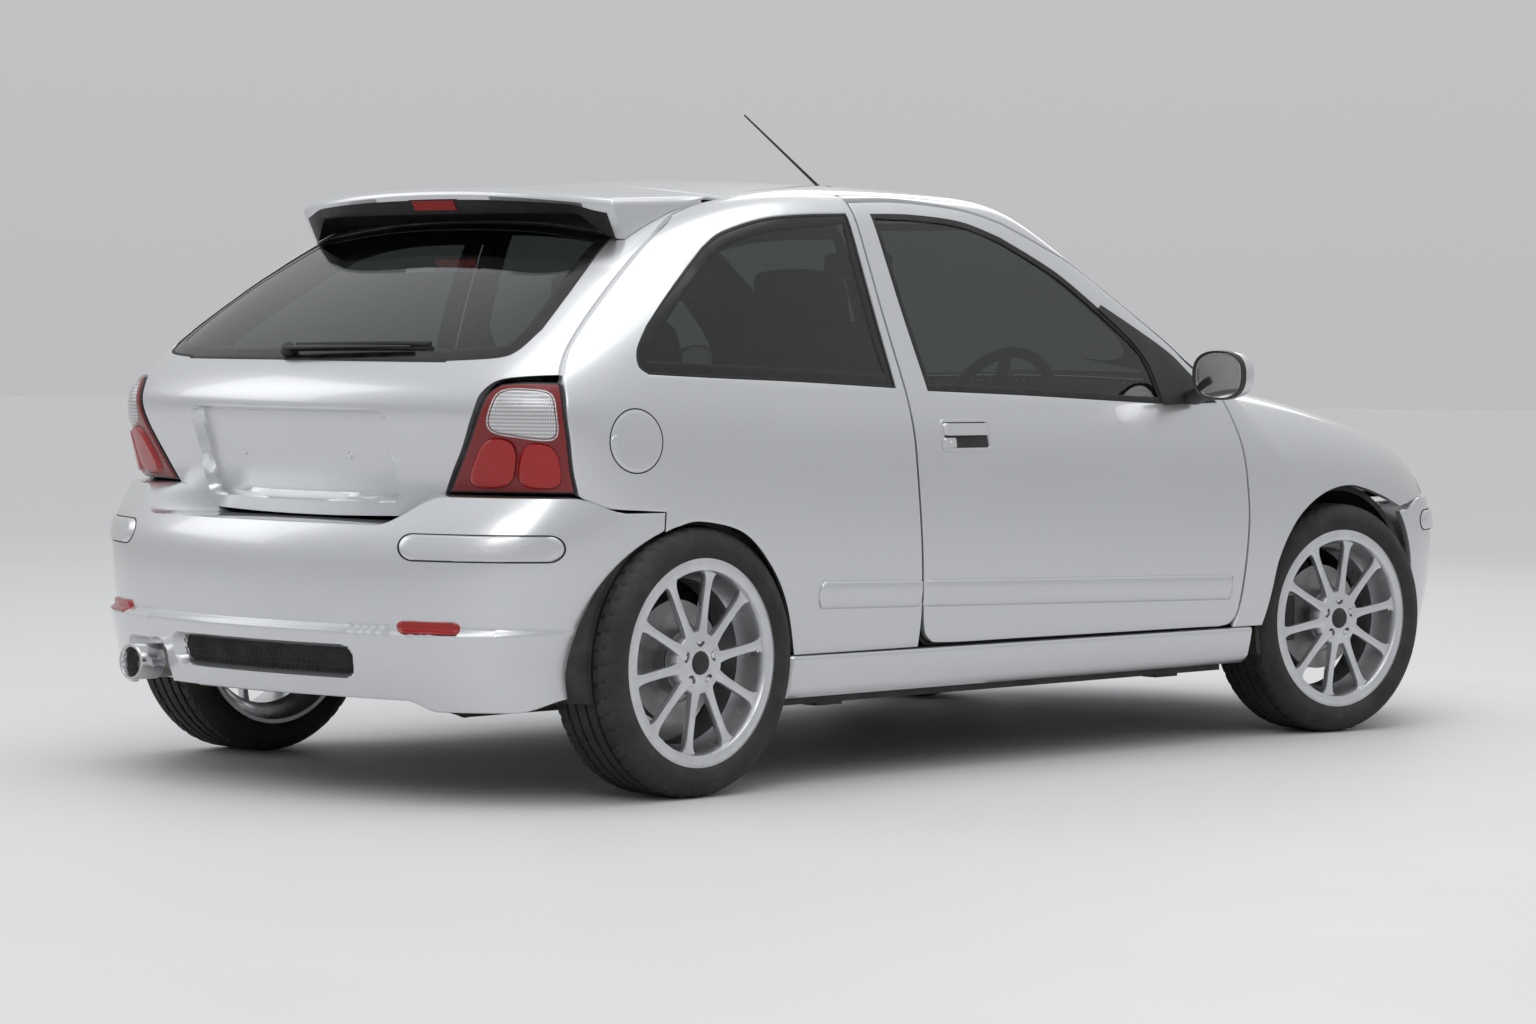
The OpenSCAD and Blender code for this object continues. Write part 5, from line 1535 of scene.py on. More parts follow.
@dataclass
class Door:
    """A door with its frame, glass, black edge trims, handle, rub strip and mirror."""

    side: Side
    fine: int = 6
    rows: int = 34
    handle_centre: tuple[float, float] = (-407.0, 816.0)
    handle_size: tuple[float, float] = (182.0, 77.0)
    strip_height: float = 66.0

    @property
    def body(self) -> str:
        """Name of the body that the door's pieces ride on."""
        return f"door_{self.side.word}"

    def named(self, piece: str) -> str:
        """Name of a piece of this door."""
        return f"door_{piece}_{self.side.word}"

    def build(self) -> None:
        """Builds and dresses the door."""
        self.skin()
        self.glass()
        self.handle()
        self.strips()
        self.mirror()

    def skin(self) -> None:
        """Painted skin round the window, and the trim panel inside."""
        door = Lines.loop(Lines.DOOR, Lines.DOOR_STEPS, self.fine)
        window = Lines.loop(Lines.WINDOW, Lines.DOOR_STEPS, self.fine)
        net = ring(door, window, self.rows)
        dress(Press.panel(self.named("skin"), net, Way.SIDE, self.side, closed=True), SILVER, self.body,
              self.body)
        inner = ring(Press.shrink(door, 14), Press.shrink(window, -4), 8)
        card = Press.panel(self.named("frame_trim"), inner, Way.SIDE, self.side, closed=True, lift=-32.0)
        dress(card, CABIN, self.body)
        low = np.stack([np.linspace(-500, 640, 60), np.full(60, 345.0)], 1)
        high = np.stack([np.linspace(-505, 600, 60), np.full(60, 885.0)], 1)
        face = coons(Skin.side(low), Skin.side(high), straight(*Skin.side([low[0], high[0]]), 30),
                     straight(*Skin.side([low[-1], high[-1]]), 30))

        def pocket(p: Points) -> Points:
            """Arm rest and pocket of the trim panel.

            Args:
                p: points on the skin.

            Returns:
                A depth for each point.
            """
            rest = -34 * ease(560, 600, p[..., 2]) * (1 - ease(640, 690, p[..., 2]))
            return rest * ease(-480, -380, p[..., 0]) * (1 - ease(200, 330, p[..., 0]))

        card = Press.panel(self.named("card"), face, Way.SIDE, self.side, lift=-84.0, dent=lambda p: -pocket(p))
        dress(card, CLOTH, self.body)

    def glass(self) -> None:
        """Window pane with its black edge and the sail in front of it."""
        rear, belt, pillar, top = Lines.WINDOW
        n, m = 60, 40
        net = coons(Skin.side(curve(belt, n)), Skin.side(curve(top, n)[::-1]), Skin.side(curve(rear, m)[::-1]),
                    Skin.side(curve(pillar, m)))
        dress(Press.pane(self.named("pane"), net, Way.SIDE, self.side), GLASS, self.body,
              f"door_glass_{self.side.word}")
        loop = Lines.loop(Lines.WINDOW, Lines.DOOR_STEPS, self.fine)
        dress(Press.band(self.named("window_seal"), loop, 17.0, Way.SIDE, self.side, lift=-1.0, even=6), SEAL,
              self.body)
        inner = Skin.side(curve(((404, 884), (386, 984), (334, 1053), (240, 1128)), 24))
        outer = Skin.side(curve(((632, 890), (548, 968), (470, 1030), (258, 1138)), 24))
        sail = coons(straight(inner[0], outer[0], 24), straight(inner[-1], outer[-1], 24), inner, outer)
        dress(Press.panel(self.named("sail"), sail, Way.SIDE, self.side, hem=Press.SHALLOW, lift=2.5), TRIM,
              self.body)

    def box(self, centre: Sequence[float], size: Sequence[float], corner: float, count: int = 18) -> Points:
        """Outline of a rounded rectangle on the side of the car.

        Args:
            centre: middle, as [x, z].
            size: length and height.
            corner: radius of its corners.
            count: steps for each corner.

        Returns:
            A closed loop on the skin.
        """
        a = np.radians(np.linspace(0, 90, count))
        flat = []
        for k, (sx, sz) in enumerate(((1, 1), (-1, 1), (-1, -1), (1, -1))):
            middle = np.array([sx * (size[0] / 2 - corner), sz * (size[1] / 2 - corner)])
            flat.append(middle + corner * np.stack([np.cos(a + k * math.pi / 2), np.sin(a + k * math.pi / 2)],
                                                   1))
        return Skin.side(np.concatenate(flat) + np.asarray(centre, float))

    def handle(self) -> None:
        """Door handle: raised frame, dark pocket, pull flap and lock barrel."""
        x, z = self.handle_centre
        w, h = self.handle_size
        frame_loop = self.box((x, z), (w, h), 12)
        dress(Press.band(self.named("handle_frame"), frame_loop, 8.0, Way.SIDE, self.side, lift=3.0), SILVER,
              self.body)
        dress(Press.pad(self.named("handle_pocket"), self.box((x, z), (w - 10, h - 10), 9), Way.SIDE, 0.6,
                        self.side, round_over=4.0), TRIM, self.body)
        dress(Press.pad(self.named("handle_flap"), self.box((x, z + 14), (w - 18, h - 46), 6), Way.SIDE, 9.0,
                        self.side, round_over=6.0), SILVER, self.body)
        dress(Press.pad(self.named("handle_rest"), self.box((x - w / 2 + 30, z - 18), (44, 26), 6), Way.SIDE,
                        4.0, self.side, round_over=4.0), SILVER, self.body)
        dress(Press.pad(self.named("lock"), self.box((x - w / 2 + 30, z - 18), (15, 15), 7.2), Way.SIDE, 6.5,
                        self.side, round_over=2.0, rows=8), CHROME, self.body)

    def strips(self) -> None:
        """Painted rub strip on the door and its short end on the quarter panel."""
        for name, ends, body in (("rub_strip", (-546.0, 676.0), self.body),
                                 ("rub_strip_end", (-915.0, -557.0), "body")):
            x = np.linspace(*ends, 120)
            middle = 447 - 0.0237 * (x + 915)
            s = np.clip(np.minimum(x - ends[0], ends[1] - x) / 14, 0, 1)
            round_end = np.sqrt(1 - (1 - s) ** 2)
            free_end = x < ends[0] + 40 if name == "rub_strip_end" else x > ends[1] - 40
            taper = np.where(free_end, round_end, np.maximum(round_end, 0.9))
            net, inset = [], []
            for v, out in ((-1.0, -1.0), (-0.99, 2.5), (-0.94, 5.0), (-0.8, 7.0), (-0.4, 8.2), (0.0, 8.6),
                           (0.4, 8.2), (0.8, 7.0), (0.94, 5.0), (0.99, 2.5), (1.0, -1.0)):
                z = middle + v * self.strip_height / 2 * (0.25 + 0.75 * taper)
                net.append(np.stack([x, np.full(x.shape, -800.0), z], 1))
                inset.append(-out * np.sqrt(np.clip(round_end, 0.0, 1)) + 0.6)
            placed = Skin.carry(np.array(net), Way.SIDE, np.array(inset))
            made = Mesher.net(self.named(name), self.side.of(placed), False,
                              np.array([0, self.side.value, 0.0]), 50.0)
            dress(made, SILVER, body)

    def mirror(self) -> None:
        """Door mirror: painted back, black rim, mirror glass and its foot on the sail."""
        s = self.side.value
        centre, n = np.array([496.0, -925.0, 962.0]), 64
        a = np.linspace(0, 2 * math.pi, n, endpoint=False)
        oval = np.stack([np.zeros(n), 78 * lobe(np.cos(a), 0.8), 62 * lobe(np.sin(a), 0.8)], 1)
        back = [(-20.0, 0.92), (-17.0, 0.97), (-8.0, 1.0), (12.0, 1.0), (34.0, 0.94), (52.0, 0.80),
                (64.0, 0.60), (71.0, 0.36), (74.0, 0.10)]
        net = np.array([centre + (x, 0, 0) + oval * k for x, k in back])
        edge = ((-19, 0.93), (-24, 0.97), (-26, 1.0), (-20, 1.02), (-6, 1.02), (-4, 0.99))
        rim = np.array([centre + (x, 0, 0) + oval * k for x, k in edge])
        pane = ((-17.5, 0.95), (-18.5, 0.6), (-19.0, 0.25), (-19.1, 0.02))
        face = np.array([centre + (x, 0, 0) + oval * k for x, k in pane])
        if self.side is Side.LEFT:
            net, rim, face = flip(net), flip(rim), flip(face)
        dress(Mesher.net(self.named("mirror_back"), net, True, net[4, n // 2] - centre * (1, -s, 1)), SILVER,
              self.body, f"mirror_{self.side.word}")
        dress(Mesher.net(self.named("mirror_rim"), rim, True, rim[3, n // 2] - centre * (1, -s, 1)), TRIM,
              self.body)
        dress(Mesher.net(self.named("mirror_glass"), face, True, np.array([-1.0, 0, 0])), CHROME, self.body)
        path = curve(((520, -815, 905), (510, -850, 918), (500, -885, 940), (498, -905, 950)), 16)
        foot = Mesher.tube(self.named("mirror_foot"), self.side.of(path), np.linspace(36, 26, 17), 20, flat=0.6)
        dress(foot, TRIM, self.body)


@dataclass
class Glazing:
    """Windscreen and quarter windows with their black edges."""

    fine: int = 6

    def build(self) -> None:
        """Builds and dresses the fixed panes."""
        self.windscreen()
        for side in Side:
            self.quarter(side)

    def windscreen(self) -> None:
        """Windscreen with its black border."""
        side = Lines.screen_side(60) + [0, 2.5, 0]
        y = np.linspace(side[0][1], -side[0][1], 81)
        low = Skin.carry(Lines.screen_base(y, 0.0), Way.TOP)
        high = curve((side[-1], (95, -300, 1400), (108, 0, 1400), (95, 300, 1400), flip(side[-1])), 80)
        net = coons(low, high, side, flip(side))
        dress(Press.pane("screen_pane", net, Way.SCREEN), GLASS, "body", "windscreen")
        placed = Skin.carry(net, Way.SCREEN)
        loop = np.concatenate([placed[0, :-1], placed[:-1, -1], placed[-1, :0:-1], placed[:0:-1, 0]])
        dress(Press.band("screen_border", loop, 34.0, Way.SCREEN, lift=-3.0, even=4), FRIT, "body")

    def quarter(self, side: Side) -> None:
        """Quarter window with its black border.

        Args:
            side: side of the car.
        """
        front, low, arc, tail, top = Lines.QUARTER_WINDOW
        n, m = 60, 36
        rear = joined(curve(arc, 16), curve(tail, m - 16))
        net = coons(Skin.side(curve(low, n)), Skin.side(curve(top, n)[::-1]), Skin.side(curve(front, m)[::-1]),
                    Skin.side(rear))
        dress(Press.pane(f"quarter_pane_{side.word}", net, Way.FLANK, side), GLASS, "body", "quarter_glass")
        loop = Lines.loop(Lines.QUARTER_WINDOW, Lines.QUARTER_STEPS, self.fine)
        dress(Press.band(f"quarter_border_{side.word}", loop, 34.0, Way.FLANK, side, lift=-3.0, even=8), FRIT,
              "body")
        dress(Press.band(f"quarter_seal_{side.word}", loop, 7.0, Way.FLANK, side, lift=-1.2, even=4), SEAL,
              "body")


@dataclass
class Bonnet:
    """Bonnet and its underside."""

    body: str = "bonnet"

    def build(self) -> None:
        """Builds and dresses the bonnet and its underside."""
        right = curve(Lines.BONNET, 72)
        rear = Lines.screen_base(np.linspace(-654, 654, 97), 76.0)
        front = curve(((1730, -520, 780), (1800, -280, 790), (1818, 0, 790), (1800, 280, 790),
                       (1730, 520, 780)), 96)
        net = coons(rear, front, right, flip(right))
        dress(Press.panel("bonnet_skin", net, Way.TOP), SILVER, self.body, "bonnet")
        dress(Press.panel("bonnet_frame", net[3:-3:2, 3:-3:2], Way.TOP, lift=-20.0), UNDER, self.body)


@dataclass
class Tailgate:
    """Tailgate with its plate recess, glass, spoiler and wiper."""

    body: str = "tailgate"
    fine: int = 13
    recess_half: float = 332.0
    recess_z: tuple[float, float] = (668.0, 871.0)
    recess_depth: float = 22.0
    TOP = ((-985, 0, 1414), (-985, -300, 1404), (-1000, -505, 1382))
    SIDE = ((-1000, -505, 1382), (-1134, -538, 1333), (-1251, -583, 1270), (-1357, -608, 1199),
            (-1464, -637, 1124), (-1555, -665, 1056), (-1614, -688, 1004), (-1648, -712, 957))
    LAMP = ((-1648, -712, 957), (-1716, -660, 954), (-1752, -612, 944), (-1778, -590, 917), (-1792, -578, 872),
            (-1788, -543, 804), (-1778, -498, 739), (-1770, -462, 684), (-1774, -442, 648), (-1790, -415, 630))
    LOW_Y = (-415, -277, -138, 0)
    GLASS_TOP = ((-1262, 0, 1308), (-1262, -260, 1303), (-1275, -500, 1279))
    GLASS_SIDE = ((-1275, -500, 1279), (-1441, -557, 1177), (-1530, -584, 1114), (-1600, -604, 1060))
    GLASS_CORNER = ((-1600, -604, 1060), (-1674, -603, 1012), (-1714, -567, 994), (-1752, -450, 986))

    def half(self, runs: Sequence) -> Points:
        """Closed loop from the runs of its right half, top to bottom.

        Args:
            runs: runs of points.

        Returns:
            The loop on the skin.
        """
        f = self.fine
        line = np.concatenate([curve(r, n * f)[:-1] for r, n in zip(runs, (3, 7, 9, 4))] + [[runs[-1][-1]]])
        line = Skin.carry(line, Way.TAIL)
        return np.concatenate([line, flip(line[-2:0:-1])])

    def loops(self) -> tuple[Points, Points]:
        """Outer outline and glass outline, point for point.

        Returns:
            The two loops.
        """
        low = [(-1800, y, 626) for y in self.LOW_Y]
        sill = [(-1790, -450, 986), (-1790, -300, 984), (-1790, -150, 983), (-1790, 0, 983)]
        return (self.half((self.TOP, self.SIDE, self.LAMP, low)),
                self.half((self.GLASS_TOP, self.GLASS_SIDE, self.GLASS_CORNER, sill)))

    def recess(self, p: Points) -> Points:
        """Depth of the plate recess at points on the skin."""
        return self.recess_depth * opening(p, (-self.recess_half, self.recess_half), self.recess_z, 24.0, 4.0)

    def build(self) -> None:
        """Builds and dresses the tailgate."""
        tail, glass = self.loops()
        cuts = (0, 0.06, 0.12, 0.3, 0.5, 0.66, 0.74, 1)
        spans = [np.linspace(a, b, 7, endpoint=False) for a, b in zip(cuts[:-1], cuts[1:])]
        s = np.concatenate(spans + [[1.0]])
        net = tail[None] * (1 - s[:, None, None]) + glass[None] * s[:, None, None]
        skin = Press.panel("tailgate_skin", net, Way.TAIL, closed=True, dent=self.recess)
        dress(skin, SILVER, self.body, "tailgate")
        lining = Press.panel("tailgate_lining", ring(Press.shrink(tail, 20), Press.shrink(glass, -4), 7),
                             Way.TAIL, closed=True, lift=-40.0)
        dress(lining, CABIN, self.body)
        self.glass(glass)
        self.screws()
        self.spoiler()
        self.wiper()

    def glass(self, loop: Points) -> None:
        """Rear glass with a wide black border.

        Args:
            loop: outline of the glass.
        """
        n = len(loop)
        a, b = 3 * self.fine + 7 * self.fine, 3 * self.fine
        top = np.concatenate([loop[-b:], loop[:b + 1]])[::-1]
        right = loop[b:a + 1][::-1]
        low = loop[a:n - a + 1]
        left = loop[n - a:n - b + 1]
        bottom = along(low, np.linspace(0, len(low) - 1, len(top)))
        net = coons(bottom, top, right, left)
        dress(Press.pane("rear_pane", net, Way.TAIL), GLASS, self.body, "rear_glass")
        dress(Press.band("rear_border", loop, 42.0, Way.TAIL, lift=-3.0, even=8), FRIT, self.body)
        dress(Press.band("rear_seal", loop, 7.0, Way.TAIL, lift=-1.0, even=4), SEAL, self.body)

    def screws(self) -> None:
        """Two screw heads in the plate recess."""
        parts = []
        for y in (-185.0, 185.0):
            section = ((0.2, 5.0), (4.0, 4.6), (7.0, 3.0), (8.0, 0.0), (8.0, -3.0))
            head = Mesher.lathe(f"plate_screw_{y}", section, 24, closed=False)
            spot = Skin.carry(np.array([-1800.0, y, 769.0]), Way.TAIL, self.recess_depth)
            parts.append(Mesher.stand(head, spot, Skin.normal(spot)))
        dress(Mesher.merge("plate_screws", parts), CHROME, self.body)

    def spoiler(self) -> None:
        """Roof spoiler with closed ends, painted shade in black below and behind, and a stop lamp in its rear
        face.
        """
        along_v = np.concatenate([np.linspace(0, 0.95, 44), 1 - 0.05 * np.linspace(1, 0, 15)[1:] ** 2])
        u, v = np.meshgrid(np.sin(np.linspace(-math.pi / 2, math.pi / 2, 141)), along_v)
        end = ease(0.8, 1.0, np.abs(u))
        y = u * (520 + 22 * v)
        x = (-968 - 22 * u * u) * (1 - v) + (-1392 + 70 * u**4) * v
        seat = Skin.carry(np.stack([x + 40 * v * end, y, np.full(x.shape, 1300.0)], -1), Way.TOP)
        under = seat.copy()
        rest = seat[..., 2] + 0.9
        free = np.maximum(rest, 1312 + 0.13 * (-1240 - seat[..., 0]))
        under[..., 2] = np.where(seat[..., 0] > -1240, rest, free * (1 - end) + rest * end)
        under[..., 0] += 24 * v**6 * (1 - end)
        plane = (seat[0, :, 2] + 4) * (1 - v) + (1391 - 30 * u * u) * v
        radius = 17.0
        near = np.clip(radius - np.minimum((1 - v) * 424, (1 - np.abs(u)) * 540), 0, radius)
        rounded = plane - (radius - np.sqrt(radius**2 - near**2)) * ease(0.0, 0.3, v)
        top = np.stack([x, y, np.maximum(rounded, under[..., 2] + 1.5)], -1)
        dress(Mesher.solid("spoiler_skin", top, under), SILVER, self.body, "spoiler")
        # Painted shade: a black sheet under the silver spoiler and over most of its rear face, where these are
        # in shadow.
        shaded_underside = under[30:, 12:-12] - [0, 0, 0.8]
        face = ring(under[-1, 12:-12], under[-1, 12:-12] + (top[-1] - under[-1])[12:-12] * 0.78,
                    6) - (0.8, 0, 0.8)
        dress(Mesher.net("spoiler_belly", np.concatenate([shaded_underside, face[1:]]), False, np.array([0, 0, -1.0])),
              TRIM, self.body)
        for name, half, low, high, proud, finish in (("stop_lamp_frame", 88.0, 0.13, 0.80, 1.0, FRIT),
                                                     ("stop_lamp", 80.0, 0.2, 0.72, 3.5, RED)):
            mid = np.abs(y[-1]) < half
            foot, rise = under[-1, mid], top[-1, mid] - under[-1, mid]
            face = ring(foot + rise * low, foot + rise * high, 6) - [proud, 0, 0]
            dress(Mesher.solid(name, face, face + [6.0, 0, 0]), finish, self.body)

    def wiper(self) -> None:
        """Rear wiper: pivot cap, arm and blade."""
        pivot, tip = np.array([-1772.0, 55, 1000]), np.array([-1750.0, -330, 1012])
        out = np.array([-0.84, 0, 0.54])
        base = Skin.carry(pivot, Way.TAIL, 4.0)
        path = Skin.carry(straight(pivot, tip, 30), Way.TAIL, 4.0) + out * np.linspace(20, 12, 31)[:, None]
        arm = Mesher.tube("rear_wiper_arm", path, np.linspace(11, 6, 31), 10, flat=0.55)
        dress(arm, TRIM, self.body, "rear_wiper")
        blade = Skin.carry(straight((-1768, 45, 1014), (-1742, -372, 1022), 30), Way.TAIL, 4.0) + out * 7
        dress(Mesher.tube("rear_wiper_blade", blade, 5.5, 8, flat=1.2), SEAL, self.body)
        cap = Mesher.lathe("rear_wiper_cap", ((0.2, 27), (9, 26), (15, 22), (18, 14), (18, 0)), 32,
                           closed=False)
        dress(Mesher.stand(cap, base, out), TRIM, self.body)


@dataclass
class Bumper:
    """A bumper round one end of the car, from arch to arch."""

    name: str
    form: Form
    way: Way
    corner_x: float
    facing: int
    columns: int = 270
    rows: int = 80
    low: tuple[float, float] = (208.0, 30.0)
    arch: float = 24.0

    def ends(self, z: Points) -> Points:
        """Angle of the bumper's end at the wheel arch.

        Args:
            z: heights.

        Returns:
            An angle for each height.
        """
        if self.facing < 0:
            radius = 335 - 16 * ease(450, 600, z)
            return np.arctan2(800, np.maximum(-87 + np.sqrt(np.maximum(radius**2 - (z - 308) ** 2, 0)), 19))
        return np.arctan2(800, -103 + np.sqrt(np.maximum(385**2 - (z - 308) ** 2, 0)) + 6)

    def top(self, u: Points) -> Points:
        """Height of the top edge.

        Args:
            u: shares of the way from the middle to an end.

        Returns:
            A height for each share.
        """
        if self.facing < 0:
            return 619 + 65 * ease(0.42, 0.58, u) - 36 * ease(0.8, 0.92, u)
        return 586 + 36 * ease(0.42, 0.8, u) - 34 * ease(0.84, 0.98, u)

    def at(self, angle: Points, z: Points) -> Points:
        """Points round the corner at an angle and a height."""
        x = self.corner_x + self.facing * 600 * np.cos(angle)
        return np.stack([x, 600 * np.sin(angle), np.broadcast_to(z, x.shape)], -1)

    def build(self) -> None:
        """Builds and dresses the bumper with its shelf."""
        u, v = np.meshgrid(np.linspace(-1, 1, self.columns + 1), np.linspace(0, 1, self.rows + 1))
        low = self.low[0] + self.low[1] * ease(0.85, 1, np.abs(u))
        low = low + self.arch * (1 - ease(0.6, 0.68, np.abs(u)))
        z = low + (self.top(np.abs(u)) - low) * v
        net = self.at(u * self.ends(z), z)
        skin = Press.panel(f"{self.name}_skin", net, self.way, form=self.form, edges=(1, 0, 1, 1),
                           dent=self.dents, lift=-0.6 if self.facing > 0 else 0.0)
        dress(skin, SILVER, "body", self.name)
        rim = Skin.carry(net[-1], self.way, 0.0, self.form)
        back = Skin.carry(net[-1] + (0, 0, 3), self.way, 6.0)
        inside = np.hypot(rim[:, 0], rim[:, 1]) > np.hypot(back[:, 0], back[:, 1]) + 8
        back = np.where(inside[:, None], back, Skin.carry(net[-1], self.way, 8.0, self.form) + (0, 0, 2))
        shelf = ring(rim, back, 8)
        shelf[1:, :, 2] += 1.5
        dress(Mesher.net(f"{self.name}_shelf", shelf, False, UP), SILVER, "body")

    def dents(self, p: Points) -> Points:
        """Depth of the openings in the skin.

        Args:
            p: points on the skin.

        Returns:
            A depth for each point.
        """
        if self.facing < 0:
            notch = opening(p, (286, 470), (120, 326), 30) * 40
            return np.maximum(opening(p, (-356, 238), (282, 346), 24) * 34, notch)
        intake = opening(p, (-430, 430), (236, 372), 40) * 60
        return np.maximum(intake, np.maximum(opening(p, (-690, -560), (270, 370), 48),
                                             opening(p, (560, 690), (270, 370), 48)) * 40)

    def pill(self, middle: float, half: float, z: float, height: float, count: int = 24) -> Points:
        """Outline of a long pill on the bumper.

        Args:
            middle: angle of its middle round the corner, in radians.
            half: half of its length, as an angle.
            z: height of its middle.
            height: its height.
            count: steps round each end.

        Returns:
            A closed loop near the skin, on the right side.
        """
        a = np.linspace(-math.pi / 2, math.pi / 2, count)
        bow = height / 2 / 600
        right = np.stack([middle + half - bow + bow * np.cos(a), z + height / 2 * np.sin(a)], 1)
        left = np.stack([middle - half + bow - bow * np.cos(a), z - height / 2 * np.sin(a)], 1)
        runs = [right, straight(right[-1], left[0], 40)[1:-1], left, straight(left[-1], right[0], 40)[1:-1]]
        loop = np.concatenate(runs)
        return self.at(-loop[:, 0], loop[:, 1])

    def pads(self) -> None:
        """Pill-shaped strips, each with a dark band painted round it as the shade in its gap."""
        for side in Side:
            strip = self.pill(*((0.98, 0.24, 574.0, 58.0) if self.facing < 0 else (0.90, 0.30, 560.0, 54.0)))
            # Painted shade: a thin dark band on the skin where the gap round the strip is in shadow.
            gap = Press.band(f"{self.name}_strip_gap_{side.word}",
                             Press.shrink(Skin.carry(strip, self.way, 0, self.form), -2.5, self.form), 6.0,
                             self.way, side, 0.4, self.form, 2)
            dress(gap, SEAL, "body")
            pad = Press.pad(f"{self.name}_strip_{side.word}", strip, self.way, 7.0, side, self.form, 9.0, 12)
            dress(pad, SILVER, "body")


@dataclass
class Wheel:
    """An alloy wheel with ten slim spokes, its tyre and its brake disc."""

    body: str
    front: bool
    side: Side
    rim: float = 216.0
    half: float = 94.5
    tyre: float = 308.0
    tyre_half: float = 102.5
    spokes: int = 10

    def named(self, piece: str) -> str:
        """Name of a piece of this wheel."""
        return f"{piece}_{'front' if self.front else 'rear'}_{self.side.word}"

    def place(self) -> Matrix:
        """Where the wheel stands, with its own axis turned to the car's outside.

        Returns:
            The wheel's matrix.
        """
        x, y = (1197.0, 737.5) if self.front else (-1310.0, 737.5)
        s = self.side.value
        turn = Matrix.Rotation(math.radians(-90 * s), 4, "X")
        spot = Matrix.Translation(Vector((x, y * s, 308)) * MM)
        if not self.front:
            return spot @ turn
        pin = Vector((1197.0, 665.0 * s, 308.0)) * MM
        steer = Matrix.Translation(pin) @ Matrix.Rotation(math.radians(-9.7), 4, "Z") @ Matrix.Translation(-pin)
        return steer @ spot @ turn

    def put(self, made: Thing, finish: Finish, body: str, *stands_for: str) -> None:
        """Moves a piece from the wheel's own axis to its place and dresses it."""
        made.data.transform(self.place())
        dress(made, finish, body, *stands_for)

    def build(self) -> None:
        """Builds and dresses the wheel."""
        spot = f"{'front' if self.front else 'rear'}_{self.side.word}"
        self.put(self.tread(), TYRE, self.body, f"tyre_{spot}")
        self.put(self.barrel(), ALLOY, self.body, f"rim_{spot}")
        self.put(self.spoke_ring(), ALLOY, self.body)
        self.put(self.hub(), ALLOY, self.body)
        cap = Mesher.lathe(self.named("wheel_cap"), ((0.2, 92.5), (14, 92.2), (23, 90.5), (26, 88), (26, 78)),
                           48, closed=False)
        self.put(cap, TRIM, self.body)
        self.put(self.bolts(), CHROME, self.body)
        section = ((140, -16), (140, 6), (96, 6), (96, 2), (74, 2), (72, 40), (40, 42), (40, -10), (96, -12),
                   (96, -16))
        self.put(Mesher.lathe(self.named("brake_disc"), section, 96), DISC, self.body)

    def tread(self) -> Thing:
        """Tyre with grooves round and across its tread.

        Returns:
            The new object.
        """
        t, w = self.tyre, self.tyre_half
        half = [(self.rim + 14, 78), (self.rim + 22, 92), (self.rim + 34, w - 3), (self.rim + 48, w - 0.5),
                (self.rim + 50, w + 0.0), (self.rim + 53, w - 0.6), (self.rim + 66, w - 3.5), (t - 14, w - 12),
                (t - 6.5, w - 19), (t - 2.6, w - 27)]
        grooves = (-46, -16, 16, 46)
        edges = [g + step for g in grooves for step in (-4.6, -3.8, 3.8, 4.6)]
        flat = []
        for y in sorted(edges + [-72, -66, -59, -54, -36, -28, -8, 0, 8, 28, 36, 54, 59, 66, 72], reverse=True):
            groove = any(abs(y - g) < 4.2 for g in grooves)
            flat.append((t - 0.9 * (y / 72) ** 2 - (7.0 if groove else 0.0), y))
        section = np.array(half + flat + [(r, -y) for r, y in half[::-1]])
        count = 250
        a = np.linspace(0, 2 * math.pi, count, endpoint=False)
        r = np.repeat(section[:, :1], count, 1)
        y = np.repeat(section[:, 1:], count, 1)
        phase = (np.degrees(a)[None] / 7.2 + np.abs(y) / 95.0 + (y > 0) * 0.5) % 1.0
        blocks = (phase < 0.16) & (np.abs(y) > 50) & (np.abs(y) < 92) & (r > t - 16)
        sipes = (phase < 0.08) & (np.abs(y) > 18) & (np.abs(y) <= 44) & (r > t - 4)
        r = r - 5.0 * blocks - 3.0 * sipes
        net = np.stack([r * np.cos(a), r * np.sin(a), y], -1)
        return Mesher.net(self.named("tread"), net, True, None, 30.0)

    def barrel(self) -> Thing:
        """Rim barrel with its lips.

        Returns:
            The new object.
        """
        b, w = self.rim, self.half
        section = ((b + 15, w), (b + 22, w - 2), (b + 22, w - 8), (b + 6, w - 11), (b + 1, w - 26), (b - 3, 38),
                   (b - 20, 22), (b - 20, -44), (b - 3, -60), (b + 1, -w + 14), (b + 6, -w + 8),
                   (b + 22, -w + 6), (b + 22, -w), (b + 12, -w), (b - 8, -w + 20), (b - 14, -58), (b - 27, -44),
                   (b - 27, 20), (b - 15, 40), (b - 12, w - 24), (b - 9, w - 8), (b - 5, w - 2),
                   (b + 4, w + 0.5))
        return Mesher.lathe(self.named("barrel"), section, 112, 28.0)

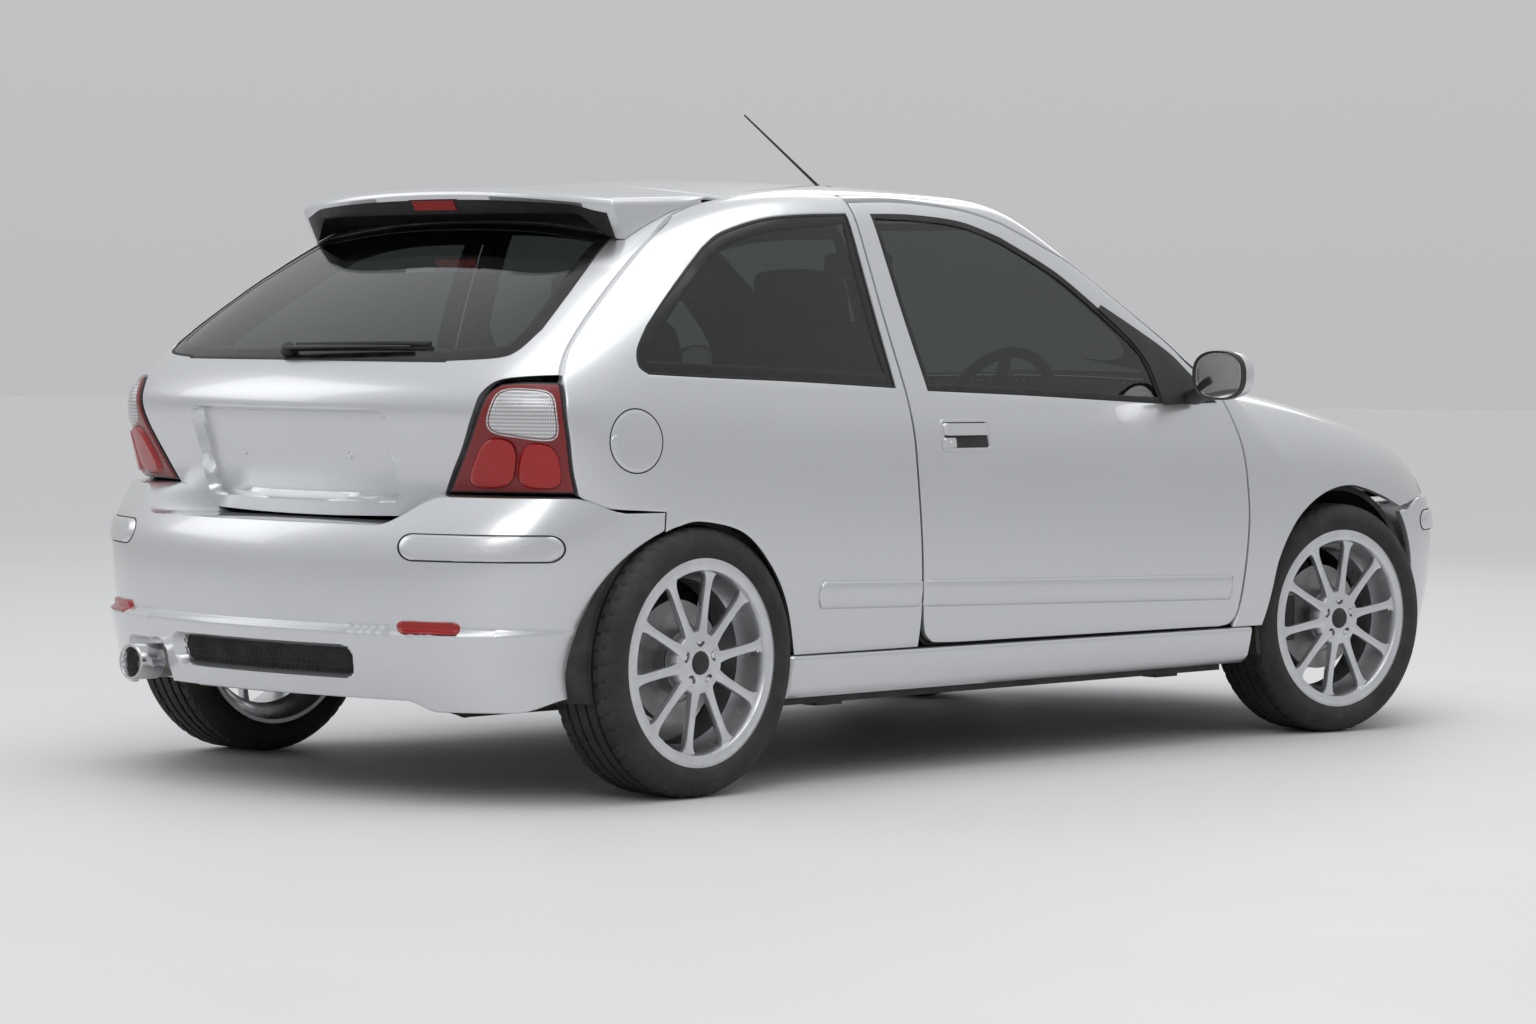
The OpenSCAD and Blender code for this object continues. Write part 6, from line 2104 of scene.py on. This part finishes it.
    def spoke_ring(self) -> Thing:
        """Ten slim spokes that widen where they meet the rim and the hub.

        Returns:
            The new object.
        """
        radii = np.concatenate([np.linspace(50, 80, 6), np.linspace(90, 185, 9), np.linspace(190, 212, 7)])
        width = 10.5 + 15 * np.exp(-(radii - 50) / 16) + 22 * np.exp(-(212 - radii) / 9.5)
        share = np.clip((radii - 60) / 150, 0, 1)
        crown = 85 - 11.2 * share * (1 - share)
        face = ((-1.0, -13.0), (-1.0, -5.0), (-0.9, -1.6), (-0.62, -0.3), (0.0, 0.0), (0.62, -0.3), (0.9, -1.6),
                (1.0, -5.0), (1.0, -13.0), (0.6, -22.0), (-0.6, -22.0))
        parts = []
        for k in range(self.spokes):
            turn = 2 * math.pi * k / self.spokes + 0.157
            net = []
            for r, half, z in zip(radii, width, crown):
                x = np.array([r] * len(face))
                y = np.array([half * f[0] for f in face])
                h = np.array([z + f[1] for f in face])
                x = np.sqrt(np.maximum(x * x - y * y * 0.5, 1))
                net.append(np.stack([x * math.cos(turn) - y * math.sin(turn),
                                     x * math.sin(turn) + y * math.cos(turn), h], 1))
            spoke = Mesher.net(f"spoke_{k}", np.array(net), True, None, 50.0)
            Mesher.close(spoke)
            parts.append(spoke)
        return Mesher.merge(self.named("spokes"), parts)

    def hub(self) -> Thing:
        """Hub with a sunk hole for each bolt.

        Returns:
            The new object.
        """
        rings = [(26, 78), (27, 86), (30, 87), (40, 86.6), (58, 85), (70, 82), (74, 76), (74, 45)]
        count = 120
        a = np.linspace(0, 2 * math.pi, count, endpoint=False)
        radii = np.concatenate([[26, 27, 30], np.linspace(33, 68, 22), [70, 74, 74]])
        height = np.interp(radii, [r for r, _ in rings[:-1]], [z for _, z in rings[:-1]])
        height[-1] = 45
        net = np.stack([radii[:, None] * np.cos(a), radii[:, None] * np.sin(a),
                        np.repeat(height[:, None], count, 1)], -1)
        for k in range(5):
            c = math.radians(72 * k + 18)
            away = np.hypot(net[..., 0] - 50 * math.cos(c), net[..., 1] - 50 * math.sin(c))
            net[..., 2] = np.where(away < 12.5, np.minimum(net[..., 2], 66 + 18 * ease(10.5, 12.5, away)),
                                   net[..., 2])
        return Mesher.net(self.named("hub"), net, True, UP, 40.0)

    def bolts(self) -> Thing:
        """Five hexagonal wheel bolts and the valve.

        Returns:
            The new object.
        """
        parts = []
        for k in range(5):
            c = math.radians(72 * k + 18)
            bolt = Mesher.lathe(f"bolt_{k}", ((0.2, 84), (6, 84), (8.6, 82), (8.6, 64)), 6, 20.0, False)
            bolt.data.transform(Matrix.Translation(Vector((50 * math.cos(c), 50 * math.sin(c), 0)) * MM))
            parts.append(bolt)
        valve = Mesher.tube("valve", straight((196, 18, 60), (186, 18, 88), 6), (4.5, 4.5, 4.2, 4.2, 4, 4, 3),
                            10)
        parts.append(valve)
        return Mesher.merge(self.named("bolts"), parts)


@dataclass
class RearLamp:
    """Rear lamp: black rim, red lens, ribbed clear window and two round bowls."""

    side: Side
    n: int = 40
    BOTTOM = ((-1764, -473, 692), (-1720, -640, 694), (-1640, -752, 695))
    TOP = ((-1748, -626, 936), (-1716, -668, 941), (-1664, -716, 941))
    INNER = ((-1764, -473, 692), (-1774, -512, 739), (-1784, -557, 804), (-1787, -592, 872), (-1772, -606, 913),
             (-1748, -626, 936))
    OUTER = ((-1640, -752, 695), (-1655, -752, 744), (-1666, -752, 807), (-1675, -743, 880), (-1664, -716, 941))

    def net(self, grow: float = 0.0) -> Points:
        """Net of the lamp's face, drawn in from its outline.

        Args:
            grow: share of the face that is left out round the edge.

        Returns:
            Rows of points near the skin.
        """
        net = coons(curve(self.BOTTOM, self.n), curve(self.TOP, self.n), curve(self.INNER, self.n),
                    curve(self.OUTER, self.n))
        if grow:
            cut = np.linspace(grow, 1 - grow, self.n + 1) * self.n
            rows = along(net.reshape(self.n + 1, -1), cut).reshape(self.n + 1, self.n + 1, 3)
            net = along(rows.transpose(1, 0, 2).reshape(self.n + 1, -1), cut).reshape(self.n + 1, self.n + 1, 3)
            net = net.transpose(1, 0, 2)
        return net

    def spots(self, shares: Points) -> Points:
        """Points on the lamp's face from their shares across and up.

        Args:
            shares: pairs of shares.

        Returns:
            Points near the skin.
        """
        net = self.net()
        rows = along(net.reshape(self.n + 1, -1), shares[:, 1] * self.n).reshape(-1, self.n + 1, 3)
        return np.array([along(row, np.array([u * self.n]))[0] for row, u in zip(rows, shares[:, 0])])

    def build(self) -> None:
        """Builds and dresses the lamp."""
        word = self.side.word
        rim = Press.panel(f"rear_lamp_rim_{word}", self.net(), Way.REAR_CORNER, self.side, lift=-0.5)
        dress(rim, FRIT, "body", "rear_lamps")
        lens = Press.panel(f"rear_lamp_lens_{word}", self.net(0.03), Way.REAR_CORNER, self.side,
                           hem=Press.SHALLOW, lift=2.5)
        dress(lens, DEEP_RED, "body")
        a = np.linspace(0, 2 * math.pi, 96, endpoint=False)
        circle = np.stack([np.cos(a), np.sin(a)], 1)
        self.patch("window", (0.5, 0.69), (0.36, 0.205), lobe(circle, 0.45), RIBBED, 6.0)
        for k, u in enumerate((0.31, 0.68)):
            self.patch(f"bowl_{k}", (u, 0.262), (0.175, 0.2), lobe(circle, 0.75), RED, 9.0)

    def patch(self, piece: str, middle: Sequence[float], half: Sequence[float], outline: Points, finish: Finish,
              proud: float) -> None:
        """Raised patch of the lens with a thin ring round it.

        Args:
            piece: what the patch is.
            middle: its middle, as shares across and up.
            half: half of its size, as shares.
            outline: its outline, from -1 to 1.
            finish: its finish.
            proud: its height above the skin.
        """
        loop = Skin.carry(self.spots(np.array(middle) + outline * np.array(half)), Way.REAR_CORNER)
        name = f"rear_lamp_{piece}_{self.side.word}"
        dress(Press.pad(name, loop, Way.REAR_CORNER, proud, self.side, round_over=7.0), finish, "body")
        edge = RIBBED if finish is RIBBED else DEEP_RED
        dress(Press.band(f"{name}_ring", Press.shrink(loop, -3.0), 4.0, Way.REAR_CORNER, self.side, 3.6), edge,
              "body")


@dataclass
class Headlamp:
    """Headlamp: clear cover over a dark housing with two bowls."""

    side: Side
    n: int = 48

    def net(self) -> Points:
        """Net of the lamp's face.

        Returns:
            Rows of points near the skin.
        """
        top = Lines.beside_bonnet(np.linspace(2.66, 4.0, self.n + 1), 9.0)
        inner = curve(((1890, -450, 606), (1840, -470, 700), top[-1]), self.n)
        outer = curve(((1652, -752, 640), (1612, -716, 740), top[0]), self.n)
        low = curve(((1652, -752, 640), (1800, -640, 618), (1890, -450, 606)), self.n)
        return coons(low, top, outer, inner)

    def build(self) -> None:
        """Builds and dresses the lamp."""
        word, net = self.side.word, self.net()
        cover = Press.pane(f"headlamp_cover_{word}", net, Way.FRONT_CORNER, self.side, inset=0.5, thick=2.5)
        dress(cover, CLEAR, "body", "headlamps")
        back = Press.panel(f"headlamp_back_{word}", net[::2, ::2], Way.FRONT_CORNER, self.side, lift=-34.0)
        dress(back, REFLECTOR, "body")
        middle = along(net[19], np.array([18.0, 33.0]))
        for k, (spot, size) in enumerate(zip(middle, (38.0, 42.0))):
            spot = self.side.of(Skin.carry(spot, Way.FRONT_CORNER, 32.0))
            out = (1.0, 0.22 * self.side.value, 0.0)
            section = ((0.2, -24), (size * 0.35, -20), (size * 0.7, -6), (size * 0.92, 6), (size, 8), (size, 0),
                       (size * 0.8, -12), (0.2, -30))
            bowl = Mesher.lathe(f"headlamp_bowl_{k}_{word}", section, 64, closed=False)
            bulb = Mesher.lathe(f"headlamp_bulb_{k}_{word}", ((0.2, 8), (10, 6), (16, 0), (16, -16)), 32,
                                closed=False)
            edge = ((size - 1, 9), (size + 2, 11), (size + 5, 9), (size + 5, -14))
            bezel = Mesher.lathe(f"headlamp_bezel_{k}_{word}", edge, 64, closed=False)
            for made, finish in ((bowl, CHROME), (bulb, CLEAR), (bezel, TRIM)):
                dress(Mesher.stand(made, spot, out), finish, "body")


@dataclass
class Grille:
    """Radiator grille of bars between the headlamps."""

    def build(self) -> None:
        """Builds and dresses the grille."""
        y = np.linspace(-438, 438, 81)
        low = curve(((1890, -438, 600), (1930, 0, 600), (1890, 438, 600)), 80)
        front = curve(((1730, -520, 780), (1800, -280, 790), (1818, 0, 790), (1800, 280, 790),
                       (1730, 520, 780)), 80)
        high = Skin.carry(front + [9, 0, 0], Way.TOP)
        high[:, 1] = y
        net = coons(low, high, straight(low[0], high[0], 20), straight(low[-1], high[-1], 20))
        dress(Press.panel("grille_back", net, Way.FRONT_CORNER, lift=-26.0), LINER, "body", "grille")
        bars = []
        for k in range(6):
            row = along(net.reshape(21, -1), np.array([2.0 + 3.1 * k])).reshape(81, 3)
            placed = Skin.carry(row, Way.FRONT_CORNER, 8.0)
            bars.append(Mesher.tube(f"grille_bar_{k}", placed, 7.0, 10, flat=1.4))
        dress(Mesher.merge("grille_bars", bars), TRIM, "body")
        edge = np.concatenate([net[0, :-1], net[:-1, -1], net[-1, :0:-1], net[:0:-1, 0]])
        loop = Skin.carry(edge, Way.FRONT_CORNER)
        dress(Press.band("grille_surround", loop, 10.0, Way.FRONT_CORNER, lift=1.5, even=4), CHROME, "body")


@dataclass
class BumperFittings:
    """Mesh, reflectors and fog lamps of the bumpers."""

    def build(self, rear: Bumper, front: Bumper) -> None:
        """Builds and dresses the fittings.

        Args:
            rear: rear bumper.
            front: front bumper.
        """
        for bumper in (rear, front):
            bumper.pads()
        self.mesh("rear_mesh", rear, (-352, 234), (285, 343), 24.0)
        self.mesh("front_mesh", front, (-426, 426), (240, 368), 48.0)
        for side in Side:
            loop = rear.pill(0.835, 0.1, 397.0, 27.0)
            pad = Press.pad(f"reflector_{side.word}", loop, rear.way, 7.0, side, rear.form, 9.0, 9)
            dress(pad, RED, "body")
            fog = front.at(np.array([-0.8]), np.array([320.0]))
            spot = side.of(Skin.carry(fog, front.way, 26.0, front.form)[0])
            dome = ((0.2, 14), (20, 11), (34, 6), (42, 2), (46, 0), (46, -14))
            lens = Mesher.lathe(f"fog_lamp_{side.word}", dome, 48, closed=False)
            ahead = Matrix.Rotation(math.radians(90), 4, "Y")
            lens.data.transform(Matrix.Translation(Vector(spot) * MM) @ ahead)
            dress(lens, RIBBED, "body")

    @staticmethod
    def mesh(name: str, bumper: Bumper, y: Sequence[float], z: Sequence[float], deep: float) -> None:
        """Honeycomb mesh set back in an opening, with a dark sheet behind it as painted shade.

        Args:
            name: name of the piece.
            bumper: bumper with the opening.
            y: left and right edge.
            z: lower and upper edge.
            deep: depth below the bumper's skin.
        """
        cell = 9.0
        parts = []
        for row in range(int((z[1] - z[0]) / (cell * 1.5)) + 1):
            for col in range(int((y[1] - y[0]) / (cell * 1.732)) + 1):
                cy = y[0] + (col + 0.5 * (row % 2)) * cell * 1.732 + 10
                cz = z[0] + row * cell * 1.5 + 8
                if cy > y[1] - 8 or cz > z[1] - 8:
                    continue
                a = np.linspace(0, 2 * math.pi, 7)[:-1] + math.pi / 6
                ring_y = cy + cell * np.cos(a)
                ring_z = cz + cell * np.sin(a)
                foot = np.stack([np.full(6, bumper.corner_x + bumper.facing * 540.0), ring_y, ring_z], 1)
                path = Skin.carry(foot, bumper.way, deep, bumper.form)
                parts.append(Mesher.tube(f"{name}_{row}_{col}", path, 1.1, 4, True))
        dress(Mesher.merge(name, parts), TRIM, "body")
        # Painted shade: a dark sheet behind the mesh, over the silver floor of the dent, stands for the shadow
        # in the opening.
        gy, gz = np.meshgrid(np.linspace(y[0] - 2, y[1] + 2, 60), np.linspace(z[0] - 1, z[1] + 1, 10))
        back = np.stack([np.full(gy.shape, bumper.corner_x + bumper.facing * 540.0), gy, gz], -1)
        placed = Skin.carry(back, bumper.way, deep + 6.0, bumper.form)
        dress(Mesher.net(f"{name}_back", placed, False, np.array([float(bumper.facing), 0, 0])), LINER, "body")


@dataclass
class Underside:
    """Floor, axles, engine, exhaust, brake parts and aerial."""

    def build(self) -> None:
        """Dresses the carried-over pieces and adds the tailpipe and the aerial."""
        for name, finish in (("floor_pan", UNDER), ("engine_block", ENGINE), ("front_subframe", UNDER),
                             ("rear_axle", UNDER), ("exhaust", PIPE), ("knuckle_left", CAST),
                             ("knuckle_right", CAST)):
            made = bpy.data.objects[name]
            made.data.materials.clear()
            made.data.materials.append(finish.material())
            made.data.shade_smooth()
            made.data.set_sharp_from_angle(angle=math.radians(30))
            LOG.info("%s in %s", name, finish.name)
        lip = Mesher.lathe("tailpipe_lip", ((34, -60), (34, -4), (36, 0), (40, 0), (42, -4), (42, -70)), 64)
        turn = Matrix.Rotation(math.radians(-90), 4, "Y")
        lip.data.transform(Matrix.Translation(Vector((-1999.5, 362.0, 274.0)) * MM) @ turn)
        dress(lip, CHROME, "body")
        base = Skin.carry(np.array([8.0, 0.0, 1400.0]), Way.TOP)
        foot = Mesher.lathe("aerial_foot", ((0.2, 26), (9, 24), (14, 12), (19, 0), (21, -4)), 32, closed=False)
        foot.data.transform(Matrix.Translation(Vector(base) * MM))
        dress(foot, TRIM, "body")
        path = np.array([base + np.array([-322, 0, 196]) * t * 0.995 for t in np.linspace(0.0, 1.0, 21)])
        rod = Mesher.tube("aerial_rod", path, np.linspace(4.2, 2.2, 21), 12)
        dress(rod, TRIM, "body", "aerial")


@dataclass
class Cushion:
    """Padded block from a side outline: crowned across, with rounded edges and sunk seams."""

    name: str
    outline: Sequence
    width: float
    place: tuple[float, float, float]
    crown: float = 14.0
    bulge: float = 10.0
    seams: tuple[float, ...] = ()

    def build(self, finish: Finish, body: str, *stands_for: str) -> None:
        """Builds and dresses the cushion.

        Args:
            finish: its finish.
            body: body that carries it.
            stands_for: CAD nodes that it replaces.
        """
        side = round_loop(self.outline, 10)
        around = len(side)
        middle = side.mean(0)
        across = np.concatenate([np.linspace(-1, -0.86, 7), np.linspace(-0.84, 0.84, 41),
                                 np.linspace(0.86, 1, 7)])
        rows = []
        for u in across:
            edge = max(0.0, (abs(u) - 0.84) / 0.16)
            pull = 34.0 * (1 - math.sqrt(max(0.0, 1 - edge * edge)))
            swell = self.crown * (1 - u * u) + self.bulge * math.cos(u * math.pi / 2) ** 0.5
            for s in self.seams:
                swell -= 7.0 * math.exp(-((u - s) / 0.025) ** 2)
            away = side - middle
            length = np.linalg.norm(away, axis=1, keepdims=True)
            flat = side + away / np.maximum(length, 1) * (swell - pull)
            y = u * (self.width / 2 - 3.2 * edge)
            rows.append(np.stack([flat[:, 0], np.full(around, y), flat[:, 1]], 1))
        net = np.array(rows) + np.array(self.place)
        made = Mesher.net(self.name, net, True, None, 60.0)
        Mesher.close(made)
        dress(made, finish, body, *stands_for)


@dataclass
class Cabin:
    """Seats, bench, dashboard, steering wheel and lining."""

    floor: float = 212.3
    seat: tuple[float, float] = (-100.0, 360.0)
    CUSHION = ((-180, 30), (200, 20), (232, 130), (300, 205), (286, 292), (200, 312), (-150, 256), (-236, 236),
               (-252, 140))
    BACK = ((-252, 190), (-150, 244), (-172, 330), (-300, 812), (-340, 850), (-398, 842), (-386, 780))
    REST = ((-334, 852), (-352, 956), (-380, 984), (-426, 980), (-426, 902), (-392, 852))
    BENCH = ((-560, 260), (-545, 420), (-560, 486), (-900, 430), (-1010, 440), (-1010, 300))
    BENCH_BACK = ((-960, 430), (-985, 500), (-1060, 930), (-1120, 948), (-1150, 930), (-1075, 430))

    def build(self) -> None:
        """Builds and dresses the cabin."""
        for side in Side:
            y = self.seat[1] * side.value
            spot = (self.seat[0], y, self.floor)
            word = side.word
            Cushion(f"seat_cushion_{word}", self.CUSHION, 480.0, spot, seams=(-0.55, 0.55)).build(
                LEATHER, "body", "front_seats")
            Cushion(f"seat_back_{word}", self.BACK, 464.0, spot, seams=(-0.5, 0.5)).build(LEATHER, "body")
            Cushion(f"head_rest_{word}", self.REST, 262.0, spot, crown=6.0).build(LEATHER, "body")
            for p in (-45.0, 45.0):
                post = straight((self.seat[0] - 330, y + p, self.floor + 800),
                                (self.seat[0] - 372, y + p, self.floor + 900), 4)
                dress(Mesher.tube(f"rest_post_{word}_{p}", post, 6.0, 10), CHROME, "body")
            self.belt(side)
        Cushion("bench_cushion", self.BENCH, 1110.0, (0, 0, 0), seams=(-0.34, 0.34)).build(
            LEATHER, "body", "rear_bench")
        Cushion("bench_back", self.BENCH_BACK, 1110.0, (0, 0, 0), seams=(-0.34, 0.34)).build(LEATHER, "body")
        self.dashboard()
        self.wheel()
        self.lining()

    def belt(self, side: Side) -> None:
        """Seat belt from the door pillar to the seat.

        Args:
            side: side of the car.
        """
        s = side.value
        path = np.array([(-585.0, 690 * s, 1120), (-560, 672 * s, 1000), (-470, 600 * s, 780),
                         (-350, 520 * s, 560)])
        run = along(path, np.linspace(0, 3, 25))
        dress(Mesher.tube(f"seat_belt_{side.word}", run, 23.0, 8, flat=0.09), CLOTH, "body")

    def dashboard(self) -> None:
        """Dashboard with a binnacle, vents and a centre panel."""
        outline = ((699, 570), (699, 892), (655, 916), (560, 926), (450, 890), (408, 836), (432, 700),
                   (495, 574))
        side = round_loop(outline, 12)
        around = len(side)
        rows = []
        for u in np.linspace(-1, 1, 61):
            lift = 18 * math.exp(-((u + 0.53) / 0.16) ** 2)
            rows.append(np.stack([side[:, 0], np.full(around, u * 682.0), side[:, 1] + lift], 1))
        made = Mesher.net("dash_shell", np.array(rows), True, None, 50.0)
        Mesher.close(made)
        dress(made, CABIN, "body", "dashboard")
        for y in (-612.0, -150.0, 150.0, 612.0):
            vent = Mesher.rounded_box(f"dash_vent_{y}", (16, 78, 44), 6.0,
                                      Matrix.Translation(Vector((442, y, 800))))
            dress(vent, TRIM, "body")
        tilt = Matrix.Translation(Vector((430, 0, 800))) @ Matrix.Rotation(math.radians(-14), 4, "Y")
        panel = Mesher.rounded_box("dash_panel", (12, 190, 120), 8.0, tilt)
        dress(panel, FRIT, "body")
        binnacle = Mesher.rounded_box("dash_binnacle", (150, 320, 60), 24.0,
                                      Matrix.Translation(Vector((452, -365, 908))))
        dress(binnacle, CABIN, "body")

    def wheel(self) -> None:
        """Steering wheel, turned as in the photo, with its column."""
        axis = Vector((0.906, 0.0, -0.423))
        turn = Matrix.Rotation(math.radians(-126), 4, "Z")
        aim = axis.to_track_quat("Z", "Y").to_matrix().to_4x4()
        place = Matrix.Translation(Vector((265, -365, 860)) * MM) @ aim @ turn
        a = np.linspace(0, 2 * math.pi, 97)[:-1]
        path = np.stack([170 * np.cos(a), 170 * np.sin(a), np.zeros(96)], 1)
        rim = Mesher.tube("wheel_rim_grip", path, 15.0, 16, True)
        rim.data.transform(place)
        dress(rim, LEATHER, "steering_wheel", "steering_wheel")
        hub = Mesher.lathe("wheel_boss", ((0.2, -34), (50, -28), (68, -14), (74, 6), (60, 26), (30, 40),
                                          (0.2, 60)), 48)
        spokes = []
        for k in range(3):
            t = math.radians(90 + 120 * k)
            path = np.array([(60 * math.cos(t), 60 * math.sin(t), -4.0),
                             (110 * math.cos(t), 110 * math.sin(t), -10.0),
                             (165 * math.cos(t), 165 * math.sin(t), -6.0)])
            spokes.append(Mesher.tube(f"wheel_spoke_{k}", along(path, np.linspace(0, 2, 13)), 19.0, 14,
                                      flat=0.55))
        made = Mesher.merge("wheel_hub", [hub] + spokes)
        made.data.transform(place)
        dress(made, CABIN, "steering_wheel")
        column = Mesher.tube("steering_column", straight((310, -365, 842), (560, -365, 720), 6), 30.0, 16)
        dress(column, CABIN, "body")

    def lining(self) -> None:
        """Mirror inside, parcel shelf and sun visors."""
        mirror = Mesher.rounded_box("rear_view_mirror", (46, 220, 66), 16.0,
                                    Matrix.Translation(Vector((128, 0, 1238))))
        dress(mirror, TRIM, "body")
        stem = Mesher.tube("mirror_stem", straight((128, 0, 1268), (140, 0, 1352), 6), 8.0, 10)
        dress(stem, TRIM, "body")
        shelf = Mesher.rounded_box("parcel_shelf", (430, 1080, 30), 12.0,
                                   Matrix.Translation(Vector((-1300, 0, 940))))
        dress(shelf, CABIN, "body")
        for side in Side:
            visor = Mesher.rounded_box(f"sun_visor_{side.word}", (120, 330, 18), 8.0,
                                       Matrix.Translation(Vector((70, 320 * side.value, 1338))))
            dress(visor, LINING, "body")


@dataclass
class Studio:
    """Pale floor, soft lights and the photo's camera."""

    eye: tuple[float, float, float] = (-8.2064, -7.4607, 1.0399)
    yaw: float = 43.012
    pitch: float = -2.323
    roll: float = 0.578
    lens: float = 99.29
    backdrop: Colour = (0.97, 0.985, 1.0)
    horizon: float = 0.52
    zenith: float = 0.85
    LAMPS = (("key", (-6.5, -5.0, 5.5), (4.0, 4.0), 118.0), ("top", (0.0, -1.0, 6.0), (7.0, 4.0), 105.0),
             ("fill", (-5.0, 6.0, 4.5), (4.0, 4.0), 55.0), ("front", (7.0, 4.0, 5.0), (4.0, 4.0), 60.0))

    def build(self) -> None:
        """Builds the stage, the lights and the camera."""
        self.floor()
        self.lights()
        self.camera()
        bpy.context.scene.view_settings.view_transform = "Standard"

    def floor(self) -> None:
        """Wide round floor."""
        made = Mesher.lathe("studio_floor", ((0.2, 0.0), (6000.0, 0.0), (20000.0, 0.0), (60000.0, 0.0)), 96,
                            closed=False)
        made.data.materials.append(FLOOR.material())

    def lights(self) -> None:
        """Soft area lights and a pale world."""
        world = bpy.data.worlds.new("studio")
        bpy.context.scene.world = world
        world.use_nodes = True
        world.node_tree.nodes.clear()
        g = Graph(world.node_tree)
        height = g.add("SeparateXYZ", {0: g.add("TexCoord", {}).outputs["Generated"]}).outputs["Z"]
        rise = g.span(height, self.horizon, self.zenith, 0.0, 0.9)
        sky = g.add("Background", {"Color": (*self.backdrop, 1.0), "Strength": rise})
        g.add("OutputWorld", {"Surface": sky.outputs[0]})
        for name, spot, size, power in self.LAMPS:
            data = bpy.data.lights.new(name, "AREA")
            data.shape = "RECTANGLE"
            data.size, data.size_y = size
            data.energy = power
            made = bpy.data.objects.new(name, data)
            made.location = spot
            made.rotation_euler = (Vector((0.0, 0.0, 0.7)) - Vector(spot)).to_track_quat("-Z", "Y").to_euler()
            bpy.context.scene.collection.objects.link(made)

    def camera(self) -> None:
        """Camera where the photo was taken from."""
        p, y, r = (math.radians(v) for v in (self.pitch, self.yaw, self.roll))
        look = Vector((math.cos(p) * math.cos(y), math.cos(p) * math.sin(y), math.sin(p)))
        right = look.cross(Vector((0, 0, 1))).normalized()
        up = right.cross(look)
        right, up = right * math.cos(r) + up * math.sin(r), up * math.cos(r) - right * math.sin(r)
        data = bpy.data.cameras.new("photo_camera")
        data.lens, data.sensor_width, data.sensor_fit = self.lens, 36.0, "HORIZONTAL"
        data.clip_end = 100.0
        made = bpy.data.objects.new("photo_camera", data)
        turn = Matrix((right, up, -look)).transposed().to_4x4()
        made.matrix_world = Matrix.Translation(Vector(self.eye)) @ turn
        bpy.context.scene.collection.objects.link(made)
        bpy.context.scene.camera = made


def main() -> None:
    """Builds every sub-assembly in order and reports each piece."""
    logging.basicConfig(level=logging.INFO, format="%(message)s")
    rear = Bumper("rear_bumper", Form.REAR_BUMPER, Way.REAR_CORNER, -1400.0, -1)
    front = Bumper("front_bumper", Form.FRONT_BUMPER, Way.FRONT_CORNER, 1300.0, 1, low=(195.0, 40.0), arch=0.0)
    steps = [BodyShell(), Glazing(), Bonnet(), Tailgate(), rear, front, Grille(), Underside(),
             Cabin(), Studio()]
    steps += [kind(side) for kind in (Door, RearLamp, Headlamp) for side in Side]
    for side in Side:
        steps.append(Wheel(f"wheel_front_{side.word}", True, side))
        steps.append(Wheel(f"wheel_rear_{side.word}", False, side))
    for step in steps:
        step.build()
        LOG.info("built %s", type(step).__name__)
    BumperFittings().build(rear, front)


if __name__ == "__main__":
    main()
